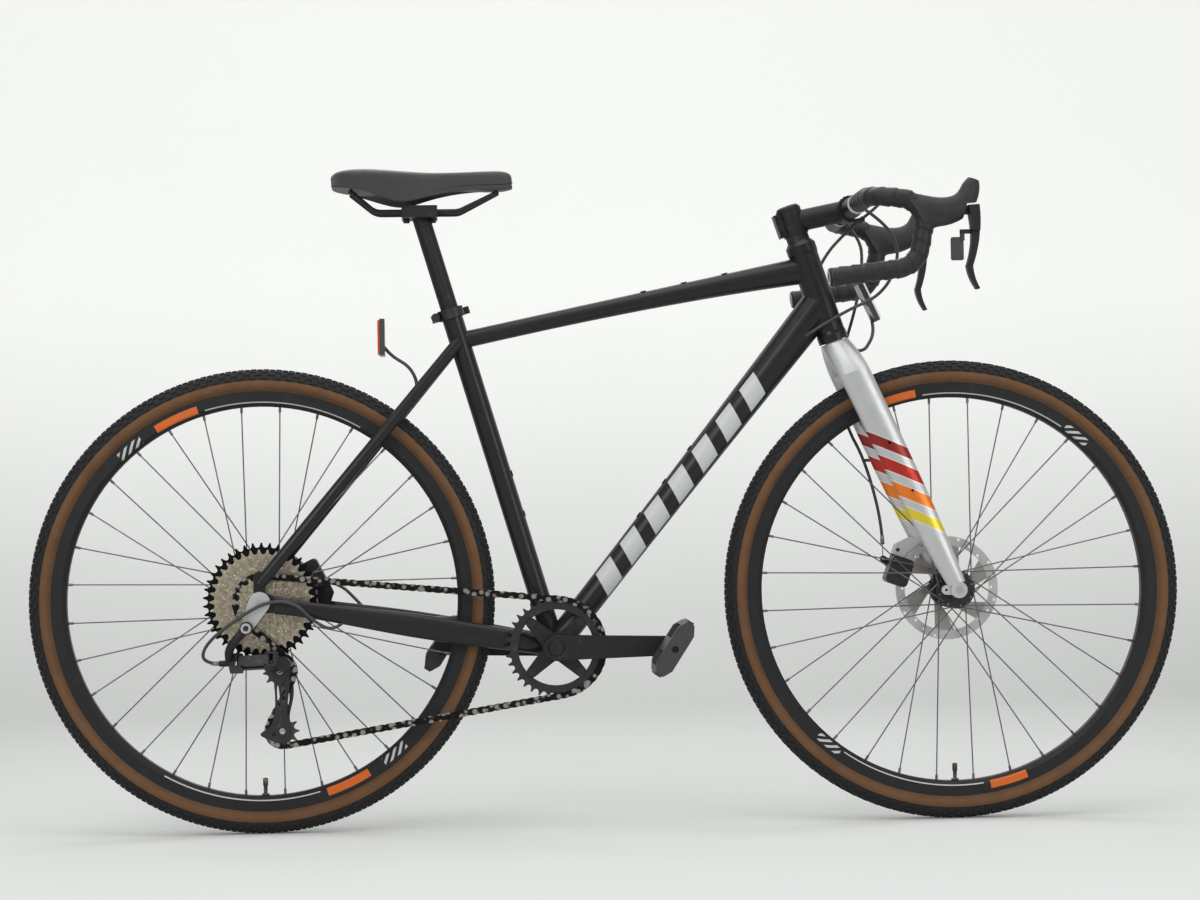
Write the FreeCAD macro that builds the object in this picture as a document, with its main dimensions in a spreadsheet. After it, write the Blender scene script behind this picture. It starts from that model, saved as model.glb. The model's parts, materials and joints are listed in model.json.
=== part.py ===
"""Gravel bike with a drop bar, a one-by drivetrain and cable disc brakes, as separate pieces.

Sizes are in millimetres and degrees. +X points to the front wheel, +Y to the rider's left and +Z up.
The origin is on the ground under the middle of the wheelbase.
"""
import FreeCAD, Part
import math
import os

import Sketcher
from FreeCAD import Placement, Rotation, Vector

SIZES = {
    # Frame layout
    "wheelbase": 1052,
    "chainstay_length": 447,
    "bottom_bracket_drop": 76,
    "head_angle": 71.5,
    "seat_angle": 73.5,
    "fork_length": 417,
    "fork_offset": 45,
    # Clearances
    "running_fit": 0.06,
    "moving_gap": 0.4,
    "thread_radius": 2.1,
    # Frame tubes
    "tube_wall": 1.6,
    "head_tube_length": 155,
    "head_tube_radius": 22,
    "head_collar_radius": 23.2,
    "head_collar_length": 11,
    "head_shoulder": 2.4,
    "head_gap": 1.5,
    "top_tube_seat_height": 499,
    "top_tube_head_height": 138,
    "top_tube_half_height": 21,
    "down_tube_head_height": 62,
    "down_tube_half_height": 28,
    "seat_tube_length": 537,
    "seat_tube_radius": 15.9,
    "bracket_shell_radius": 21,
    "bracket_shell_width": 68,
    "bracket_bore_radius": 17.2,
    # Rear triangle
    "chainstay_half_height": 18,
    "seatstay_half_height": 9,
    "seatstay_half_width": 7,
    "seatstay_top_height": 486,
    "stay_end_ahead": 22,
    "seatstay_end_rise": 22,
    "rear_spacing": 142,
    "dropout_thickness": 7,
    "dropout_radius": 16,
    "dropout_lug_radius": 12,
    "seatstay_lug_radius": 8.5,
    "bridge_radius": 7,
    "bridge_tyre_gap": 9,
    "hanger_thickness": 6,
    "hanger_drop": 37,
    "hanger_setback": 19,
    "hanger_radius": 8.5,
    # Threaded bosses
    "boss_spacing": 64,
    "boss_flange_radius": 4.8,
    "boss_flange_height": 1.2,
    "boss_barrel_radius": 3.5,
    "boss_barrel_length": 9,
    "seat_boss_height": 206,
    "down_boss_height": 236,
    "top_boss_setback": 126,
    # Axles and bearings
    "axle_radius": 6,
    "axle_head_radius": 8.5,
    "axle_head_length": 4,
    "bearing_radius": 11,
    "bearing_width": 6,
    "head_bearing_radius": 20.4,
    "head_bearing_height": 7,
    "cup_flange_radius": 21.4,
    "cup_flange_width": 9,
    "cup_depth": 12,
    "spindle_radius": 12,
    # Tyres and rims
    "bead_seat_radius": 311,
    "tyre_section": 40,
    "tyre_wall": 2.4,
    "tread_depth": 4.5,
    "bead_width": 4,
    "rim_width": 25,
    "rim_depth": 23,
    "rim_flange_rise": 6,
    "rim_flange_thickness": 2,
    "rim_wall": 1.8,
    "rim_bed_width": 13,
    "rim_shoulder": 7,
    "tube_radius": 13,
    "valve_radius": 3,
    "valve_length": 38,
    "valve_cap_radius": 4,
    "valve_cap_length": 12,
    # Spokes and hubs
    "spoke_count": 32,
    "spoke_crossings": 3,
    "spoke_flare": 2.4,
    "spoke_radius": 1,
    "spoke_stagger": 2.5,
    "spoke_inset": 5,
    "nipple_radius": 2,
    "nipple_length": 13,
    "nipple_hole_radius": 2.7,
    "spoke_circle_radius": 26,
    "spoke_hole_radius": 1.3,
    "spoke_head_radius": 1.9,
    "spoke_head_length": 1,
    "flange_radius": 29.5,
    "flange_thickness": 3,
    "hub_radius": 14,
    "front_spacing": 100,
    "front_left_flange": 23,
    "front_right_flange": -33,
    "rear_left_flange": 34,
    "rear_right_flange": -16.5,
    "hub_stub": 3,
    # Disc brakes
    "rotor_radius": 80,
    "rotor_thickness": 1.8,
    "rotor_track": 14,
    "rotor_seat_radius": 26,
    "rotor_pilot_radius": 17.4,
    "rotor_hub_radius": 29,
    "rotor_bolt_circle": 22,
    "rotor_bolt_radius": 2.4,
    "rotor_bolt_head_radius": 4,
    "rotor_bolt_head_length": 2,
    "rotor_vent_radius": 2.2,
    "front_rotor_offset": 39.5,
    "rear_rotor_offset": 55.5,
    "caliper_angle_front": 160,
    "caliper_angle_rear": 27,
    "caliper_half_length": 22,
    "caliper_inner_radius": 62,
    "caliper_outer_radius": 97,
    "caliper_corner": 7,
    "caliper_inboard": 13,
    "caliper_outboard": 21,
    "caliper_slot": 9,
    "caliper_slot_radius": 86,
    "caliper_ear_length": 17,
    "caliper_ear_start": 12.5,
    "caliper_ear_thickness": 6,
    "tab_thickness": 8,
    "tab_length": 34,
    "caliper_bolt_radius": 3,
    "caliper_bolt_head_radius": 5,
    "caliper_bolt_head_length": 5,
    "caliper_bolt_spread": 11,
    "piston_cover_radius": 13,
    "piston_cover_length": 4,
    "pad_thickness": 2.6,
    "pad_half_length": 14,
    "pad_depth": 15,
    "pad_gap": 0.6,
    "arm_stub_radius": 5,
    "arm_stub_length": 8,
    "arm_thickness": 5,
    "arm_length": 32,
    "arm_root_radius": 9,
    "arm_tip_radius": 5,
    "arm_angle_front": 20,
    "arm_angle_rear": 168,
    # Fork
    "steerer_radius": 14.3,
    "steerer_bore_radius": 12.2,
    "crown_radius": 21.8,
    "crown_shoulder_drop": 18,
    "crown_shoulder_spread": 15,
    "crown_shoulder_width": 19,
    "crown_drop": 52,
    "leg_half_depth": 24,
    "leg_half_width": 10.5,
    "leg_top_spread": 42.5,
    "leg_top_ahead": 7,
    "leg_bottom_rise": 9.5,
    "leg_wall": 3,
    "fork_tyre_gap": 10,
    "fork_tyre_half_gap": 29,
    "fork_dropout_radius": 12.5,
    "fork_dropout_thickness": 13,
    "eyelet_setback": 19,
    "eyelet_radius": 7,
    "eyelet_thickness": 6,
    "fork_boss_rise": 237,
    "fork_boss_spacing": 80,
    # Headset and stem
    "cover_height": 7,
    "cover_top_radius": 18,
    "spacer_radius": 17.5,
    "spacer_height": 10,
    "stem_clamp_radius": 19.5,
    "stem_clamp_height": 42,
    "stem_length": 90,
    "stem_rise": 11.5,
    "stem_tube_radius": 16.5,
    "stem_ear_depth": 13,
    "stem_ear_width": 24,
    "stem_ear_height": 36,
    "bar_clamp_radius": 21,
    "bar_clamp_width": 44,
    "faceplate_gap": 1.2,
    "stem_bolt_radius": 2.5,
    "stem_bolt_head_radius": 4.2,
    "stem_bolt_head_length": 5,
    "stem_bolt_length": 20,
    "stem_bolt_spread": 14.5,
    "ear_bolt_spread": 11,
    "top_cap_height": 5,
    # Handlebar
    "bar_center_radius": 15.9,
    "bar_center_width": 70,
    "bar_taper": 24,
    "bar_radius": 11.9,
    "bar_bore_radius": 9.9,
    "bar_width": 424,
    "bar_corner_bend": 46,
    "bar_reach": 84,
    "bar_ramp_drop": 12,
    "bar_drop": 121,
    "bar_hook_back": 18,
    "bar_hook_drop": 106,
    "bar_hook_bend": 37,
    "bar_end_back": 60,
    "tape_radius": 14.4,
    "tape_start": 82,
    "plug_length": 4,
    # Hoods and levers
    "hood_length": 112,
    "hood_start_ahead": 66,
    "hood_start_drop": 30,
    "lever_pivot_ahead": 134,
    "lever_pivot_drop": 25,
    "lever_pivot_radius": 3,
    "lever_ear_radius": 6,
    "lever_ear_thickness": 10,
    "lever_head_width": 24,
    "lever_length": 116,
    "lever_thickness": 6,
    "lever_blade_width": 13,
    "paddle_pin_radius": 1.8,
    "paddle_sleeve_radius": 3.6,
    "paddle_sleeve_length": 10,
    "paddle_drop": 34,
    "paddle_setback": 1,
    "paddle_height": 34,
    "paddle_width": 17,
    "paddle_thickness": 3,
    # Saddle and post
    "post_radius": 13.6,
    "post_bore_radius": 11.4,
    "post_insertion": 120,
    "post_head_height": 690,
    "collar_radius": 20,
    "collar_height": 15,
    "skewer_radius": 3,
    "skewer_setback": 24.5,
    "clamp_ear_radius": 6.5,
    "clamp_ear_width": 7,
    "clamp_slot": 3,
    "nut_radius": 6.5,
    "nut_length": 7,
    "lever_arm_length": 50,
    "lever_arm_thickness": 5,
    "lever_arm_width": 11,
    "cam_radius": 6.5,
    "cam_pin_radius": 2.5,
    "rail_radius": 3.5,
    "rail_half_spacing": 22,
    "rail_clamp_length": 54,
    "rail_bolt_spread": 20,
    "rail_clamp_width": 60,
    "rail_clamp_height": 9,
    "rail_bolt_radius": 3,
    "rail_bolt_head_radius": 5,
    "rail_bolt_head_length": 6,
    "saddle_length": 274,
    "saddle_width": 146,
    "saddle_rear": -414,
    "saddle_top": 1001,
    "saddle_height": 26,
    "shell_thickness": 5,
    "rail_bend": 26,
    # Drivetrain
    "chain_pitch": 12.7,
    "chain_line": 48,
    "roller_radius": 3.87,
    "plate_radius": 4.2,
    "plate_thickness": 0.8,
    "link_inner_width": 2.2,
    "link_pin_radius": 1.8,
    "ring_teeth": 36,
    "ring_thickness": 2,
    "cog_thickness": 1.6,
    "cog_spacing": 3.9,
    "chain_cog": 4,
    "pulley_teeth": 11,
    "tooth_gap_fit": 0.12,
    "tooth_tip_width": 1.8,
    "freehub_radius": 17,
    "lockring_thickness": 2.4,
    "ring_bolt_circle": 52,
    "ring_tab_radius": 8,
    "ring_inner_radius": 57,
    "ring_bolt_radius": 4,
    "ring_bolt_head_radius": 6,
    "ring_bolt_head_length": 1.6,
    "crank_length": 170,
    "crank_root_radius": 19,
    "crank_eye_radius": 14.5,
    "crank_thickness": 14,
    "crank_inset": 53,
    "spider_thickness": 4.5,
    "spider_arm_width": 15,
    "crank_cap_radius": 13,
    "crank_cap_length": 2.5,
    "pedal_axle_radius": 5,
    "pedal_thread_radius": 7,
    "pedal_gap": 6,
    "pedal_width": 94,
    "pedal_length": 88,
    "pedal_height": 27,
    "pedal_tilt": 57,
    "pedal_barrel_radius": 11,
    "pedal_wall": 9,
    # Derailleur
    "knuckle_sleeve_radius": 9.5,
    "knuckle_sleeve_length": 13,
    "hanger_bolt_radius": 5,
    "hanger_bolt_head_length": 3,
    "slant_angle": 25,
    "link_length": 42,
    "link_pin": 2.2,
    "link_half_width": 4,
    "link_height": 15,
    "link_spread": 7.5,
    "cheek_thickness": 3.4,
    "cheek_reach": 15,
    "cheek_margin": 5,
    "back_thickness": 7,
    "link_base_setback": 31,
    "link_base_drop": 90,
    "link_base_inset": 67,
    "knuckle_arm_radius": 6.5,
    "knuckle_elbow_back": 27,
    "knuckle_elbow_drop": 30,
    "cage_pivot_ahead": 33,
    "cage_pivot_drop": 92,
    "cage_pin_radius": 6,
    "p_knuckle_radius": 11,
    "cage_thickness": 2,
    "cage_clearance": 0.6,
    "guide_setback": 7,
    "guide_drop": 12,
    "cage_length": 89,
    "cage_lean": 2,
    "cage_end_radius": 10,
    "pulley_thickness": 2,
    "pulley_hub_radius": 8,
    "pulley_bolt_radius": 2.5,
    "barrel_radius": 4.5,
    "barrel_length": 15,
    # Reflectors
    "reflector_thickness": 8,
    "reflector_lens": 3,
    "rear_reflector_height": 56,
    "rear_reflector_width": 44,
    "front_reflector_height": 66,
    "front_reflector_width": 40,
    "reflector_arm_radius": 2.6,
    "front_reflector_lean": 25,
    # Cables
    "loop_span": 100,
    "housing_radius": 2.5,
    "wire_radius": 0.8,
    "stop_length": 14,
    "clip_length": 40,
}

COG_TEETH = (11, 13, 15, 17, 19, 21, 24, 28, 32, 37, 42)
LEFT = Vector(0, 1, 0)
RIGHT = Vector(0, -1, 0)
AHEAD = Vector(1, 0, 0)
UP = Vector(0, 0, 1)
QUARTER = math.tan(math.pi / 8)
HALF = 1.0


def written(value):
    """The value as text for a cell expression."""
    return value.text if isinstance(value, Size) else repr(float(value))


# Shares of other sizes, chosen by eye

BEND_SHARE = 0.45
SOCKET_SHARE = 0.55
SOCKET_FLOOR_SHARE = 0.4
COLLAR_FADE_SHARE = 1.5
STAY_LUG_SHARE = 0.05
WALL_BULGE_SHARE = 0.32
HUB_FLARE_SHARE = 1.25
CROWN_LEAD_SHARE = 0.35
EYELET_ROOT_SHARE = 1.2
CAP_EDGE_SHARE = 0.6
CAP_TOP_SHARE = 0.8
CLAMP_BOLT_SHARE = 0.62
PLUG_END_SHARE = 0.86
LEVER_ROOM_SHARE = 0.15
LEVER_ROOM_END_SHARE = 1.8
LEVER_ROOT_SHARE = 0.12
PADDLE_ROOT_SHARE = 0.1
NECK_PLACE_SHARE = 0.8
NECK_LENGTH_SHARE = 0.4
SLOT_LENGTH_SHARE = 1.6
LEVER_BEND_SHARE = 0.22
LEVER_SWEEP_SHARE = 1.6
LEVER_TIP_SWEEP_SHARE = 1.1
LEVER_TIP_SHARE = 0.8
TOOTH_TIP_SHARE = 0.6
FREEHUB_LIP_SHARE = 1.5
WAIST_SHARE = 0.16
CRANK_CAP_SHARE = 0.85
PEDAL_COLLAR_SHARE = 1.25
PEDAL_AXLE_SHARE = 0.95
PEDAL_LENS_SHARES = (0.6, 0.4)
CHEEK_ROUND_SHARE = 0.8
BOLT_HEAD_SHARE = 0.8

# Angles in degrees, and the search for how far the cage swings

SEAT_ANGLE = 62
TAB_ANGLE = 45
SWING_SEARCH = 25.0
SWING_HALVINGS = 50
NEARLY_NOUGHT = 1e-6


class Size(float):
    """A number from the sheet that remembers the cell expression it came from."""

    def __new__(cls, value, text):
        made = float.__new__(cls, value)
        made.text = text
        return made

    def __add__(self, other):
        return Size(float(self) + float(other), f"({self.text} + {written(other)})")

    def __radd__(self, other):
        return Size(float(other) + float(self), f"({written(other)} + {self.text})")

    def __sub__(self, other):
        return Size(float(self) - float(other), f"({self.text} - {written(other)})")

    def __rsub__(self, other):
        return Size(float(other) - float(self), f"({written(other)} - {self.text})")

    def __mul__(self, other):
        return Size(float(self) * float(other), f"({self.text} * {written(other)})")

    def __rmul__(self, other):
        return Size(float(other) * float(self), f"({written(other)} * {self.text})")

    def __truediv__(self, other):
        return Size(float(self) / float(other), f"({self.text} / {written(other)})")

    def __neg__(self):
        return Size(-float(self), f"(-{self.text})")


class SizeTable:
    """The driving sizes, each read back from its own cell of the sheet."""

    def __init__(self, document, values):
        self.sheet = document.addObject("Spreadsheet::Sheet", "Sizes")
        for row, (alias, value) in enumerate(values.items(), start=1):
            self.sheet.set(f"A{row}", alias)
            self.sheet.set(f"B{row}", str(value))
            self.sheet.setAlias(f"B{row}", alias)
        document.recompute()
        for alias in values:
            setattr(self, alias, Size(float(self.sheet.get(alias)), f"Sizes.{alias}"))


doc = FreeCAD.newDocument("gravel_bike")
size = SizeTable(doc, SIZES)
NODES = {}


# Building blocks


def bind(thing, prop, value):
    """Ties a property to the sheet, or sets it where the value has no cell."""
    if isinstance(value, Size):
        thing.setExpression(prop, value.text)
    else:
        setattr(thing, prop, float(value))


def node(label, thing):
    """Names a finished piece and keeps it for writing."""
    thing.Label = label
    NODES[label] = thing
    return thing


def plate_place(origin, ahead, normal):
    """Placement with local X along ahead and local Z along normal."""
    return Placement(origin, Rotation(ahead, normal.cross(ahead), normal, "ZXY"))


def axis_place(origin, axis):
    """Placement that turns local Z onto an axis."""
    return Placement(origin, Rotation(UP, axis))


def flat_place(x, y, z):
    """Placement of a plate drawn as seen from the right: local X ahead, local Y up, growing to the right."""
    return plate_place(Vector(x, y, z), AHEAD, RIGHT)


def arc_middle(start, finish, bulge):
    """Point halfway along an arc; bulge is the tangent of a quarter of its turn, left-handed positive."""
    across = Vector(start.y - finish.y, finish.x - start.x, 0)
    return (start + finish) * 0.5 - across * (bulge * 0.5)


def corner_points(outline):
    """Corners of an outline as vectors, and the bulge of the edge that leaves each one."""
    points = [Vector(float(corner[0]), float(corner[1]), 0) for corner in outline]
    bulges = [float(corner[2]) if len(corner) > 2 else 0.0 for corner in outline]
    return points, bulges


def outline_wire(outline):
    """Closed wire of lines and arcs through the corners of an outline."""
    points, bulges = corner_points(outline)
    edges = []
    for start, finish, bulge in zip(points, points[1:] + points[:1], bulges):
        if bulge:
            edges.append(Part.Arc(start, arc_middle(start, finish, bulge), finish).toShape())
        else:
            edges.append(Part.LineSegment(start, finish).toShape())
    return Part.Wire(edges)


def hold(sketch, kind, edge, end, value):
    """Holds one coordinate of a sketch point at a size."""
    if abs(float(value)) < 1e-9:
        axis = -2 if kind == "DistanceX" else -1
        sketch.addConstraint(Sketcher.Constraint("PointOnObject", edge, end, axis))
        return
    index = sketch.addConstraint(Sketcher.Constraint(kind, -1, 1, edge, end, float(value)))
    if isinstance(value, Size):
        sketch.setExpression(f"Constraints[{index}]", value.text)


def draw(sketch, outline):
    """Adds a closed outline of lines and arcs to a sketch, each corner held at its sizes."""
    points, bulges = corner_points(outline)
    edges = []
    for start, finish, bulge in zip(points, points[1:] + points[:1], bulges):
        if not bulge:
            edges.append((sketch.addGeometry(Part.LineSegment(start, finish), False), 1, 2))
            continue
        across = Vector(start.y - finish.y, finish.x - start.x, 0)
        middle = (start + finish) * 0.5 + across * ((1 - bulge * bulge) / (4 * bulge))
        first, last = (start, finish) if bulge > 0 else (finish, start)
        begin = math.atan2(first.y - middle.y, first.x - middle.x)
        end = math.atan2(last.y - middle.y, last.x - middle.x)
        circle = Part.Circle(middle, UP, start.distanceToPoint(middle))
        edge = sketch.addGeometry(Part.ArcOfCircle(circle, begin, end), False)
        edges.append((edge, 1, 2) if bulge > 0 else (edge, 2, 1))
    for (edge, _, finish), (following, start, _) in zip(edges, edges[1:] + edges[:1]):
        sketch.addConstraint(Sketcher.Constraint("Coincident", edge, finish, following, start))
    for corner, (edge, start, _) in zip(outline, edges):
        hold(sketch, "DistanceX", edge, start, corner[0])
        hold(sketch, "DistanceY", edge, start, corner[1])


def draw_circle(sketch, x, y, radius):
    """Adds a circle to a sketch, held at its centre and radius."""
    edge = sketch.addGeometry(Part.Circle(Vector(x, y, 0), UP, float(radius)), False)
    index = sketch.addConstraint(Sketcher.Constraint("Radius", edge, float(radius)))
    if isinstance(radius, Size):
        sketch.setExpression(f"Constraints[{index}]", radius.text)
    hold(sketch, "DistanceX", edge, 3, x)
    hold(sketch, "DistanceY", edge, 3, y)


def new_sketch(body):
    """A sketch on the body's own XY plane."""
    sketch = body.newObject("Sketcher::SketchObject", body.Name + "_sketch")
    plane = next(item for item in body.Origin.OriginFeatures if item.Role == "XY_Plane")
    sketch.AttachmentSupport = (plane, [""])
    sketch.MapMode = "FlatFace"
    return sketch


def turned(name, outline, origin, axis, voids=()):
    """Body turned about an axis from an outline of (radius, height along the axis)."""
    body = doc.addObject("PartDesign::Body", name)
    sketch = new_sketch(body)
    for loop in (outline, *voids):
        draw(sketch, loop)
    spin = body.newObject("PartDesign::Revolution", name + "_turn")
    spin.Profile = sketch
    spin.ReferenceAxis = (sketch, ["V_Axis"])
    spin.Angle = 360
    body.Placement = Placement(origin, Rotation(LEFT, axis))
    body.recompute(True)
    return body


def padded(name, outline, thickness, place, holes=(), voids=()):
    """Body padded from an outline, or from a disc as (x, y, radius), with holes and voids left open."""
    body = doc.addObject("PartDesign::Body", name)
    sketch = new_sketch(body)
    if isinstance(outline[0], (tuple, list)):
        draw(sketch, outline)
    else:
        draw_circle(sketch, *outline)
    for hole in holes:
        draw_circle(sketch, *hole)
    for loop in voids:
        draw(sketch, loop)
    pad = body.newObject("PartDesign::Pad", name + "_pad")
    pad.Profile = sketch
    bind(pad, "Length", thickness)
    body.Placement = place
    body.recompute(True)
    return body


def rod(name, start, finish, radius):
    """Round bar between two points."""
    bar = doc.addObject("Part::Cylinder", name)
    bind(bar, "Radius", radius)
    bar.Height = (finish - start).Length
    bar.Placement = axis_place(start, finish - start)
    return bar


def block(name, place, length, width, height):
    """Box centred on its placement."""
    box = doc.addObject("Part::Box", name)
    bind(box, "Length", length)
    bind(box, "Width", width)
    bind(box, "Height", height)
    middle = Vector(-float(length) / 2, -float(width) / 2, -float(height) / 2)
    box.Placement = place.multiply(Placement(middle, Rotation()))
    return box


def cut(name, base, *tools):
    """The base with each tool taken away in turn."""
    for index, tool in enumerate(tools):
        step = doc.addObject("Part::Cut", f"{name}_{index}")
        step.Base = base
        step.Tool = tool
        base = step
    base.recompute(True)
    return base


def fuse(name, *pieces, refine=True):
    """One solid from pieces that meet."""
    joined = doc.addObject("Part::MultiFuse", name)
    joined.Shapes = list(pieces)
    joined.Refine = refine
    joined.recompute(True)
    return joined


def group(name, *pieces):
    """Separate solids kept together as one piece."""
    together = doc.addObject("Part::Compound", name)
    together.Links = list(pieces)
    together.recompute(True)
    return together


def mirrored(name, source):
    """The same piece on the other side of the bike."""
    other = doc.addObject("Part::Mirroring", name)
    other.Source = source
    other.Normal = LEFT
    other.recompute(True)
    return other


def ready(name, shape):
    """Piece whose shape is worked out here from the sheet's sizes."""
    thing = doc.addObject("Part::Feature", name)
    thing.Shape = shape
    return thing


def oval(name, centre, long_way, normal, half_long, half_short):
    """Elliptical section of a loft; its long axis lies along long_way."""
    section = doc.addObject("Part::Ellipse", name)
    bind(section, "MajorRadius", half_long)
    bind(section, "MinorRadius", half_short)
    section.Placement = plate_place(centre, long_way, normal)
    return section


def loft(name, sections):
    """Solid drawn smoothly through its sections."""
    skin = doc.addObject("Part::Loft", name)
    skin.Sections = sections
    skin.Solid = True
    skin.Ruled = False
    skin.recompute(True)
    return skin


def tube_route(points, bends):
    """Wire of straight runs joined by tangent arcs; a bend of None takes the widest gentle arc that fits."""
    edges = []
    here = points[0]
    radii = []
    for before, corner, after, bend in zip(points, points[1:], points[2:], bends):
        back = (before - corner).normalize()
        onward = (after - corner).normalize()
        half_turn = (math.pi - back.getAngle(onward)) / 2
        shorter = min((before - corner).Length, (after - corner).Length)
        radius = BEND_SHARE * shorter / math.tan(half_turn) if bend is None else float(bend)
        inset = radius * math.tan(half_turn)
        start = corner + back * inset
        finish = corner + onward * inset
        middle = corner + (back + onward).normalize() * (math.hypot(inset, radius) - radius)
        edges.append(Part.LineSegment(here, start).toShape())
        edges.append(Part.Arc(start, middle, finish).toShape())
        here = finish
        radii.append(radius)
    edges.append(Part.LineSegment(here, points[-1]).toShape())
    return Part.Wire(edges), radii


def bent(name, points, radius, bends=None):
    """Round bar along straight runs and tangent arcs."""
    wire, radii = tube_route(points, bends or [None] * (len(points) - 2))
    route = ready(name + "_route", wire)
    section = doc.addObject("Part::Circle", name + "_section")
    bind(section, "Radius", radius)
    section.Placement = axis_place(points[0], points[1] - points[0])
    pipe = doc.addObject("Part::Sweep", name)
    pipe.Sections = [section]
    pipe.Spine = (route, [f"Edge{index + 1}" for index in range(len(wire.Edges))])
    pipe.Solid = True
    pipe.recompute(True)
    if bends is None:
        print(name, "bend radii", [round(value, 1) for value in radii])
    return pipe


def hull_outline(x, y, radius, other_x, other_y, other_radius):
    """Outline of a bar with two rounded ends of their own radii."""
    span = math.hypot(other_x - x, other_y - y)
    heading = math.atan2(other_y - y, other_x - x)
    lean = math.acos((float(radius) - float(other_radius)) / span)
    near = math.tan((math.pi - lean) / 2)
    far = math.tan(lean / 2)

    def on(cx, cy, r, angle):
        return (cx + float(r) * math.cos(angle), cy + float(r) * math.sin(angle))

    return [
        (*on(other_x, other_y, other_radius, heading - lean), far),
        (*on(other_x, other_y, other_radius, heading + lean),),
        (*on(x, y, radius, heading + lean), near),
        (*on(x, y, radius, heading - lean),),
    ]


def box_outline(left, bottom, right, top, corner):
    """Rectangle with rounded corners."""
    return [
        (left + corner, bottom),
        (right - corner, bottom, QUARTER),
        (right, bottom + corner),
        (right, top - corner, QUARTER),
        (right - corner, top),
        (left + corner, top, QUARTER),
        (left, top - corner),
        (left, bottom + corner, QUARTER),
    ]


def ring(name, origin, axis, bore, radius, height):
    """Plain collar that starts at its origin and grows along its axis."""
    return turned(name, [(bore, 0), (radius, 0), (radius, height), (bore, height)], origin, axis)


def bolt(name, seat, outward, radius, length, head_radius, head_length):
    """Socket-head bolt with its head on the outer side of its seat."""
    blank = turned(
        name + "_blank",
        [
            (0, -length),
            (radius, -length),
            (radius, 0),
            (head_radius, 0),
            (head_radius, head_length),
            (0, head_length),
        ],
        seat,
        outward,
    )
    socket = doc.addObject("Part::Prism", name + "_socket")
    socket.Polygon = 6
    bind(socket, "Circumradius", head_radius * SOCKET_SHARE)
    bind(socket, "Height", head_length)
    socket.Placement = axis_place(seat + outward * (head_length * SOCKET_FLOOR_SHARE), outward)
    return cut(name, blank, socket)


def surface_point(thing, inside, outward):
    """Where a line from inside a piece first leaves its outer skin."""
    reach = 4 * float(size.down_tube_half_height)
    line = Part.LineSegment(inside, inside + outward * reach).toShape()
    inner = thing.Shape.common(line)
    return max((vertex.Point for vertex in inner.Vertexes), key=lambda point: (point - inside).dot(outward))


def threaded_boss(name, seat, outward):
    """Rivet nut with a flange on the skin and a barrel inside it."""
    return turned(
        name,
        [
            (size.thread_radius, -size.boss_barrel_length),
            (size.boss_barrel_radius, -size.boss_barrel_length),
            (size.boss_barrel_radius, 0),
            (size.boss_flange_radius, 0),
            (size.boss_flange_radius, size.boss_flange_height),
            (size.thread_radius, size.boss_flange_height),
        ],
        seat,
        outward,
    )


def with_bosses(name, tube, seats):
    """A tube drilled for threaded bosses, and the bosses; seats are (point, outward) pairs."""
    bosses = []
    drills = []
    for index, (seat, outward) in enumerate(seats):
        deep = seat - outward * (size.boss_barrel_length + size.boss_flange_height)
        drills.append(rod(f"{name}_drill_{index}", deep, seat + outward * size.boss_flange_height,
                          size.boss_barrel_radius))
        bosses.append(threaded_boss(f"{name}_boss_{index}", seat, outward))
    return cut(name + "_drilled", tube, *drills), bosses


# Main points of the bike

wheel_radius = size.bead_seat_radius + size.tyre_section
rear_axle_at = Vector(-size.wheelbase / 2, 0, wheel_radius)
front_axle_at = Vector(size.wheelbase / 2, 0, wheel_radius)
stay_run = math.sqrt(size.chainstay_length ** 2 - size.bottom_bracket_drop ** 2)
bracket_at = rear_axle_at + Vector(stay_run, 0, -size.bottom_bracket_drop)
head_turn = math.radians(size.head_angle)
seat_turn = math.radians(size.seat_angle)
steer_up = Vector(-math.cos(head_turn), 0, math.sin(head_turn))
steer_ahead = Vector(math.sin(head_turn), 0, math.cos(head_turn))
seat_up = Vector(-math.cos(seat_turn), 0, math.sin(seat_turn))
seat_ahead = Vector(math.sin(seat_turn), 0, math.cos(seat_turn))
crown_at = front_axle_at - steer_ahead * size.fork_offset + steer_up * size.fork_length
head_bottom = crown_at + steer_up * size.head_gap
stem_foot = head_bottom + steer_up * (
    size.head_tube_length + size.moving_gap + size.cover_height + size.spacer_height
)
stem_turn = math.radians(size.stem_rise)
stem_ahead = Vector(math.cos(stem_turn), 0, math.sin(stem_turn))
stem_up = Vector(-math.sin(stem_turn), 0, math.cos(stem_turn))
bar_at = stem_foot + steer_up * (size.stem_clamp_height / 2) + stem_ahead * size.stem_length
rear_half = size.rear_spacing / 2
front_half = size.front_spacing / 2


# Frame

TOP_TUBE_SHARES = ((0.0, 0.62, 0.60), (0.45, 0.64, 0.62), (0.75, 0.78, 0.74), (1.0, 1.0, 0.80))
DOWN_TUBE_SHARES = ((0.0, 0.72, 0.70), (0.5, 0.80, 0.78), (0.82, 0.92, 0.86), (1.0, 1.0, 0.78))
CHAINSTAY_SHARES = (
    # along the stay run, out from the middle, half height and half width
    (0.05, 1.04, 0.75, 0.36),
    (0.27, 0.93, 0.75, 0.36),
    (0.50, 0.66, 1.00, 0.50),
    (0.78, 0.47, 0.95, 0.52),
    (0.98, 0.33, 0.90, 0.54),
)
SEATSTAY_SHARES = ((0.0, 1.0), (0.35, 0.88), (0.72, 0.51), (1.0, 0.17))


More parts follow.
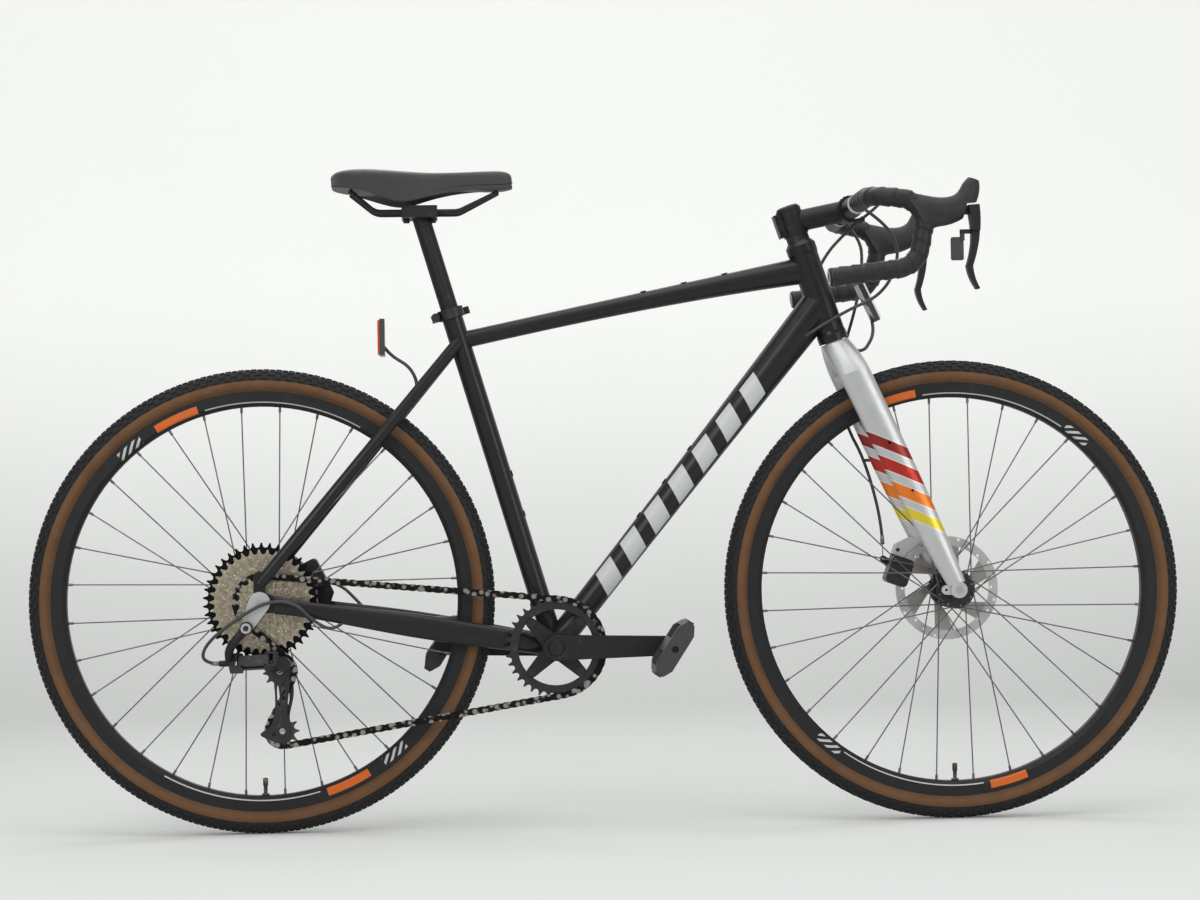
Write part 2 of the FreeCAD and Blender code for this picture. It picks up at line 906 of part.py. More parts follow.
def tapered_tube(name, start, finish, shares, half_height, wall, hung):
    """Oval tube lofted between two points and hollowed; a hung tube keeps its upper edge on the line."""
    along = (finish - start).normalize()
    upward = along.cross(LEFT)
    outer = []
    inner = []
    for share, tall, wide in shares:
        tall_size = half_height * tall
        wide_size = half_height * wide
        centre = start + (finish - start) * share
        if hung:
            centre = centre - upward * tall_size
        outer.append(oval(f"{name}_outer", centre, upward, along, tall_size, wide_size))
        inner.append(oval(f"{name}_inner", centre, upward, along, tall_size - wall, wide_size - wall))
    skin = loft(name + "_skin", outer)
    return skin, loft(name + "_void", inner)


def build_main_tubes():
    """Head tube, top tube, down tube, seat tube and bottom bracket shell."""
    length = size.head_tube_length
    collar = size.head_collar_length
    bore = size.head_bearing_radius - size.head_shoulder
    head_tube = turned(
        "head_tube",
        [
            (size.head_bearing_radius, 0),
            (size.head_collar_radius, 0),
            (size.head_collar_radius, collar),
            (size.head_tube_radius, collar * COLLAR_FADE_SHARE),
            (size.head_tube_radius, length - collar * COLLAR_FADE_SHARE),
            (size.head_collar_radius, length - collar),
            (size.head_collar_radius, length),
            (size.head_bearing_radius, length),
            (size.head_bearing_radius, length - size.head_bearing_height),
            (bore, length - size.head_bearing_height),
            (bore, size.head_bearing_height),
            (size.head_bearing_radius, size.head_bearing_height),
        ],
        head_bottom,
        steer_up,
    )
    node("head_tube", head_tube)
    head_core = turned(
        "head_core",
        [
            (0, 0),
            (size.head_collar_radius, 0),
            (size.head_collar_radius, collar),
            (size.head_tube_radius, collar * COLLAR_FADE_SHARE),
            (size.head_tube_radius, length - collar * COLLAR_FADE_SHARE),
            (size.head_collar_radius, length - collar),
            (size.head_collar_radius, length),
            (0, length),
        ],
        head_bottom,
        steer_up,
    )

    half_width = size.bracket_shell_width / 2
    shell = turned(
        "bottom_bracket_shell",
        [
            (size.bracket_bore_radius, -half_width),
            (size.bracket_shell_radius, -half_width),
            (size.bracket_shell_radius, half_width),
            (size.bracket_bore_radius, half_width),
        ],
        bracket_at,
        LEFT,
    )
    node("bottom_bracket_shell", shell)
    shell_core = rod("shell_core", bracket_at - LEFT * half_width, bracket_at + LEFT * half_width,
                     size.bracket_shell_radius)

    seat_bore = size.post_radius + size.running_fit
    seat_top = bracket_at + seat_up * size.seat_tube_length
    seat_core = rod("seat_core", bracket_at, seat_top, size.seat_tube_radius)
    seat_blank = ring("seat_blank", bracket_at, seat_up, seat_bore, size.seat_tube_radius,
                      size.seat_tube_length)
    seat_tube = cut("seat_tube_mitred", seat_blank, shell_core)
    seats = []
    for step in range(2):
        height = size.seat_boss_height + size.boss_spacing * step
        inside = bracket_at + seat_up * height + seat_ahead * (size.seat_tube_radius - size.tube_wall)
        seats.append((inside + seat_ahead * size.tube_wall, seat_ahead))
    seat_tube, seat_bosses = with_bosses("seat_tube", seat_tube, seats)
    node("seat_tube", group("seat_tube_group", seat_tube, *seat_bosses))

    edge_start = bracket_at + seat_up * size.top_tube_seat_height
    edge_finish = head_bottom + steer_up * size.top_tube_head_height
    top_skin, top_void = tapered_tube("top_tube", edge_start, edge_finish, TOP_TUBE_SHARES,
                                      size.top_tube_half_height, size.tube_wall, True)
    top_line = (edge_finish - edge_start).normalize()
    top_normal = top_line.cross(LEFT)
    top_tube = cut("top_tube_mitred", top_skin, top_void, head_core, seat_core)
    seats = []
    for step in range(3):
        back = size.top_boss_setback + size.boss_spacing * step
        below = edge_finish - top_line * back - top_normal * (size.top_tube_half_height / 2)
        seats.append((surface_point(top_skin, below, top_normal), top_normal))
    top_tube, top_bosses = with_bosses("top_tube", top_tube, seats)
    node("top_tube", group("top_tube_group", top_tube, *top_bosses))

    down_finish = head_bottom + steer_up * size.down_tube_head_height
    down_skin, down_void = tapered_tube("down_tube", bracket_at, down_finish, DOWN_TUBE_SHARES,
                                        size.down_tube_half_height, size.tube_wall, False)
    down_line = (down_finish - bracket_at).normalize()
    down_normal = down_line.cross(LEFT)
    down_tube = cut("down_tube_mitred", down_skin, down_void, head_core, shell_core, seat_core, top_skin)
    seats = []
    for step in range(3):
        middle = bracket_at + down_line * (size.down_boss_height + size.boss_spacing * step)
        seats.append((surface_point(down_skin, middle, down_normal), down_normal))
    down_tube, down_bosses = with_bosses("down_tube", down_tube, seats)
    node("down_tube", group("down_tube_group", down_tube, *down_bosses))
    return seat_core, shell_core


def build_bearings():
    """Headset bearings and bottom bracket cups, which stay in the frame."""
    bore = size.steerer_radius + size.running_fit
    top = head_bottom + steer_up * (size.head_tube_length - size.head_bearing_height)
    lower = ring("lower_bearing", head_bottom, steer_up, bore, size.head_bearing_radius,
                 size.head_bearing_height)
    upper = ring("upper_bearing", top, steer_up, bore, size.head_bearing_radius, size.head_bearing_height)
    face = size.bracket_shell_width / 2
    cups = []
    for name, way in (("right_cup", RIGHT), ("left_cup", LEFT)):
        cups.append(
            turned(
                name,
                [
                    (size.spindle_radius + size.running_fit, -size.cup_depth),
                    (size.bracket_bore_radius, -size.cup_depth),
                    (size.bracket_bore_radius, 0),
                    (size.cup_flange_radius, 0),
                    (size.cup_flange_radius, size.cup_flange_width),
                    (size.spindle_radius + size.running_fit, size.cup_flange_width),
                ],
                bracket_at + way * face,
                way,
            )
        )
    node("frame_bearings", group("frame_bearings_group", lower, upper, *cups))


def stay_point(share, spread_share):
    """Middle of the right chainstay at a share of its run from the rear axle."""
    middle = rear_axle_at + (bracket_at - rear_axle_at) * share
    return middle + RIGHT * ((rear_half + size.dropout_thickness / 2) * spread_share)


def build_rear_triangle(seat_core, shell_core):
    """Chainstays, seatstays, bridge, dropouts, brake tab and derailleur hanger."""
    outward = rear_half + size.dropout_thickness / 2
    lug = rear_axle_at + Vector(size.stay_end_ahead, 0, -size.bottom_bracket_drop * STAY_LUG_SHARE)
    place = flat_place(rear_axle_at.x, -rear_half, rear_axle_at.z)
    boss = padded(
        "dropout_boss",
        hull_outline(0, 0, size.dropout_radius, lug.x - rear_axle_at.x, lug.z - rear_axle_at.z,
                     size.dropout_lug_radius),
        size.dropout_thickness,
        place,
        holes=[(0, 0, size.axle_radius)],
    )
    riser = padded(
        "dropout_riser",
        hull_outline(0, size.dropout_radius, size.seatstay_lug_radius, 0,
                     size.dropout_radius + size.seatstay_end_rise, size.seatstay_lug_radius),
        size.dropout_thickness,
        place,
    )
    dropout = fuse("right_dropout", boss, riser)

    sections = []
    for share, spread, tall, wide in CHAINSTAY_SHARES:
        centre = stay_point(share, spread)
        sections.append(
            oval("chainstay_section", centre, UP, AHEAD, size.chainstay_half_height * tall,
                 size.chainstay_half_height * wide)
        )
    shell_end = bracket_at + RIGHT * (size.bracket_shell_width / 2)
    cup_room = rod("cup_room", shell_end, shell_end + RIGHT * (size.cup_flange_width + size.moving_gap),
                   size.cup_flange_radius + size.moving_gap)
    chainstay = cut("right_chainstay", loft("chainstay_skin", sections), dropout, shell_core, cup_room)

    foot = rear_axle_at + UP * (size.dropout_radius + size.seatstay_end_rise / 2)
    joint = bracket_at + seat_up * size.seatstay_top_height
    run = (joint - foot).normalize()
    normal = run.cross(LEFT)
    sections = []
    for share, spread in SEATSTAY_SHARES:
        centre = foot + (joint - foot) * share + RIGHT * (outward * spread)
        sections.append(
            oval("seatstay_section", centre, normal, run, size.seatstay_half_height,
                 size.seatstay_half_width)
        )
    seatstay = cut("right_seatstay", loft("seatstay_skin", sections), dropout, seat_core)
    left_dropout = mirrored("left_dropout", dropout)
    left_chainstay = mirrored("left_chainstay", chainstay)
    left_seatstay = mirrored("left_seatstay", seatstay)

    reach = wheel_radius + size.bridge_tyre_gap + size.bridge_radius
    bridge_at = foot + run * math.sqrt(reach ** 2 - (normal.dot(foot - rear_axle_at)) ** 2) - run * (
        run.dot(foot - rear_axle_at)
    )
    bridge_bar = rod("bridge_bar", bridge_at + RIGHT * (outward / 2), bridge_at + LEFT * (outward / 2),
                     size.bridge_radius)
    bridge = cut("seatstay_bridge", bridge_bar, seatstay, left_seatstay)
    tab = brake_tab("rear_tab", rear_axle_at, size.rear_rotor_offset, size.caliper_angle_rear)
    tab = cut("rear_brake_tab", tab, left_chainstay, left_dropout)
    node(
        "rear_triangle",
        group("rear_triangle_group", dropout, left_dropout, chainstay, left_chainstay, seatstay,
              left_seatstay, bridge, tab),
    )

    hanger = padded(
        "derailleur_hanger",
        hull_outline(0, 0, size.dropout_radius, -size.hanger_setback, -size.hanger_drop, size.hanger_radius),
        size.hanger_thickness,
        flat_place(rear_axle_at.x, -rear_half - size.dropout_thickness, rear_axle_at.z),
        holes=[(0, 0, size.axle_radius), (-size.hanger_setback, -size.hanger_drop, size.hanger_bolt_radius)],
    )
    node("derailleur_hanger", hanger)

    right_end = rear_half + size.dropout_thickness + size.hanger_thickness
    left_end = rear_half + size.dropout_thickness
    axle = turned(
        "rear_axle",
        [
            (0, -right_end),
            (size.axle_radius, -right_end),
            (size.axle_radius, left_end),
            (size.axle_head_radius, left_end),
            (size.axle_head_radius, left_end + size.axle_head_length),
            (0, left_end + size.axle_head_length),
        ],
        rear_axle_at,
        LEFT,
    )
    node("rear_axle", axle)
    return bridge_at


# Disc brakes


def brake_frame(axle_at, offset, degrees):
    """Directions of a caliper: out from the axle, along the disc towards its mount, and its place."""
    turn = math.radians(degrees)
    outward = Vector(math.cos(turn), 0, math.sin(turn))
    place = plate_place(axle_at + LEFT * offset, outward, LEFT)
    return outward, LEFT.cross(outward), place


def brake_tab(name, axle_at, offset, degrees):
    """Tab on the frame or fork that the caliper is bolted to."""
    outward, along, place = brake_frame(axle_at, offset, degrees)
    start = size.caliper_ear_start - size.tab_thickness
    near = size.caliper_half_length + size.moving_gap
    far = near + size.tab_length
    middle = (size.caliper_inner_radius + size.caliper_outer_radius) / 2
    return padded(
        name,
        [
            (size.caliper_inner_radius, near),
            (size.caliper_outer_radius, near),
            (size.caliper_outer_radius, near + size.caliper_ear_length),
            (middle, far),
            (size.caliper_inner_radius, far),
        ],
        size.tab_thickness,
        place.multiply(Placement(Vector(0, 0, start), Rotation())),
        holes=[
            (middle + spread, near + size.caliper_ear_length / 2, size.caliper_bolt_radius)
            for spread in (size.caliper_bolt_spread, -size.caliper_bolt_spread)
        ],
    )


def build_brake(name, axle_at, offset, degrees, arm_degrees, stay=None):
    """Caliper with its fixed pad and bolts, relieved for a stay, its moving pad and its lever arm."""
    outward, along, place = brake_frame(axle_at, offset, degrees)

    def at(radius, side, across):
        return place.multVec(Vector(float(radius), float(side), float(across)))

    def lifted(across):
        return place.multiply(Placement(Vector(0, 0, float(across)), Rotation()))

    middle = (size.caliper_inner_radius + size.caliper_outer_radius) / 2
    arm_radius = (size.caliper_inner_radius + size.caliper_slot_radius) / 2
    body = padded(
        name + "_body",
        box_outline(size.caliper_inner_radius, -size.caliper_half_length, size.caliper_outer_radius,
                    size.caliper_half_length, size.caliper_corner),
        size.caliper_inboard + size.caliper_outboard,
        lifted(-size.caliper_inboard),
    )
    cover_start = at(arm_radius, 0, size.caliper_outboard - size.caliper_corner)
    cover_end = at(arm_radius, 0, size.caliper_outboard + size.piston_cover_length)
    cover = rod(name + "_cover", cover_start, cover_end, size.piston_cover_radius)
    ear_near = size.caliper_half_length - size.caliper_corner
    ear_far = size.caliper_half_length + size.moving_gap + size.caliper_ear_length
    ear = padded(
        name + "_ear",
        box_outline(size.caliper_inner_radius, ear_near, size.caliper_outer_radius, ear_far,
                    size.caliper_corner / 2),
        size.caliper_ear_thickness,
        lifted(size.caliper_ear_start),
    )
    solid = fuse(name + "_solid", body, cover, ear)
    slot_reach = size.caliper_slot_radius * 2
    slot = block(name + "_slot", place, slot_reach, slot_reach, size.caliper_slot)
    stub_end = size.caliper_outboard + size.piston_cover_length
    stub_bore = rod(name + "_bore", at(arm_radius, 0, stub_end - size.arm_stub_length),
                    at(arm_radius, 0, stub_end), size.arm_stub_radius + size.running_fit)
    bolt_side = size.caliper_half_length + size.moving_gap + size.caliper_ear_length / 2
    bolt_seat = size.caliper_ear_start + size.caliper_ear_thickness
    bolt_length = size.caliper_ear_thickness + size.tab_thickness
    drills = []
    bolts = []
    for index, spread in enumerate((size.caliper_bolt_spread, -size.caliper_bolt_spread)):
        seat = at(middle + spread, bolt_side, bolt_seat)
        drill_end = seat - LEFT * bolt_length
        drills.append(rod(f"{name}_drill_{index}", drill_end, seat, size.caliper_bolt_radius))
        bolts.append(bolt(f"{name}_bolt_{index}", seat, LEFT, size.caliper_bolt_radius, bolt_length,
                          size.caliper_bolt_head_radius, size.caliper_bolt_head_length))
    caliper = cut(name + "_cut", solid, slot, stub_bore, *drills)

    face = size.rotor_thickness / 2 + size.pad_gap
    pad_outline = box_outline(size.caliper_inner_radius, -size.pad_half_length,
                              size.caliper_inner_radius + size.pad_depth, size.pad_half_length,
                              size.caliper_corner / 2)
    fixed_pad = padded(name + "_fixed_pad", pad_outline, size.caliper_slot / 2 - face,
                       lifted(-size.caliper_slot / 2))
    pieces = group(name + "_caliper_group", caliper, fixed_pad, *bolts)
    node(name + "_caliper", cut(name + "_caliper_relief", pieces, stay) if stay else pieces)
    node(name + "_brake_pad", padded(name + "_brake_pad", pad_outline, size.pad_thickness, lifted(face)))

    swing = math.radians(arm_degrees)
    tip_x = arm_radius + size.arm_length * math.cos(swing)
    tip_y = size.arm_length * math.sin(swing)
    plate = padded(
        name + "_arm_plate",
        hull_outline(arm_radius, 0, size.arm_root_radius, tip_x, tip_y, size.arm_tip_radius),
        size.arm_thickness,
        lifted(stub_end + size.moving_gap),
        holes=[(tip_x, tip_y, size.wire_radius * 2)],
    )
    stub = rod(name + "_arm_stub", at(arm_radius, 0, stub_end - size.arm_stub_length + size.moving_gap),
               at(arm_radius, 0, stub_end + size.moving_gap), size.arm_stub_radius)
    node(name + "_caliper_arm", fuse(name + "_caliper_arm", plate, stub))
    return at(arm_radius, 0, 0), at(tip_x, tip_y, stub_end + size.moving_gap + size.arm_thickness)


# Wheels

ROTOR_WINDOW_SHARES = (0.22, 0.78)
ROTOR_WINDOWS = 6
ROTOR_SLANT = 26
ROTOR_VENTS = 24


def on_circle(radius, degrees):
    """Point at an angle on a circle about the origin."""
    return radius * math.cos(math.radians(degrees)), radius * math.sin(math.radians(degrees))


SPOKE_PHASE_SHARE = 0.5


def build_rotor(name, centre, offset):
    """Six-bolt disc with slanted windows, vent holes and its bolts."""
    step = 360 / ROTOR_WINDOWS
    inner = size.rotor_hub_radius
    outer = size.rotor_radius - size.rotor_track
    start, finish = (share * step for share in ROTOR_WINDOW_SHARES)
    arc = math.tan(math.radians(finish - start) / 4)
    face = offset + size.rotor_thickness / 2
    place = flat_place(centre.x, face, centre.z)
    disc = padded(name + "_disc", (0, 0, size.rotor_radius), size.rotor_thickness, place,
                  holes=[(0, 0, size.rotor_pilot_radius)])
    depth = UP * size.rotor_thickness
    openings = []
    bolts = []
    for index in range(ROTOR_WINDOWS):
        turn = index * step
        window = [
            (*on_circle(inner, turn + start), arc),
            on_circle(inner, turn + finish),
            (*on_circle(outer, turn + finish + ROTOR_SLANT), -arc),
            on_circle(outer, turn + start + ROTOR_SLANT),
        ]
        openings.append(Part.Face(outline_wire(window)).extrude(depth))
        x, z = on_circle(size.rotor_bolt_circle, turn)
        openings.append(Part.makeCylinder(size.rotor_bolt_radius, size.rotor_thickness, Vector(x, z, 0), UP))
        bolts.append(bolt(f"{name}_rotor_bolt_{index}", centre + Vector(x, face, z), LEFT,
                          size.rotor_bolt_radius, size.rotor_thickness, size.rotor_bolt_head_radius,
                          size.rotor_bolt_head_length))
    vent_circle = size.rotor_radius - size.rotor_track / 2
    for index in range(ROTOR_VENTS):
        sway = size.rotor_track / 4 * (index % 3 - 1)
        x, z = on_circle(vent_circle + sway, index * 360 / ROTOR_VENTS)
        openings.append(Part.makeCylinder(size.rotor_vent_radius, size.rotor_thickness, Vector(x, z, 0), UP))
    drills = ready(name + "_rotor_openings", Part.makeCompound(openings))
    drills.Placement = place
    disc = cut(name + "_rotor_disc", disc, drills)
    node(name + "_rotor", group(name + "_rotor_group", disc, *bolts))


def build_tyre(name, centre):
    """Tyre casing with its beads, and the inner tube with its valve."""
    bead = size.bead_seat_radius
    half = size.tyre_section / 2
    waist = bead + half
    bead_half = size.rim_width / 2 - size.rim_flange_thickness
    lip = bead + size.rim_flange_rise
    inner_half = half - size.tyre_wall
    side = WALL_BULGE_SHARE
    casing = turned(
        name + "_casing",
        [
            (bead, bead_half - size.bead_width),
            (bead, bead_half),
            (lip, bead_half, -side),
            (waist, half, -QUARTER),
            (bead + size.tyre_section, 0, -QUARTER),
            (waist, -half, -side),
            (lip, -bead_half),
            (bead, -bead_half),
            (bead, size.bead_width - bead_half),
            (lip, size.tyre_wall - bead_half, side),
            (waist, -inner_half, QUARTER),
            (bead + size.tyre_section - size.tread_depth, 0, QUARTER),
            (waist, inner_half, side),
            (lip, bead_half - size.tyre_wall),
        ],
        centre,
        LEFT,
    )
    tube_wall = size.tyre_wall / 2
    tube_hole = size.tube_radius - tube_wall
    tube = turned(
        name + "_tube",
        [(waist - size.tube_radius, 0, HALF), (waist + size.tube_radius, 0, HALF)],
        centre,
        LEFT,
        voids=[[(waist - tube_hole, 0, HALF), (waist + tube_hole, 0, HALF)]],
    )
    valve_top = centre - UP * (waist - size.tube_radius)
    valve_foot = valve_top + UP * size.valve_length
    stem = rod(name + "_stem", valve_top, valve_foot, size.valve_radius)
    cap = ring(name + "_cap", valve_foot - UP * size.valve_cap_length, UP, size.valve_radius,
               size.valve_cap_radius, size.valve_cap_length)
    node(name + "_tyre", group(name + "_tyre_group", casing, tube, stem, cap))


def build_rim(name, centre):
    """Box-section rim drilled for spokes and a valve."""
    bead = size.bead_seat_radius
    half = size.rim_width / 2
    seat_half = half - size.rim_flange_thickness
    lip = bead + size.rim_flange_rise
    bed = lip - size.rim_depth
    bed_half = size.rim_bed_width / 2
    shoulder = bed + size.rim_shoulder
    wall = size.rim_wall
    blank = turned(
        name + "_rim_blank",
        [
            (lip, half),
            (lip, seat_half),
            (bead, seat_half),
            (bead, -seat_half),
            (lip, -seat_half),
            (lip, -half),
            (shoulder, -half),
            (bed, -bed_half),
            (bed, bed_half),
            (shoulder, half),
        ],
        centre,
        LEFT,
        voids=[
            [
                (bead - wall, half - wall),
                (bead - wall, wall - half),
                (shoulder + wall / 2, wall - half),
                (bed + wall, wall - bed_half),
                (bed + wall, bed_half - wall),
                (shoulder + wall / 2, half - wall),
            ]
        ],
    )
    drills = []
    for index in range(int(size.spoke_count)):
        turn = math.radians(spoke_turn(index))
        spread = size.spoke_stagger if index % 2 == 0 else -size.spoke_stagger
        outward = Vector(math.cos(turn), 0, math.sin(turn))
        start = centre + outward * (bed - wall) + LEFT * spread
        drills.append(Part.makeCylinder(size.nipple_hole_radius, wall * 3, start, outward))
    down = centre - UP * (bed - wall)
    drills.append(Part.makeCylinder(size.valve_radius, size.rim_depth, down, -UP))
    rim = cut(name + "_rim", blank, ready(name + "_rim_drills", Part.makeCompound(drills)))
    node(name + "_rim", rim)


def spoke_turn(index):
    """Angle of a spoke hole in the rim; the valve lies midway between two of them."""
    return 360 / size.spoke_count * (index + SPOKE_PHASE_SHARE)


def build_spokes(name, centre, left_flange, right_flange):
    """Three-cross spokes with bent heads in the flanges and nipples in the rim."""
    per_side = int(size.spoke_count / 2)
    step = 360 / per_side
    swing = size.spoke_crossings * step
    bed = size.bead_seat_radius + size.rim_flange_rise - size.rim_depth
    tip_radius = bed + size.spoke_inset
    snug = size.flange_thickness / 2 + size.spoke_radius + size.running_fit
    parts = []
    for side, flange, way in ((0, left_flange, 1), (1, right_flange, -1)):
        for lean in (1, -1):
            clear = snug + size.spoke_flare if lean == way else snug
            hub_turn = spoke_turn(side) + (0 if lean == 1 else step)
            hub_x, hub_z = on_circle(size.spoke_circle_radius, hub_turn)
            rim_x, rim_z = on_circle(tip_radius, hub_turn + swing * lean)
            start = centre + Vector(hub_x, flange + lean * clear, hub_z)
            finish = centre + Vector(rim_x, way * size.spoke_stagger, rim_z)
            along = (finish - start).normalize()
            shaft = Part.makeCylinder(size.spoke_radius, (finish - start).Length, start, along)
            elbow_end = start - LEFT * (lean * (clear + size.flange_thickness / 2 + size.spoke_radius))
            elbow_run = elbow_end - start
            elbow = Part.makeCylinder(size.spoke_radius, elbow_run.Length, start, elbow_run)
            head = Part.makeCylinder(size.spoke_head_radius, size.spoke_head_length, elbow_end,
                                     start - elbow_end)
            knee = Part.makeSphere(size.spoke_radius, start)
            spoke = shaft.fuse([elbow, knee, head])
            nipple = Part.makeCylinder(size.nipple_radius, size.nipple_length,
                                       finish - along * size.nipple_length, along).cut(shaft)
            for index in range(per_side // 2):
                for piece in (spoke, nipple):
                    parts.append(piece.copy().rotate(centre, LEFT, 2 * step * index))
    node(name + "_spokes", ready(name + "_spokes", Part.makeCompound(parts)))


def build_hub(name, centre, left_flange, right_flange, offset, right_end, left_end):
    """Hub shell with drilled flanges and a disc seat, and its bearings."""
    half = size.flange_thickness / 2
    rotor_face = offset - size.rotor_thickness / 2
    pilot_end = offset + size.rotor_thickness / 2
    bore = size.bearing_radius
    shell = turned(
        name + "_shell",
        [
            (bore, right_end),
            (size.hub_radius, right_end),
            (size.hub_radius, right_flange - half),
            (size.flange_radius, right_flange - half),
            (size.flange_radius, right_flange + half),
            (size.hub_radius * HUB_FLARE_SHARE, right_flange + half),
            (size.hub_radius, right_flange + size.hub_radius),
            (size.hub_radius, left_flange - size.hub_radius),
            (size.hub_radius * HUB_FLARE_SHARE, left_flange - half),
            (size.flange_radius, left_flange - half),
            (size.flange_radius, left_flange + half),
            (size.rotor_pilot_radius, left_flange + half),
            (size.rotor_pilot_radius, rotor_face - size.flange_thickness),
            (size.rotor_seat_radius, rotor_face - size.flange_thickness),
            (size.rotor_seat_radius, rotor_face),
            (size.rotor_pilot_radius, rotor_face),
            (size.rotor_pilot_radius, pilot_end),
            (size.hub_radius, pilot_end),
            (size.hub_radius, left_end),
            (bore, left_end),
        ],
        centre,
        LEFT,
    )
    per_side = int(size.spoke_count / 2)
    drills = []
    for side, flange in ((0, left_flange), (1, right_flange)):
        for index in range(per_side):
            x, z = on_circle(size.spoke_circle_radius, spoke_turn(2 * index + side))
            start = centre + Vector(x, flange - size.flange_thickness, z)
            drills.append(Part.makeCylinder(size.spoke_hole_radius, size.flange_thickness * 2, start, LEFT))
    shell = cut(name + "_shell_drilled", shell, ready(name + "_hub_drills", Part.makeCompound(drills)))
    bearings = [
        ring(f"{name}_bearing_{label}", centre + LEFT * start, LEFT, size.axle_radius + size.running_fit,
             size.bearing_radius, size.bearing_width)
        for label, start in (("right", right_end), ("left", left_end - size.bearing_width))
    ]
    node(name + "_hub", group(name + "_hub_group", shell, *bearings))


def build_wheels():
    """Both wheels: tyre, rim, spokes, hub and rotor each."""
    layouts = (
        ("front", front_axle_at, size.front_left_flange, size.front_right_flange, size.front_rotor_offset,
         size.moving_gap - front_half, front_half - size.moving_gap),
        ("rear", rear_axle_at, size.rear_left_flange, size.rear_right_flange, size.rear_rotor_offset,
         size.rear_right_flange - size.flange_thickness / 2 - size.hub_stub, rear_half - size.moving_gap),
    )
    for name, centre, left_flange, right_flange, offset, right_end, left_end in layouts:
        build_tyre(name, centre)
        build_rim(name, centre)
        build_spokes(name, centre, left_flange, right_flange)
        build_hub(name, centre, left_flange, right_flange, offset, right_end, left_end)
        build_rotor(name, centre, offset)


# Fork, headset and stem

LEG_SHARES = ((0.0, 1.0, 1.0), (0.3, 0.98, 0.95), (0.65, 0.88, 0.86), (0.9, 0.70, 0.76), (1.0, 0.58, 0.62))


